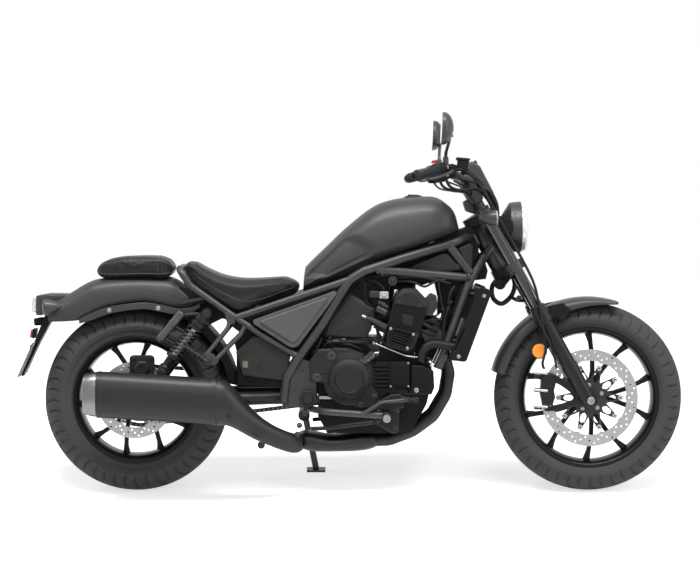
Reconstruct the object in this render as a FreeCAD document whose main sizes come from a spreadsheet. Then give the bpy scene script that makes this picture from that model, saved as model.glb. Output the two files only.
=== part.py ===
"""Cruiser motorcycle leaning on its side stand, as separate named pieces.

Everything is laid out upright first: X forward from the rear axle, Y to the rider's left,
Z up from the ground, in millimetres. Each piece then gets the placement of the parked
motorcycle, which leans to its left, with the origin under the middle of its box.
"""
import FreeCAD, Part
import math
import os
import re
import Sketcher
from FreeCAD import Placement, Rotation, Vector

SIZES = {
    # Stance
    "wheelbase": 1520, "lean": 9, "overrun": 5, "fit_gap": 0.3,
    # Front wheel
    "front_tyre_radius": 316, "front_tyre_width": 130, "front_crown_drop": 52,
    "front_bead_share": 0.7247, "front_bead_half_width": 44, "flange_height": 17,
    "rim_wall": 12, "rim_flange": 6, "sidewall_bulge": 4,
    "front_hub_radius": 34, "front_hub_half_width": 58, "front_spoke_depth": 24,
    "front_disc_radius": 162, "front_disc_inner_radius": 124, "front_disc_thickness": 5,
    "front_disc_place": 66,
    "front_axle_radius": 9, "axle_bore_gap": 0.5,
    # Rear wheel
    "rear_tyre_radius": 310, "rear_tyre_width": 180, "rear_crown_drop": 62,
    "rear_bead_share": 0.6549, "rear_bead_half_width": 64,
    "rear_hub_radius": 44, "rear_hub_half_width": 74, "rear_spoke_depth": 30,
    "rear_disc_radius": 128, "rear_disc_inner_radius": 92, "rear_disc_place": 82,
    "rear_axle_radius": 10, "sprocket_radius": 102, "sprocket_thickness": 7, "chain_line": 104,
    # Fork
    "rake": 29, "axle_lead": 9, "steering_offset": 42, "fork_half_spread": 105,
    "fork_tube_radius": 21.5, "slider_radius": 26, "slider_rise": 37, "fork_tube_rise": 8,
    "lower_clamp_share": 0.7135, "clamp_thickness": 30, "upper_clamp_height": 684,
    "stem_radius": 15, "clamp_boss_radius": 33, "slider_foot": 30,
    "front_fender_gap": 20, "front_fender_half_width": 75, "fender_wall": 3,
    "front_fender_skirt": 40, "front_fender_start_angle": 73, "front_fender_end_angle": 165,
    "headlight_share": 0.877, "headlight_radius": 87, "headlight_depth": 85, "headlight_reach": 93,
    "lens_depth": 16, "signal_radius": 26, "signal_length": 56, "front_signal_place": 168,
    "stalk_radius": 8,
    "bar_radius": 11, "bar_bend": 60, "bar_half_width": 415, "bar_rise": 113, "bar_back": 145,
    "bar_drop": 138, "grip_radius": 17, "grip_length": 122, "housing_length": 44, "housing_radius": 20,
    "lever_reach": 38, "lever_radius": 6, "mirror_height": 191, "mirror_stem_rise": 60,
    "reservoir_size": 44, "meter_reach": 52, "meter_angle": 32,
    "riser_radius": 17, "riser_spread": 50, "meter_radius": 56, "meter_thickness": 36,
    "mirror_half_spread": 395, "mirror_half_width": 62, "mirror_half_height": 52, "mirror_thickness": 20,
    "mirror_stem_radius": 5, "reflector_radius": 24.5, "lug_thickness": 9,
    # Frame
    "pivot_share": 0.381, "pivot_lift": 9, "frame_tube_radius": 15, "loop_tube_radius": 12,
    "frame_half_width": 130, "head_tube_radius": 28, "plate_thickness": 14,
    "swingarm_tube_radius": 22, "swingarm_half_width": 136, "frame_bend": 60,
    "shock_half_spread": 137, "shock_radius": 24, "shock_bracket": 62,
    # Tank and seats
    "tank_length_share": 0.918, "tank_half_width": 138, "tank_height_share": 0.574, "tank_overhang": 19,
    "tank_base_share": 0.592,
    "fuel_cap_radius": 38, "fuel_cap_height": 8,
    "seat_share": 0.665, "seat_half_width": 145, "seat_height": 169, "seat_base_share": 0.499,
    "pillion_share": 0.456, "pillion_half_width": 112, "pillion_height": 72, "pillion_gap": 27.789,
    # Rear body
    "rear_fender_gap": 100, "rear_fender_half_width": 100, "rear_fender_skirt": 76,
    "rear_fender_start_angle": 62, "rear_fender_end_angle": 136,
    # Power unit
    "engine_gap_share": 0.057, "engine_length_share": 0.6845, "engine_drop": 119, "engine_height_share": 0.8353,
    "engine_half_width": 95, "head_half_width": 128, "cover_depth": 52, "clutch_depth": 34,
    "clutch_radius": 69,
    "pipe_radius": 21, "pipe_half_spread": 42, "collector_height": 62, "collector_half_width": 88,
    "muffler_length": 392, "muffler_cap_length": 48, "muffler_rear": 158,
    "muffler_height": 149, "muffler_half_width": 55, "muffler_side": 222, "muffler_bottom": 242,
    "radiator_half_width": 146, "shroud_depth": 24, "coolant_radius": 14,
    "chain_height": 14, "chain_width": 14, "front_sprocket_radius": 36,
    "battery_share": 0.325, "battery_height": 160, "battery_half_width": 94,
    # Feet
    "peg_radius": 15, "peg_length": 88, "peg_reach": 325, "peg_ahead": 258, "peg_drop": 48,
    "bracket_radius": 11, "pedal_width": 24, "pedal_thickness": 14,
    "stand_radius": 11, "stand_behind": 19, "stand_drop": 69, "stand_side": 162,
    "foot_ahead": 40, "foot_side": 232, "foot_length": 64, "foot_width": 44, "foot_thickness": 7,
    "hinge_angle": 17,
    # Hoses, throttles and panels
    "hose_radius": 4.5, "hose_side": 128, "hose_bend": 900, "throttle_radius": 26, "throttle_half_spread": 45,
    "throttle_box_half_width": 66, "air_box_half_width": 62, "panel_depth": 8, "panel_side": 80,
    "fan_half_width": 60, "thermostat_radius": 22, "caliper_wall": 16, "taper_angle": 55,
    # Tail
    "plate_width": 230, "plate_height": 125, "plate_angle": 24, "number_plate_thickness": 2,
    "rear_signal_place": 136, "tail_half_width": 52,
}

# Sizes that follow from others
DERIVED = {
    "front_bead_radius": "front_tyre_radius * front_bead_share",
    "front_flange_radius": "front_bead_radius + flange_height",
    "rear_bead_radius": "rear_tyre_radius * rear_bead_share",
    "rear_flange_radius": "rear_bead_radius + flange_height",
    "pivot_ahead": "wheelbase * pivot_share",
    "pivot_height": "rear_tyre_radius + pivot_lift",
    "head_x": "wheelbase - axle_lead / cos(rake) - steering_offset * cos(rake) - head_high * sin(rake)",
    "head_z": "front_tyre_radius - steering_offset * sin(rake) + head_high * cos(rake)",
    "head_high": "upper_clamp_height - fit_gap",
    "frame_length": "head_x - pivot_ahead",
    "frame_height": "head_z - pivot_height",
    "lower_clamp_height": "upper_clamp_height * lower_clamp_share",
    "slider_top": "front_tyre_radius + slider_rise",
    "fork_top": "upper_clamp_height + clamp_thickness + fork_tube_rise",
    "headlight_height": "upper_clamp_height * headlight_share",
    "tank_length": "frame_length * tank_length_share",
    "tank_height": "frame_height * tank_height_share",
    "tank_base": "frame_height * tank_base_share",
    "seat_length": "pivot_ahead * seat_share",
    "seat_base": "frame_height * seat_base_share",
    "pillion_length": "pivot_ahead * pillion_share",
    "engine_gap": "frame_length * engine_gap_share",
    "engine_length": "frame_length * engine_length_share",
    "engine_bottom": "pivot_height - engine_drop",
    "engine_height": "frame_height * engine_height_share",
    "battery_length": "pivot_ahead * battery_share",
}
DERIVED_NAME = re.compile(r"\b(" + "|".join(DERIVED) + r")\b")

document = FreeCAD.newDocument("cruiser_motorcycle")
sheet = document.addObject("Spreadsheet::Sheet", "sizes")
for row, (alias, amount) in enumerate(SIZES.items(), 1):
    sheet.set(f"A{row}", alias)
    sheet.set(f"B{row}", str(amount))
    sheet.setAlias(f"B{row}", alias)
document.recompute()


def expanded(expression):
    """The expression with each derived size written out in the sheet's names."""
    text = str(expression)
    while DERIVED_NAME.search(text):
        text = DERIVED_NAME.sub(lambda found: f"({DERIVED[found.group()]})", text)
    return text


def value(expression):
    """The number that an expression in the sheet's names comes to."""
    return float(sheet.evalExpression(expanded(expression)))


def bound(expression):
    """The same expression, with each size read from the sheet."""
    return re.sub(r"\b([a-z][a-z_]*[a-z])\b(?!\()", r"sizes.\1", expanded(expression))


def between(low, high, share):
    """The place at a share of the way from one place to another."""
    return f"({low}) + (({high}) - ({low})) * {share}"


def point(x, y, z):
    return Vector(value(x), value(y), value(z))


def in_box(box, shares):
    """A point given by its shares of a box of six places."""
    return point(*(between(box[2 * i], box[2 * i + 1], shares[i]) for i in range(3)))


# Where the main points lie
FORK_LINE = "(wheelbase - axle_lead / cos(rake))"


def fork_x(forward, height):
    return f"({FORK_LINE} + ({forward}) * cos(rake) - ({height}) * sin(rake))"


def fork_z(forward, height):
    return f"(front_tyre_radius + ({forward}) * sin(rake) + ({height}) * cos(rake))"


HEAD_LOW = "(lower_clamp_height + clamp_thickness + fit_gap)"

FRONT_REACH = "(wheelbase + front_tyre_radius)"
REAR_REACH = "(-rear_tyre_radius - rear_fender_gap)"
TIP_LEFT = "((mirror_half_spread + mirror_half_width) * cos(lean) + wheelbase * 0.795 * sin(lean))"
TIP_RIGHT = "(-peg_reach * cos(lean) + pivot_height * 0.85 * sin(lean))"
CROWN_LIFT = "((rear_crown_drop + rear_tyre_width ^ 2 / 4 / rear_crown_drop) / 2 * (1 - cos(lean)))"

LEANING = Rotation(Vector(1, 0, 0), -value("lean"))
BIKE = Placement(Vector(-value(f"({FRONT_REACH} + {REAR_REACH}) / 2"),
                        -value(f"({TIP_LEFT} + {TIP_RIGHT}) / 2"), value(CROWN_LIFT)), LEANING)
FORK = BIKE.multiply(Placement(point(FORK_LINE, 0, "front_tyre_radius"),
                               Rotation(Vector(0, 1, 0), -value("rake"))))
FRONT_WHEEL = BIKE.multiply(Placement(point("wheelbase", 0, "front_tyre_radius"), Rotation()))
REAR_WHEEL = BIKE.multiply(Placement(point(0, 0, "rear_tyre_radius"), Rotation()))

NODES = []


def node(label, item, place=BIKE):
    """Name a finished piece and stand it in its place."""
    item.Label = label
    item.Placement = place
    NODES.append(item)
    return item


def feature(name, shape):
    item = document.addObject("Part::Feature", name)
    item.Shape = shape
    return item


def origin_plane(body, role):
    return next(part for part in body.Origin.OriginFeatures if part.Role == role)


def new_sketch(body, plane, offset="0"):
    sketch = body.newObject("Sketcher::SketchObject", f"{body.Name}_outline")
    sketch.AttachmentSupport = (origin_plane(body, f"{plane}_Plane"), "")
    sketch.MapMode = "FlatFace"
    if str(offset) != "0":
        sketch.setExpression("AttachmentOffset.Base.z", bound(offset))
    return sketch


def pin_point(sketch, index, end, across, up):
    """Hold one point of a sketch at two expressions."""
    for kind, expression, axis in (("DistanceX", across, -2), ("DistanceY", up, -1)):
        length = value(expression)
        if abs(length) < 1e-9:
            sketch.addConstraint(Sketcher.Constraint("PointOnObject", index, end, axis))
            continue
        number = sketch.addConstraint(Sketcher.Constraint(kind, -1, 1, index, end, length))
        sketch.setExpression(f"Constraints[{number}]", bound(expression))


def counterclockwise(start, middle, end):
    """The arc through three points as a sketch keeps it, and whether it begins at the first of them."""
    circle = Part.Arc(start, middle, end).toShape().Curve
    angles = [math.atan2(spot.y - circle.Center.y, spot.x - circle.Center.x) for spot in (start, middle, end)]
    to_middle = (angles[1] - angles[0]) % (2 * math.pi)
    to_end = (angles[2] - angles[0]) % (2 * math.pi)
    begins = to_middle < to_end
    first, last = (angles[0], angles[2]) if begins else (angles[2], angles[0])
    round_edge = Part.Circle(circle.Center, Vector(0, 0, 1), circle.Radius)
    return Part.ArcOfCircle(round_edge, first, first + (last - first) % (2 * math.pi)), begins


def draw_outline(sketch, outline):
    """A closed outline: corners are (across, up), and (across, up, "arc") is a point on an arc."""
    corners = [step for step in outline if len(step) == 2]
    places = [Vector(value(step[0]), value(step[1]), 0) for step in outline]
    edges = []
    for number, step in enumerate(outline):
        if len(step) == 3:
            continue
        following = (number + 1) % len(outline)
        start = places[number]
        if len(outline[following]) == 3:
            end = places[(number + 2) % len(outline)]
            arc, begins = counterclockwise(start, places[following], end)
            edge = sketch.addGeometry(arc, False)
            edges.append((edge, 1 if begins else 2, outline[following]))
        else:
            edge = sketch.addGeometry(Part.LineSegment(start, places[following]), False)
            edges.append((edge, 1, None))
    for number, (edge, start_end, middle) in enumerate(edges):
        after, after_start, _ = edges[(number + 1) % len(edges)]
        sketch.addConstraint(Sketcher.Constraint("Coincident", edge, 3 - start_end, after, after_start))
        pin_point(sketch, edge, start_end, *corners[number])
        if middle:
            mark = sketch.addGeometry(Part.Point(point(middle[0], middle[1], 0)), True)
            pin_point(sketch, mark, 1, middle[0], middle[1])
            sketch.addConstraint(Sketcher.Constraint("PointOnObject", mark, 1, edge))


def add_circle(sketch, across, up, radius):
    centre = Vector(value(across), value(up), 0)
    edge = sketch.addGeometry(Part.Circle(centre, Vector(0, 0, 1), value(radius)), False)
    pin_point(sketch, edge, 3, across, up)
    number = sketch.addConstraint(Sketcher.Constraint("Radius", edge, value(radius)))
    sketch.setExpression(f"Constraints[{number}]", bound(radius))


def padded(name, plane, outline, low, high, holes=()):
    """A flat piece: an outline on a plane, as thick as from low to high across that plane."""
    body = document.addObject("PartDesign::Body", name)
    start = f"-({high})" if plane == "XZ" else low
    sketch = new_sketch(body, plane, start)
    if outline:
        draw_outline(sketch, outline)
    for hole in holes:
        add_circle(sketch, *hole)
    pad = body.newObject("PartDesign::Pad", f"{name}_pad")
    pad.Profile = sketch
    pad.setExpression("Length", bound(f"({high}) - ({low})"))
    return body


def turned(name, plane, axis, outline, angle="360", symmetric=False):
    """A piece turned about one axis of the plane that its outline lies on."""
    body = document.addObject("PartDesign::Body", name)
    sketch = new_sketch(body, plane)
    draw_outline(sketch, outline)
    turn = body.newObject("PartDesign::Revolution", f"{name}_turn")
    turn.Profile = sketch
    turn.ReferenceAxis = (sketch, [axis])
    turn.Midplane = symmetric
    turn.setExpression("Angle", bound(angle))
    return body


def mirrored_outline(half):
    """Complete an outline whose first coordinate is mirrored, given its positive half upward."""
    return list(half) + [(f"-({step[0]})",) + tuple(step[1:]) for step in reversed(half)]


def rounded_ring(half_width, low, high, fullness, count=16):
    """Points round an oval that is squarer the lower its fullness."""
    ring = []
    for number in range(count):
        angle = 2 * math.pi * number / count
        across = math.copysign(abs(math.cos(angle)) ** fullness, math.cos(angle))
        up = math.copysign(abs(math.sin(angle)) ** fullness, math.sin(angle))
        ring.append(Vector(across * half_width, (high + low) / 2 + up * (high - low) / 2, 0))
    return ring


def lofted(name, box, station_shares, fullness=0.75):
    """A smooth body through upright ovals; a station is (along, low, high, half width) in shares.

    A fifth share, where there is one, says how far the oval moves in from the box's side.

    The box is (rear, front, low, high, side, half width) in the sheet's names.
    """
    rear, front, low, high, side, half_width = box
    body = document.addObject("PartDesign::Body", name)
    sketches = []
    for along, low_share, high_share, width_share, *turned_in in station_shares:
        sketch = new_sketch(body, "YZ", between(rear, front, along))
        middle = value(side) * (1 - turned_in[0] if turned_in else 1)
        ring = rounded_ring(value(half_width) * width_share, value(between(low, high, low_share)),
                            value(between(low, high, high_share)), fullness)
        curve = Part.BSplineCurve()
        curve.interpolate(Points=[spot + Vector(middle, 0, 0) for spot in ring], PeriodicFlag=True)
        sketch.addGeometry(curve, False)
        sketches.append(sketch)
    document.recompute()
    loft = body.newObject("PartDesign::AdditiveLoft", f"{name}_loft")
    loft.Profile = sketches[0]
    loft.Sections = sketches[1:]
    return body


def rod(start, end, radius):
    """A straight round bar between two points."""
    along = end - start
    return Part.makeCylinder(radius, along.Length, start, along)


def tube(route, radius, bend):
    """A round bar along straight runs joined by tangent arcs."""
    edges = []
    start = route[0]
    for before, corner, after in zip(route, route[1:], route[2:]):
        into = (corner - before).normalize()
        out = (after - corner).normalize()
        half_turn = into.getAngle(out) / 2
        if half_turn < 0.01:
            continue
        reach = min(bend * math.tan(half_turn), 0.45 * (corner - before).Length, 0.45 * (after - corner).Length)
        arc_radius = reach / math.tan(half_turn)
        first = corner - into * reach
        last = corner + out * reach
        inward = (out - into).normalize()
        middle = corner + inward * (arc_radius / math.cos(half_turn) - arc_radius)
        edges.append(Part.makeLine(start, first))
        edges.append(Part.Arc(first, middle, last).toShape())
        start = last
    edges.append(Part.makeLine(start, route[-1]))
    path = Part.Wire(edges)
    ring = Part.Wire(Part.makeCircle(radius, route[0], route[1] - route[0]))
    return path.makePipeShell([ring], True, False)


def flipped(shape):
    """The same shape on the motorcycle's other side."""
    return shape.mirror(Vector(0, 0, 0), Vector(0, 1, 0))


def both_sides(shape):
    return [shape, flipped(shape)]


def fused(shapes):
    return shapes[0].multiFuse(shapes[1:]).removeSplitter() if len(shapes) > 1 else shapes[0]


def pair_node(label, source, place):
    """A piece and its mirror image on the other side, in one node."""
    mirror = document.addObject("Part::Mirroring", f"{label}_mirror")
    mirror.Source = source
    mirror.Normal = Vector(0, 1, 0)
    both = document.addObject("Part::Compound", label)
    both.Links = [source, mirror]
    return node(label, both, place)


# Wheels

def tyre(label, prefix, place):
    """A road tyre seated on its rim between the flanges."""
    bead = f"({prefix}_bead_radius + fit_gap)"
    inner = f"({prefix}_bead_half_width - fit_gap)"
    shoulder = f"({prefix}_tyre_radius - {prefix}_crown_drop)"
    lip = f"({prefix}_flange_radius + fit_gap)"
    half = f"({prefix}_tyre_width / 2)"
    bulge = (f"({inner} + {half}) / 2 + sidewall_bulge", f"({lip} + {shoulder}) / 2", "arc")
    outline = [(f"-{inner}", bead), (inner, bead), (inner, lip), bulge, (half, shoulder),
               ("0", f"{prefix}_tyre_radius", "arc"), (f"-{half}", shoulder),
               (f"-({bulge[0]})", bulge[1], "arc"), (f"-{inner}", lip)]
    return node(label, turned(label, "YZ", "H_Axis", outline), place)


SPOKE_SHARES = ((0.07, 0.12), (0.062, 0.34), (0.352, 0.94), (0.262, 0.968))


def wheel(label, prefix, place, first_angle):
    """A cast wheel: barrel with two flanges, hub, and five spokes that fork in two."""
    barrel = f"({prefix}_bead_radius - rim_wall)"
    inner = f"{prefix}_bead_half_width"
    outer = f"({prefix}_bead_half_width + rim_flange)"
    axle = f"({prefix}_axle_radius + axle_bore_gap)"
    body = turned(label, "YZ", "H_Axis", mirrored_outline([
        (outer, barrel), (outer, f"{prefix}_flange_radius"), (inner, f"{prefix}_flange_radius"),
        (inner, f"{prefix}_bead_radius")]))
    half = [(f"{barrel} * {across}", f"{barrel} * {up}") for across, up in SPOKE_SHARES]
    outline = mirrored_outline(half)
    outline.insert(len(half), ("0", f"{barrel} * 0.47"))
    sketch = new_sketch(body, "XZ", f"-{prefix}_spoke_depth / 2")
    draw_outline(sketch, outline)
    document.recompute()
    spoke = body.newObject("PartDesign::Pad", f"{label}_spoke")
    spoke.Profile = sketch
    spoke.setExpression("Length", bound(f"{prefix}_spoke_depth"))
    ring = body.newObject("PartDesign::PolarPattern", f"{label}_spokes")
    ring.Originals = [spoke]
    ring.Axis = (origin_plane(body, "Y_Axis"), [""])
    ring.Angle = 360
    ring.Occurrences = 5
    body.Tip = ring
    hub_sketch = new_sketch(body, "YZ")
    draw_outline(hub_sketch, mirrored_outline([(f"{prefix}_hub_half_width", axle),
                                              (f"{prefix}_hub_half_width", f"{prefix}_hub_radius * 0.75"),
                                              (f"{prefix}_hub_half_width / 2", f"{prefix}_hub_radius")]))
    hub = body.newObject("PartDesign::Revolution", f"{label}_hub")
    hub.Profile = hub_sketch
    hub.ReferenceAxis = (hub_sketch, ["H_Axis"])
    hub.Angle = 360
    body.Tip = hub
    turn = Placement(Vector(0, 0, 0), Rotation(Vector(0, 1, 0), first_angle))
    return node(label, body, place.multiply(turn))


def brake_disc(label, prefix, place):
    """A brake disc on the right of its wheel: a ring on a carrier of arms that joins the hub."""
    low = f"(-{prefix}_disc_place - front_disc_thickness)"
    high = f"-{prefix}_disc_place"
    body = padded(label, "XZ", None, low, high, [
        ("0", "0", f"{prefix}_disc_radius"), ("0", "0", f"{prefix}_disc_inner_radius")])
    arm = new_sketch(body, "XZ", f"-({high})")
    reach = f"({prefix}_disc_inner_radius + front_disc_thickness)"
    draw_outline(arm, [(f"-{prefix}_hub_radius * 0.2", f"{prefix}_hub_radius * 0.5"),
                       (f"{prefix}_hub_radius * 0.2", f"{prefix}_hub_radius * 0.5"),
                       (f"{prefix}_hub_radius * 0.35", reach), (f"-{prefix}_hub_radius * 0.35", reach)])
    document.recompute()
    pad = body.newObject("PartDesign::Pad", f"{label}_arm")
    pad.Profile = arm
    pad.setExpression("Length", bound("front_disc_thickness"))
    ring = body.newObject("PartDesign::PolarPattern", f"{label}_arms")
    ring.Originals = [pad]
    ring.Axis = (origin_plane(body, "Y_Axis"), [""])
    ring.Angle = 360
    ring.Occurrences = 10
    body.Tip = ring
    core = new_sketch(body, "XZ", f"{prefix}_disc_place")
    add_circle(core, "0", "0", f"{prefix}_hub_radius * 0.9")
    seat = body.newObject("PartDesign::Pad", f"{label}_seat")
    seat.Profile = core
    seat.setExpression("Length", bound("front_disc_thickness"))
    seat.Reversed = False
    spacer_sketch = new_sketch(body, "XZ", f"{prefix}_hub_half_width")
    add_circle(spacer_sketch, "0", "0", f"{prefix}_hub_radius * 0.7")
    spacer = body.newObject("PartDesign::Pad", f"{label}_spacer")
    spacer.Profile = spacer_sketch
    spacer.setExpression("Length", bound(f"{prefix}_disc_place - {prefix}_hub_half_width"))
    bore_sketch = new_sketch(body, "XZ")
    add_circle(bore_sketch, "0", "0", f"{prefix}_axle_radius + axle_bore_gap")
    document.recompute()
    bore = body.newObject("PartDesign::Pocket", f"{label}_bore")
    bore.Profile = bore_sketch
    bore.Type = "ThroughAll"
    bore.Midplane = True
    body.Tip = bore
    return node(label, body, place)


tyre("front_tyre", "front", FRONT_WHEEL)
tyre("rear_tyre", "rear", REAR_WHEEL)
wheel("front_wheel_rim", "front", FRONT_WHEEL, 19)
wheel("rear_wheel_rim", "rear", REAR_WHEEL, -7)
brake_disc("front_brake_disc", "front", FRONT_WHEEL)
brake_disc("rear_brake_disc", "rear", REAR_WHEEL)
SPROCKET_RIM = "(sprocket_radius - chain_height / 2 - overrun)"
SPROCKET_SIDES = ("(chain_line - sprocket_thickness / 2)", "(chain_line + sprocket_thickness / 2)")
SPROCKET_BORE = "(rear_axle_radius + axle_bore_gap)"
HUB_FACE = "(rear_hub_half_width + fit_gap)"
node("rear_sprocket", turned("rear_sprocket", "YZ", "H_Axis", [
    (HUB_FACE, SPROCKET_BORE), (SPROCKET_SIDES[1], SPROCKET_BORE), (SPROCKET_SIDES[1], SPROCKET_RIM),
    (SPROCKET_SIDES[0], SPROCKET_RIM), (SPROCKET_SIDES[0], "rear_hub_radius * 1.2"),
    (HUB_FACE, "rear_hub_radius")]), REAR_WHEEL)

# Fork, which steers; its own frame has X across the tubes, forward, and Z up along them

STEERED = "-steering_offset"
UPPER_TOP = "(upper_clamp_height + clamp_thickness)"


def fork_point(forward, side, height):
    return Vector(value(fork_x(forward, height)), value(side), value(fork_z(forward, height)))


def clamp(label, height):
    """A clamp that carries both tubes and the stem."""
    side = "fork_half_spread"
    half = [(STEERED + " - stem_radius * 2.2", "0"), (STEERED + " - stem_radius * 2", "stem_radius * 2"),
            ("-clamp_boss_radius", side), ("0", f"{side} + clamp_boss_radius", "arc"),
            ("clamp_boss_radius", side), ("clamp_boss_radius * 0.7", f"{side} * 0.6")]
    outline = half + [(step[0], f"-({step[1]})") + tuple(step[2:]) for step in reversed(half[1:])]
    holes = [("0", side, "fork_tube_radius + fit_gap"), ("0", f"-{side}", "fork_tube_radius + fit_gap"),
             (STEERED, "0", "stem_radius - fit_gap")]
    return padded(label, "XY", outline, height, f"{height} + clamp_thickness", holes)


def upright(name, radius, forward, side, low, high):
    """A cylinder that runs along the fork."""
    item = document.addObject("Part::Cylinder", name)
    item.setExpression("Radius", bound(radius))
    item.setExpression("Height", bound(f"({high}) - ({low})"))
    item.Placement = Placement(point(forward, side, low), Rotation())
    return item


stem = upright("steering_stem", "stem_radius", STEERED, "0", "lower_clamp_height", UPPER_TOP)
clamps = document.addObject("Part::MultiFuse", "fork_clamps")
clamps.Shapes = [clamp("lower_fork_clamp", "lower_clamp_height"), clamp("upper_fork_clamp", "upper_clamp_height"),
                 stem]
node("fork_clamps", clamps, FORK)
pair_node("fork_tubes", upright("fork_tube", "fork_tube_radius", "0", "fork_half_spread",
                                "slider_top + fit_gap", "fork_top"), FORK)

slider = turned("fork_slider", "XZ", "V_Axis", [
    ("0", "-slider_foot"), ("slider_radius", "-slider_foot"), ("slider_radius", "slider_top * 0.8"),
    ("slider_radius * 1.1", "slider_top * 0.82"), ("slider_radius * 1.1", "slider_top"), ("0", "slider_top")])
slider_bore = new_sketch(slider, "XZ")
add_circle(slider_bore, "axle_lead", "-axle_lead * tan(rake)", "front_axle_radius + fit_gap")
document.recompute()
bore_cut = slider.newObject("PartDesign::Pocket", "fork_slider_bore")
bore_cut.Profile = slider_bore
bore_cut.Type = "ThroughAll"
bore_cut.Midplane = True
slider.Tip = bore_cut
slider.Placement = Placement(point("0", "fork_half_spread", "0"), Rotation())
pair_node("fork_sliders", slider, FORK)

AXLE_HALF = "(fork_half_spread + slider_radius + overrun)"
front_axle = rod(point("wheelbase", f"-{AXLE_HALF}", "front_tyre_radius"),
                 point("wheelbase", AXLE_HALF, "front_tyre_radius"), value("front_axle_radius"))
node("front_axle", feature("front_axle", front_axle))


def slider_rod(extra):
    """The right slider's room, grown by a little, with its wider top."""
    foot, neck, top = (fork_point("0", "-fork_half_spread", height) for height in
                       ("-slider_foot", "slider_top * 0.8", "slider_top"))
    return fused([rod(foot, top, value(f"slider_radius + {extra}")),
                  rod(neck, top, value(f"slider_radius * 1.1 + {extra}"))])


def fender(name, radius, half_width, skirt, start, end, centre_ahead, centre_height):
    """A rolled shell over a wheel, between two angles seen from the right."""
    outer = f"({radius} + fender_wall)"
    shell = [(f"{half_width}", f"{radius} - {skirt}"), (f"{half_width}", f"{outer} - {half_width} * 0.35"),
             (f"{half_width} * 0.72", f"{outer}")]
    inner = [(f"{half_width} * 0.7", f"{radius}"),
             (f"{half_width} - fender_wall", f"{radius} - {half_width} * 0.35"),
             (f"{half_width} - fender_wall", f"{radius} - {skirt}")]
    outline = shell + [(f"-({step[0]})", step[1]) for step in reversed(shell)]
    outline += [(f"-({step[0]})", step[1]) for step in reversed(inner)] + inner
    body = turned(name, "YZ", "H_Axis", outline, f"{end} - {start}", True)
    middle = value(f"90 - ({start} + {end}) / 2")
    return body, Placement(point(centre_ahead, "0", centre_height), Rotation(Vector(0, 1, 0), middle))


front_fender, at_front = fender("front_fender_shell", "(front_tyre_radius + front_fender_gap)",
                                "front_fender_half_width", "front_fender_skirt", "front_fender_start_angle",
                                "front_fender_end_angle", "wheelbase", "front_tyre_radius")
document.recompute()
stay = Part.makeBox(value("slider_radius * 1.4"), value("fork_half_spread - front_fender_half_width"),
                    value("front_fender_skirt * 0.9"),
                    point("-slider_radius * 0.7", "-fork_half_spread",
                          "front_tyre_radius + front_fender_gap - front_fender_skirt * 0.9"))
stay.Placement = Placement(point(FORK_LINE, "0", "front_tyre_radius"),
                           Rotation(Vector(0, 1, 0), -value("rake"))).multiply(stay.Placement)
stay = stay.cut(slider_rod("fit_gap"))
fender_shape = front_fender.Shape.copy()
fender_shape.Placement = at_front
TAPER_X = "(wheelbase + front_tyre_radius * 0.3 * cos(taper_angle))"
TAPER_Z = "(front_tyre_radius + front_tyre_radius * 0.3 * sin(taper_angle))"
below_tip = Part.makeCylinder(value("front_tyre_radius * 0.75"), value("front_fender_half_width * 3"),
                              point(TAPER_X, "-front_fender_half_width * 1.5", TAPER_Z), Vector(0, 1, 0))
fender_shape = fender_shape.cut(below_tip)
node("front_fender", feature("front_fender", fused([fender_shape] + both_sides(stay))))

# Brake caliper behind the right slider, its slot over the disc
SLOT_LOW = "(-front_disc_place - front_disc_thickness - overrun)"
caliper = Part.makeBox(value("front_disc_radius * 0.33"), value("front_disc_radius * 0.41"),
                       value("front_disc_radius * 0.86"),
                       point("wheelbase - front_disc_radius * 1.11", "-front_disc_place * 1.7",
                             "front_tyre_radius - front_disc_radius * 0.25"))
lug = Part.makeBox(value("front_disc_radius * 0.75"), value("lug_thickness"), value("front_disc_radius * 0.25"),
                   point("wheelbase - front_disc_radius * 0.9", "-front_disc_place * 1.7",
                         "front_tyre_radius + front_disc_radius * 0.12"))
slot = Part.makeCylinder(value("front_disc_radius + overrun"), value("front_disc_thickness + overrun * 2"),
                         point("wheelbase", SLOT_LOW, "front_tyre_radius"), Vector(0, 1, 0))
caliper_shape = fused([caliper, lug]).cut(slot).cut(slider_rod("fit_gap"))
node("front_caliper", feature("front_caliper", caliper_shape))

# Round reflectors on short arms behind the sliders
reflector = rod(fork_point("-slider_radius * 3", "-fork_half_spread", "slider_top * 0.62"),
                fork_point("-slider_radius * 3", "-fork_half_spread - reflector_radius * 0.5",
                           "slider_top * 0.62"), value("reflector_radius"))
reflector_arm = rod(fork_point("-slider_radius * 2.5", "-fork_half_spread", "slider_top * 0.62"),
                    fork_point("0", "-fork_half_spread", "slider_top * 0.55"), value("stalk_radius"))
arm_left = reflector_arm.cut(slider_rod("fit_gap"))
node("side_reflectors", feature("side_reflectors", Part.makeCompound(both_sides(fused([reflector, arm_left])))))

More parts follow.
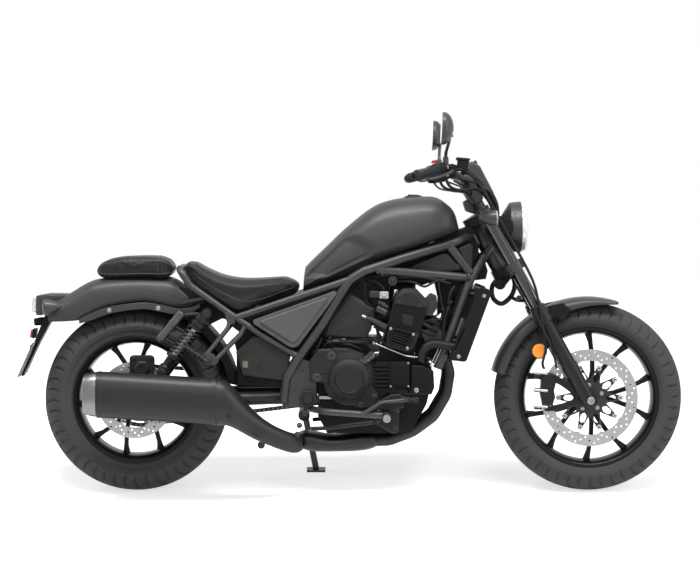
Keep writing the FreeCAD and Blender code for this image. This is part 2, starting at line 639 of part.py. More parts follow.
# Headlight between the tubes
LAMP_X = fork_x("headlight_reach", "headlight_height")
LAMP_Z = fork_z("headlight_reach", "headlight_height")
LAMP = Placement(point(LAMP_X, "0", LAMP_Z), Rotation())
shell = turned("headlight_bowl", "XZ", "H_Axis", [
    ("0", "0"), ("0", "headlight_radius"), ("-headlight_depth * 0.3", "headlight_radius"),
    ("-headlight_depth * 0.75", "headlight_radius * 0.8", "arc"), ("-headlight_depth", "headlight_radius * 0.45"),
    ("-headlight_depth", "0")])
document.recompute()
bowl = shell.Shape.copy()
bowl.Placement = LAMP
lamp_arm = rod(fork_point("0", "-fork_half_spread", "headlight_height"),
               Vector(value(f"{LAMP_X} - headlight_depth * 0.4"), -value("headlight_radius * 0.8"), value(LAMP_Z)),
               value("stalk_radius"))
tube_room = rod(fork_point("0", "-fork_half_spread", "slider_top"),
                fork_point("0", "-fork_half_spread", "fork_top"), value("fork_tube_radius + fit_gap"))
lamp_arm = lamp_arm.cut(tube_room)
lamp_arm = max(lamp_arm.Solids, key=lambda solid: solid.Volume)
node("headlight_shell", feature("headlight_shell", fused([bowl] + both_sides(lamp_arm))))
lens = turned("headlight_lens", "XZ", "H_Axis", [
    ("fit_gap", "0"), ("fit_gap", "headlight_radius * 0.93"), ("lens_depth * 0.5", "headlight_radius * 0.9"),
    ("lens_depth * 0.85", "headlight_radius * 0.5", "arc"), ("lens_depth", "0")])
node("headlight_lens", lens, BIKE.multiply(LAMP))


def turn_signal(centre, forward, inner_side):
    """A bullet lamp on a stalk that reaches inward; forward is 1 or -1, the way its lens faces."""
    radius = value("signal_radius")
    length = value("signal_length")
    body = Part.makeCylinder(radius, length * 0.45, centre, Vector(forward, 0, 0))
    back = Part.makeCone(radius, radius * 0.45, length * 0.5, centre, Vector(-forward, 0, 0))
    stalk = rod(centre, Vector(centre.x, -value(inner_side), centre.z), value("stalk_radius"))
    return fused([body, back, stalk])


SIGNAL_HEIGHT = "(upper_clamp_height + clamp_thickness / 2)"
front_signal = turn_signal(fork_point("0", "-front_signal_place", SIGNAL_HEIGHT), 1,
                           "fork_half_spread + clamp_boss_radius + fit_gap")
node("front_turn_signals", feature("front_turn_signals", Part.makeCompound(both_sides(front_signal))))

# Handlebar on two risers; shares are of how far the grips lie back, out and up
BAR_HEIGHT = "(upper_clamp_height + bar_drop)"
BAR_SHARES = ((0, 0.18, 0), (0.2, 0.38, 0.55), (0.42, 0.62, 0.78), (1, 1, 1))


def bar_point(back, side, rise):
    return fork_point(f"-bar_back * {back}", f"-bar_half_width * {side}", f"{BAR_HEIGHT} + bar_rise * {rise}")


right_route = [bar_point(*share) for share in BAR_SHARES]
left_route = [Vector(spot.x, -spot.y, spot.z) for spot in right_route]
bar = tube(right_route[::-1] + left_route, value("bar_radius"), value("bar_bend"))
risers = [rod(fork_point("0", f"{side} * riser_spread", f"{UPPER_TOP} + fit_gap"),
              fork_point("0", f"{side} * riser_spread", f"{BAR_HEIGHT} + bar_radius * 1.6"), value("riser_radius"))
          for side in (-1, 1)]
node("handlebar", feature("handlebar", fused([bar] + risers)))

bar_end = right_route[-1]
along_bar = (right_route[-2] - bar_end).normalize()
bar_room = rod(bar_end, right_route[-2], value("bar_radius + fit_gap"))
GRIP_TIP = value("overrun")
grip = rod(bar_end - along_bar * GRIP_TIP, bar_end + along_bar * value("grip_length"), value("grip_radius"))
node("grips", feature("grips", Part.makeCompound(both_sides(grip.cut(bar_room)))))

house_start = bar_end + along_bar * value("grip_length + fit_gap")
house_end = bar_end + along_bar * value("grip_length + housing_length")
house = rod(house_start, house_end, value("housing_radius"))
forward_in_fork = (fork_point("1", 0, 0) - fork_point(0, 0, 0)).normalize()
lever_root = (house_start + house_end) * 0.5 + forward_in_fork * value("housing_radius")
lever = tube([lever_root, lever_root + forward_in_fork * value("lever_reach"),
              bar_end + forward_in_fork * value("housing_radius + lever_reach")],
             value("lever_radius"), value("bar_bend"))
mirror_foot = house_end * 0.5 + house_start * 0.5
glass_place = fork_point("bar_back * 0.09", "-mirror_half_spread", f"{BAR_HEIGHT} + mirror_height")
mirror_stem = tube([mirror_foot, mirror_foot + Vector(0, 0, value("mirror_stem_rise")), glass_place],
                   value("mirror_stem_radius"), value("bar_bend"))
controls = fused([house, lever]).cut(bar_room)
glass = lofted("mirror_head", ("0", "mirror_thickness", "-mirror_half_height", "mirror_half_height", "0",
                               "mirror_half_width"),
               ((0, 0.04, 0.96, 0.92), (0.25, 0, 1, 1), (0.7, 0.08, 0.92, 0.85), (1, 0.25, 0.75, 0.5)), 0.8)
document.recompute()
glass_shape = glass.Shape.copy()
glass_shape.Placement = Placement(glass_place, Rotation())
mirror_shape = fused([glass_shape, mirror_stem]).cut(controls).cut(bar_room)
mirror_shape = max(mirror_shape.Solids, key=lambda solid: solid.Volume)
node("mirrors", feature("mirrors", Part.makeCompound(both_sides(mirror_shape))))

reservoir_centre = right_route[-2] + (right_route[-3] - right_route[-2]) * 0.35
reservoir = Part.makeBox(value("reservoir_size"), value("reservoir_size"), value("reservoir_size"),
                         reservoir_centre - Vector(value("reservoir_size / 2"), value("reservoir_size / 2"),
                                                   -value("bar_radius * 0.5")))
reservoir = reservoir.cut(tube(right_route[::-1] + left_route, value("bar_radius + fit_gap"), value("bar_bend")))
node("bar_controls", feature("bar_controls", Part.makeCompound(both_sides(controls) + [reservoir])))

# Brake hose from the reservoir, past the right slider, to the caliper
HOSE_SHARES = ((-0.62, 1.68, 1.2535), (0.2, 1.42, 1.2), (0.72, 1.12, 1.12), (0.76, 1.02, 1),
               (0.76, 1, 0.886), (0.8, 1, 0.6925), (0.7, 1.04, 0.582), (0, 1.1, 0.457),
               (-0.95, 1.02, 0.298), (-1.83, 0.8, 0.242), (-1.9, 0.78, 0.201))
hose_route = [fork_point(f"steering_offset * {ahead}", f"-hose_side * {side}", f"fork_top * {up}")
              for ahead, side, up in HOSE_SHARES]
brake_hose = tube(hose_route, value("hose_radius"), value("hose_bend"))
brake_hose = brake_hose.cut(reservoir).cut(caliper_shape)
node("brake_hose", feature("brake_hose", max(brake_hose.Solids, key=lambda solid: solid.Volume)))

meter_centre = fork_point("meter_reach", "0", f"{BAR_HEIGHT}")
meter_up = Vector(-math.sin(math.radians(value("meter_angle"))), 0, math.cos(math.radians(value("meter_angle"))))
meter_drum = rod(meter_centre, meter_centre + meter_up * value("meter_thickness"), value("meter_radius"))
meter_leg = rod(meter_centre + meter_up * value("meter_thickness * 0.5"),
                fork_point("0", "0", f"{UPPER_TOP} + stalk_radius * 2"), value("stalk_radius"))
meter_foot = rod(fork_point("0", "0", f"{UPPER_TOP} + fit_gap"),
                 fork_point("0", "0", f"{UPPER_TOP} + stalk_radius * 3"), value("stalk_radius * 1.4"))
COWL_SHARES = ((0.94, 1.11), (1.31, 0.51), (1.29, -1.375), (0.58, 0.13), (0.53, 0.67))
cowl = padded("meter_cowl", "XZ", [(f"meter_reach * {ahead}", f"{BAR_HEIGHT} + meter_radius * {up}")
                                   for ahead, up in COWL_SHARES],
              "-meter_radius * 0.96", "meter_radius * 0.96")
document.recompute()
cowl_shape = cowl.Shape.copy()
cowl_shape.Placement = Placement(point(FORK_LINE, "0", "front_tyre_radius"),
                                 Rotation(Vector(0, 1, 0), -value("rake"))).multiply(cowl_shape.Placement)
meter_shape = fused([meter_drum, cowl_shape, meter_leg, meter_foot])
meter_shape = meter_shape.cut(bar).cut(Part.makeCompound(risers))
node("meter", feature("meter", max(meter_shape.Solids, key=lambda solid: solid.Volume)))

# Main frame: head tube, two spars that come down to the pivot plates, braces and down tubes
SPAR_SHARES = ((0.985, 0.2, 0.945), (0.88, 0.62, 0.903), (0.543, 0.93, 0.805), (0.33, 1, 0.737),
               (0.243, 1, 0.683), (0.182, 1, 0.59), (0.082, 1, 0.426), (-0.0605, 1, 0.227),
               (-0.128, 1, 0.119), (-0.144, 1, -0.02))
BRACE_SHARES = ((0.40, 0.97, 0.745), (0.955, 0.62, 0.694))
DIAGONAL_SHARES = ((0.826, 0.68, 0.895), (0.965, 0.62, 0.72))
DOWN_TUBE_SHARES = ((1.09, 0.2, 0.87), (0.965, 0.62, 0.696), (0.852, 0.8, 0.391), (0.766, 0.8, 0.17))
LOOP_SHARES = ((-0.762, 0.98, 0.747), (-0.697, 0.98, 0.651), (-0.476, 0.98, 0.497), (-0.275, 0.98, 0.366),
               (-0.048, 0.98, 0.236))
RAIL_SHARES = ((-0.43, 0.98, 0.4655), (-0.036, 1, 0.597), (0.243, 1, 0.686))
SEAT_BAR_SHARES = ((-0.3, 0.98, 0.5), (-0.3, 0.6, 0.53), (-0.3, -0.6, 0.53), (-0.3, -0.98, 0.5))
FRAME_SPACE = ("pivot_ahead", "head_x", "0", "-frame_half_width", "pivot_height", "head_z")


def frame_route(shares):
    return [in_box(FRAME_SPACE, share) for share in shares]


def frame_tube(shares, radius="frame_tube_radius"):
    return tube(frame_route(shares), value(radius), value("frame_bend"))


head = rod(fork_point(STEERED, 0, HEAD_LOW), fork_point(STEERED, 0, "head_high"), value("head_tube_radius"))
head_bore = rod(fork_point(STEERED, 0, "lower_clamp_height"), fork_point(STEERED, 0, UPPER_TOP),
                value("stem_radius + axle_bore_gap"))
plate_outline = Part.Wire(Part.makePolygon([in_box(FRAME_SPACE, share) for share in (
    (-0.153, 1, 0.11), (-0.153, 1, -0.05), (0.02, 1, -0.055), (0.048, 1, 0.0), (0.048, 1, 0.20), (-0.07, 1, 0.24),
    (-0.153, 1, 0.11))]))
pivot_plate = Part.Face(plate_outline).extrude(Vector(0, value("plate_thickness"), 0))
side_tubes = [frame_tube(shares) for shares in (SPAR_SHARES, BRACE_SHARES, DIAGONAL_SHARES, DOWN_TUBE_SHARES)]
tank_rest = frame_route([SPAR_SHARES[2]])[0]
tank_bar = rod(tank_rest, Vector(tank_rest.x, -tank_rest.y, tank_rest.z), value("frame_tube_radius"))
frame_parts = [head, tank_bar] + [shape for part in side_tubes + [pivot_plate] for shape in both_sides(part)]
MAIN_FRAME = fused(frame_parts).cut(head_bore)

loop_right = frame_route(LOOP_SHARES)
loop_left = [Vector(spot.x, -spot.y, spot.z) for spot in loop_right]


def rear_tubes(radius):
    """The loop behind the seat, its two rails and the bar below the seat, at one radius."""
    bend = value("frame_bend")
    return [tube(loop_right[::-1] + loop_left, radius, bend), tube(frame_route(SEAT_BAR_SHARES), radius, bend),
            *both_sides(tube(frame_route(RAIL_SHARES), radius, bend))]


fender_stay = rod(in_box(FRAME_SPACE, (-0.6, 0.98, 0.5835)),
                  point("rear_tyre_radius * 0.53", "-(rear_fender_half_width - fender_wall / 2)",
                        "rear_tyre_radius * 2.05"), value("stalk_radius"))
REAR_FRAME = fused(rear_tubes(value("loop_tube_radius")) + both_sides(fender_stay)).cut(MAIN_FRAME)
node("rear_frame", feature("rear_frame", REAR_FRAME))

# Swingarm: arms outside the wheel, closing to the pivot tube between the plates
ARM_IN = "(frame_half_width - plate_thickness - swingarm_tube_radius - fit_gap)"
arm_route = [point("0", "-swingarm_half_width", "rear_tyre_radius"),
             point("rear_tyre_radius * 1.2", "-swingarm_half_width", "pivot_height"),
             point("pivot_ahead * 0.82", f"-{ARM_IN}", "pivot_height"),
             point("pivot_ahead", f"-{ARM_IN}", "pivot_height")]
arm = tube(arm_route, value("swingarm_tube_radius"), value("frame_bend"))
cross_half = "(frame_half_width - plate_thickness - fit_gap)"
pivot_tube = rod(point("pivot_ahead", f"-{cross_half}", "pivot_height"),
                 point("pivot_ahead", cross_half, "pivot_height"), value("swingarm_tube_radius"))
AXLE_OUT = "(swingarm_half_width + swingarm_tube_radius + fit_gap * 4)"
rear_axle = rod(point("0", f"-{AXLE_OUT}", "rear_tyre_radius"), point("0", AXLE_OUT, "rear_tyre_radius"),
                value("rear_axle_radius"))
arm_end = rod(arm_route[0] - Vector(0, value("swingarm_tube_radius * 0.95"), 0),
              arm_route[0] + Vector(0, value("swingarm_tube_radius * 0.95"), 0), value("swingarm_tube_radius * 1.4"))
swingarm = arm.multiFuse([flipped(arm), pivot_tube] + both_sides(arm_end))
CALIPER_OUT = "(rear_disc_place + front_disc_thickness + overrun + caliper_wall)"
CALIPER_IN = "(rear_disc_place - overrun - caliper_wall)"
rear_caliper = Part.makeBox(value("rear_disc_radius * 0.5"), value(f"{CALIPER_OUT} - {CALIPER_IN}"),
                            value("rear_disc_radius * 0.48"),
                            point("-rear_disc_radius * 0.05", f"-{CALIPER_OUT}",
                                  "rear_tyre_radius + rear_disc_radius * 0.62"))
rear_slot = Part.makeCylinder(value("rear_disc_radius + overrun"), value("front_disc_thickness + overrun * 2"),
                              point("0", "-rear_disc_place - front_disc_thickness - overrun",
                                    "rear_tyre_radius"), Vector(0, 1, 0))
ARM_FACE = "(swingarm_half_width - swingarm_tube_radius * 0.94)"
caliper_plate = Part.makeBox(value("rear_disc_radius * 0.3"), value(f"{ARM_FACE} - {CALIPER_OUT} + caliper_wall"),
                             value("rear_disc_radius * 0.7 - rear_axle_radius"),
                             point("-rear_disc_radius * 0.05", f"-{ARM_FACE}", "rear_tyre_radius + rear_axle_radius"))
swingarm = swingarm.cut(rear_axle).cut(MAIN_FRAME)
rear_brake = fused([rear_caliper.cut(rear_slot), caliper_plate]).cut(swingarm)
node("swingarm", feature("swingarm", Part.makeCompound([swingarm, rear_brake])))
node("rear_axle", feature("rear_axle", rear_axle))

# Shocks with a reservoir behind each
SHOCK_TOP = (between("pivot_ahead", "head_x", -0.598), "-shock_half_spread",
             between("pivot_height", "head_z", 0.494))
SHOCK_FOOT = ("rear_tyre_radius * 0.2", "-shock_half_spread", "rear_tyre_radius * 1.17")
shock_top = point(*SHOCK_TOP)
shock_foot = point(*SHOCK_FOOT)
shock_way = (shock_top - shock_foot)
shock_parts = [rod(shock_foot, shock_top, value("shock_radius * 0.35")),
               rod(shock_foot + shock_way * 0.62, shock_foot + shock_way * 0.94, value("shock_radius * 0.9")),
               rod(shock_foot + shock_way * 0.12, shock_foot + shock_way * 0.6, value("shock_radius"))]
side_step = Vector(0, value("shock_radius * 0.5"), 0)
for eye in (shock_top, shock_foot):
    shock_parts.append(rod(eye - side_step, eye + side_step, value("shock_radius * 0.6")))
shock_parts.append(rod(shock_top, Vector(shock_top.x, -value("frame_half_width"), shock_top.z),
                       value("stalk_radius")))
shock_parts.append(rod(shock_foot, Vector(shock_foot.x, -value("swingarm_half_width"), value("pivot_height")),
                       value("stalk_radius")))
behind = Vector(-value("shock_radius * 2.1"), 0, 0)
shock_parts.append(rod(shock_foot + shock_way * 0.5 + behind, shock_foot + shock_way * 0.97 + behind,
                       value("shock_radius * 0.55")))
shock_parts.append(rod(shock_foot + shock_way * 0.86, shock_foot + shock_way * 0.86 + behind,
                       value("shock_radius * 0.4")))
top_bracket = rod(Vector(shock_top.x, -value("frame_half_width"), shock_top.z),
                  Vector(shock_top.x, -value("frame_half_width"), shock_top.z + value("shock_bracket")),
                  value("stalk_radius * 1.5"))
shock_parts.append(top_bracket)
shock = fused(shock_parts).cut(REAR_FRAME).cut(swingarm).cut(rear_axle)
shock = max(shock.Solids, key=lambda solid: solid.Volume)
node("shocks", feature("shocks", Part.makeCompound(both_sides(shock))))

# Fuel tank, seats and side covers
TANK_REAR = "(pivot_ahead - tank_overhang)"
TANK_BOX = (TANK_REAR, f"{TANK_REAR} + tank_length", "pivot_height + tank_base",
            "pivot_height + tank_base + tank_height", "0", "tank_half_width")
TANK_SHARES = ((0, 0.05, 0.25, 0.45), (0.06, 0.03, 0.37, 0.62), (0.27, 0.16, 0.67, 0.86), (0.43, 0.27, 0.885, 0.97),
               (0.57, 0.36, 0.97, 1), (0.715, 0.45, 0.995, 1), (0.855, 0.55, 1, 0.93), (0.94, 0.61, 0.93, 0.72),
               (0.98, 0.64, 0.84, 0.5), (1, 0.67, 0.74, 0.32))
tank = lofted("tank_form", TANK_BOX, TANK_SHARES, 0.7)
document.recompute()
TANK = tank.Shape.cut(MAIN_FRAME).cut(REAR_FRAME)
TANK = max(TANK.Solids, key=lambda solid: solid.Volume)
cap_place = point(f"{TANK_REAR} + tank_length * 0.72", "0",
                  "pivot_height + tank_base + tank_height - fuel_cap_height * 1.2")
fuel_cap = Part.makeCylinder(value("fuel_cap_radius"), value("fuel_cap_height * 2"), cap_place)
node("fuel_tank", feature("fuel_tank", TANK.cut(fuel_cap)))
node("fuel_cap", feature("fuel_cap", fuel_cap))

SEAT_FRONT = f"({TANK_REAR} - tank_overhang * 0.7)"
SEAT_BOX = (f"{SEAT_FRONT} - seat_length", SEAT_FRONT, "pivot_height + seat_base",
            "pivot_height + seat_base + seat_height + fit_gap", "0", "seat_half_width")
SEAT_SHARES = ((0, 0.79, 0.91, 0.5), (0.06, 0.7, 1, 0.75), (0.18, 0.424, 0.84, 0.9), (0.4, 0.097, 0.663, 1),
               (0.5, 0.003, 0.642, 0.99), (0.57, 0.047, 0.627, 0.97), (0.78, 0.217, 0.649, 0.8),
               (0.92, 0.32, 0.672, 0.6), (1, 0.379, 0.556, 0.45))
seat = lofted("seat_form", SEAT_BOX, SEAT_SHARES, 0.7)
PILLION_FRONT = f"({SEAT_FRONT} - seat_length - pillion_gap)"
FENDER_TOP = "(rear_tyre_radius * 2 + rear_fender_gap + fender_wall + fit_gap)"
PILLION_BOX = (f"{PILLION_FRONT} - pillion_length", PILLION_FRONT, FENDER_TOP,
               f"{FENDER_TOP} + pillion_height", "0", "pillion_half_width")
PILLION_SHARES = ((0, 0.3, 0.5, 0.5), (0.1, 0.02, 0.76, 0.8), (0.45, -0.03, 1, 0.95), (0.84, 0, 0.97, 1),
                  (0.94, 0.1, 0.9, 0.9), (1, 0.3, 0.7, 0.6))
pillion = lofted("pillion_form", PILLION_BOX, PILLION_SHARES, 0.6)
document.recompute()

rear_fender, at_rear = fender("rear_fender_shell", "(rear_tyre_radius + rear_fender_gap)",
                              "rear_fender_half_width", "rear_fender_skirt", "rear_fender_start_angle",
                              "rear_fender_end_angle", "0", "rear_tyre_radius")
document.recompute()
REAR_FENDER = rear_fender.Shape.copy()
REAR_FENDER.Placement = at_rear
REAR_FENDER = REAR_FENDER.cut(REAR_FRAME)
node("rear_fender", feature("rear_fender", REAR_FENDER))


def biggest(shape):
    return max(shape.Solids, key=lambda solid: solid.Volume)


seat_room = Part.makeCompound(rear_tubes(value("loop_tube_radius + fit_gap")))
FENDER_REACH = "(rear_tyre_radius + rear_fender_gap + fender_wall + fit_gap)"
wheel_room = Part.makeCylinder(value(FENDER_REACH), value("(rear_fender_half_width + fit_gap) * 2"),
                               point("0", "-rear_fender_half_width - fit_gap", "rear_tyre_radius"),
                               Vector(0, 1, 0))
seat_shape = biggest(seat.Shape.cut(seat_room).cut(TANK).cut(MAIN_FRAME).cut(wheel_room))
node("rider_seat", feature("rider_seat", seat_shape))
fender_room = REAR_FENDER.copy()
fender_room.translate(Vector(0, 0, value("fit_gap")))
node("pillion_seat", feature("pillion_seat", biggest(pillion.Shape.cut(fender_room).cut(seat_room))))

# Power unit; shares are of the engine's length and height, seen from the right
ENGINE_REAR = "(pivot_ahead + engine_gap)"
ENGINE_BOX = (ENGINE_REAR, f"({ENGINE_REAR} + engine_length)", "engine_bottom", "(engine_bottom + engine_height)")


def engine_outline(shares):
    rear, front, low, high = ENGINE_BOX
    return [(between(rear, front, along), between(low, high, up)) for along, up in shares]


def engine_slab(name, shares, low, high):
    """A slab of the engine's side view, from one distance to the left to another."""
    return padded(name, "XZ", engine_outline(shares), low, high)


SIDE = "engine_half_width"
RIGHT_LOW = f"-({SIDE} + cover_depth)"
RIGHT_HIGH = f"-({SIDE} + fit_gap)"
CRANKCASE_SHARES = ((0, 0.12), (0.08, 0), (0.8, 0), (0.94, 0.2), (0.985, 0.36), (0.985, 0.47), (0.86, 0.53),
                    (0.5, 0.53), (0.42, 0.62), (0.05, 0.62), (0, 0.5))
BLOCK_SHARES = ((0.53, 0.5306), (0.83, 0.5306), (0.88, 0.70), (0.60, 0.76))
HEAD_SHARES = ((0.60, 0.76), (0.88, 0.70), (0.94, 0.85), (0.65, 0.91))
HEAD_COVER_SHARES = ((0.65, 0.912), (0.94, 0.852), (0.948, 0.917), (0.836, 1), (0.758, 1), (0.691, 0.979))
RIGHT_COVER_SHARES = ((0.045, 0.61), (0.24, 0.56), (0.4, 0.52), (0.49, 0.42), (0.515, 0.2), (0.44, 0.16),
                      (0.09, 0.18), (0.045, 0.27))
RIBBED_SHARES = ((0.53, 0.32), (0.775, 0.32), (0.775, 0.515), (0.53, 0.515))
FRONT_COVER_SHARES = ((0.785, 0.29), (0.88, 0.24), (0.965, 0.33), (0.975, 0.47), (0.86, 0.51), (0.785, 0.49))
GRILLE_SHARES = ((0.61, 0.6), (0.835, 0.6), (0.835, 0.7), (0.78, 0.752), (0.61, 0.752))
INTAKE_SHARES = ((0.286, 0.965), (0.49, 0.865), (0.45, 0.72), (0.38, 0.6206), (0.06, 0.6206), (0.10, 0.76))

crankcase = engine_slab("crankcase_form", CRANKCASE_SHARES, f"-{SIDE}", SIDE)
block = engine_slab("cylinder_form", BLOCK_SHARES, f"-{SIDE}", SIDE)
cylinder_head = engine_slab("head_form", HEAD_SHARES, "-head_half_width", "head_half_width")
head_cover = engine_slab("head_cover_form", HEAD_COVER_SHARES, "-head_half_width", "head_half_width")
right_cover = engine_slab("right_cover_form", RIGHT_COVER_SHARES, RIGHT_LOW, RIGHT_HIGH)
clutch_x, clutch_z = engine_outline([(0.27, 0.397)])[0]
clutch_base = f"({RIGHT_LOW} - fit_gap)"
clutch_cover = turned("clutch_cover", "XZ", "V_Axis", [
    ("0", "0"), ("clutch_radius", "0"), ("clutch_radius", "clutch_depth * 0.3"),
    ("clutch_radius * 0.68", "clutch_depth * 0.75"), ("clutch_radius * 0.64", "clutch_depth"), ("0", "clutch_depth")])
document.recompute()
clutch_cap = clutch_cover.Shape.copy()
clutch_cap.Placement = Placement(point(clutch_x, clutch_base, clutch_z), Rotation(Vector(1, 0, 0), 90))
ribbed_box = engine_slab("ribbed_box", RIBBED_SHARES, RIGHT_LOW, RIGHT_HIGH)
front_cover = engine_slab("front_engine_cover", FRONT_COVER_SHARES, RIGHT_LOW, RIGHT_HIGH)
grille_box = engine_slab("grille_box", GRILLE_SHARES, f"-({SIDE} + head_half_width) / 1.6", RIGHT_HIGH)
document.recompute()
node("right_engine_cover", feature("right_engine_cover", Part.makeCompound(
    [right_cover.Shape, front_cover.Shape, clutch_cap])))
node("ribbed_boxes", feature("ribbed_boxes", Part.makeCompound(
    [ribbed_box.Shape, biggest(grille_box.Shape.cut(cylinder_head.Shape))])))
CYLINDERS = fused([block.Shape, cylinder_head.Shape])
node("cylinder_block", feature("cylinder_block", CYLINDERS.cut(MAIN_FRAME)))
node("head_cover", feature("head_cover", head_cover.Shape.cut(MAIN_FRAME)))
intake = engine_slab("intake_form", INTAKE_SHARES, "-frame_half_width * 0.84", "frame_half_width * 0.84")
document.recompute()
INTAKE = biggest(intake.Shape.cut(MAIN_FRAME).cut(REAR_FRAME).cut(crankcase.Shape).cut(block.Shape))
AIR_BOX_SHARES = ((0.285, 0.94), (0.3, 1.07), (0.645, 1.145), (1.03, 1.145), (1.03, 1.04), (0.66, 1.025),
                  (0.46, 0.875))
air_box = engine_slab("air_box_form", AIR_BOX_SHARES, "-air_box_half_width", "air_box_half_width")
document.recompute()
AIR_BOX = biggest(air_box.Shape.cut(INTAKE).cut(TANK).cut(head_cover.Shape).cut(MAIN_FRAME))
node("intake_cover", feature("intake_cover", Part.makeCompound([INTAKE, AIR_BOX])))

THROTTLE_SHARES = ((0.42, 0.79), (0.66, 0.82))
RAIL_BOX_SHARES = ((0.47, 0.84), (0.62, 0.84), (0.62, 0.975), (0.47, 0.975))
(throttle_x, throttle_z), (port_x, port_z) = engine_outline(THROTTLE_SHARES)
barrels = [rod(point(throttle_x, f"{side} * throttle_half_spread", throttle_z),
               point(port_x, f"{side} * throttle_half_spread", port_z), value("throttle_radius"))
           for side in (-1, 1)]
rail_box = engine_slab("fuel_rail_form", RAIL_BOX_SHARES, "-throttle_box_half_width", "throttle_box_half_width")
document.recompute()
(boss_x, boss_z), (arm_x, arm_z) = engine_outline(((0.646, 1.062), (0.58, 0.9)))
boss = rod(point(boss_x, "-frame_half_width * 0.95", boss_z), point(boss_x, "-air_box_half_width", boss_z),
           value("peg_radius"))
boss_arm = rod(point(boss_x, "-air_box_half_width - stalk_radius", boss_z),
               point(arm_x, "-air_box_half_width + stalk_radius * 0.5", arm_z), value("stalk_radius"))
throttles = fused(barrels + [rail_box.Shape, boss, boss_arm]).cut(INTAKE).cut(AIR_BOX).cut(CYLINDERS)
throttles = biggest(throttles.cut(head_cover.Shape).cut(MAIN_FRAME))
node("throttle_bodies", feature("throttle_bodies", throttles))

# Left cover: generator drum, with a plate that shields the front sprocket
SPROCKET_X, SPROCKET_Z = engine_outline([(0.13, 0.26)])[0]
CHAIN_IN = "(chain_line - chain_width / 2)"
CHAIN_OUT = "(chain_line + chain_width / 2)"
drum_x, drum_z = engine_outline([(0.46, 0.385)])[0]
drum = Part.makeCylinder(value("clutch_radius"), value("cover_depth + clutch_depth * 0.4"),
                         point(drum_x, f"{SIDE} + fit_gap", drum_z), Vector(0, 1, 0))
shield_points = [Vector(value(x), value(f"{CHAIN_OUT} + overrun * 0.4"), value(z)) for x, z in engine_outline(
    ((0.06, 0.1), (0.4, 0.24), (0.4, 0.5), (0.2, 0.5), (0.04, 0.4), (0.06, 0.1)))]
shield = Part.Face(Part.makePolygon(shield_points)).extrude(Vector(0, value("plate_thickness"), 0))
left_cover = fused([drum, shield]).cut(MAIN_FRAME)
node("left_engine_cover", feature("left_engine_cover", left_cover))
front_sprocket = Part.makeCylinder(value("front_sprocket_radius - chain_height / 2 - fit_gap"),
                                   value(f"{CHAIN_OUT} - {SIDE} + overrun"),
                                   point(SPROCKET_X, f"{SIDE} - overrun", SPROCKET_Z), Vector(0, 1, 0))
crankcase_shape = biggest(crankcase.Shape.cut(MAIN_FRAME).cut(swingarm))
node("crankcase", feature("crankcase", fused([crankcase_shape, front_sprocket])))


def belt_slab(grow, low, high):
    """The room inside a belt round both sprockets, grown outward, between two places to the left."""
    front = point(SPROCKET_X, low, SPROCKET_Z)
    rear = point("0", low, "rear_tyre_radius")
    across = Vector(0, value(f"({high}) - ({low})"), 0)
    radii = value("front_sprocket_radius") + grow, value("sprocket_radius") + grow
    way = front - rear
    slope = math.atan2(way.z, way.x)
    tilt = math.acos((radii[1] - radii[0]) / way.Length)
    corners = []
    for centre, radius, sign in ((rear, radii[1], 1), (front, radii[0], 1), (front, radii[0], -1),
                                 (rear, radii[1], -1)):
        angle = slope + sign * tilt
        corners.append(centre + Vector(math.cos(angle) * radius, 0, math.sin(angle) * radius))
    middle = Part.Face(Part.makePolygon(corners + corners[:1])).extrude(across)
    ends = [Part.makeCylinder(radius, across.y, centre, Vector(0, 1, 0))
            for centre, radius in zip((front, rear), radii)]
    return fused([middle] + ends)


half_link = value("chain_height / 2")
chain = belt_slab(half_link, CHAIN_IN, CHAIN_OUT).cut(
    belt_slab(-half_link, f"{CHAIN_IN} - overrun", f"{CHAIN_OUT} + overrun"))
node("drive_chain", feature("drive_chain", chain.cut(MAIN_FRAME).cut(swingarm)))

# Battery box on a cross tube
BATTERY = ("(rear_tyre_radius + overrun * 3)", "-battery_half_width",
           "(pivot_height + swingarm_tube_radius + overrun)")
battery = Part.makeBox(value("battery_length"), value("battery_half_width * 2"), value("battery_height"),
                       point(*BATTERY))
TRAY_BAR = (f"{BATTERY[0]} + battery_length * 0.89", f"{BATTERY[2]} + battery_height * 0.9")
tray_bar = rod(point(TRAY_BAR[0], "-frame_half_width", TRAY_BAR[1]),
               point(TRAY_BAR[0], "frame_half_width", TRAY_BAR[1]), value("stalk_radius"))
battery_shape = fused([battery, tray_bar]).cut(REAR_FRAME).cut(MAIN_FRAME).cut(swingarm).cut(crankcase.Shape)
node("battery_box", feature("battery_box", biggest(battery_shape)))

# Radiator ahead of the down tubes, with a shroud on each side
RADIATOR_SHARES = ((0.995, 0.652), (1.07, 0.625), (0.925, 0.215), (0.84, 0.225))
CORE_SHARES = ((1.0, 0.64), (1.05, 0.622), (0.91, 0.222), (0.85, 0.232))


def frame_outline(shares):
    return [(between("pivot_ahead", "head_x", along), between("pivot_height", "head_z", up))
            for along, up in shares]


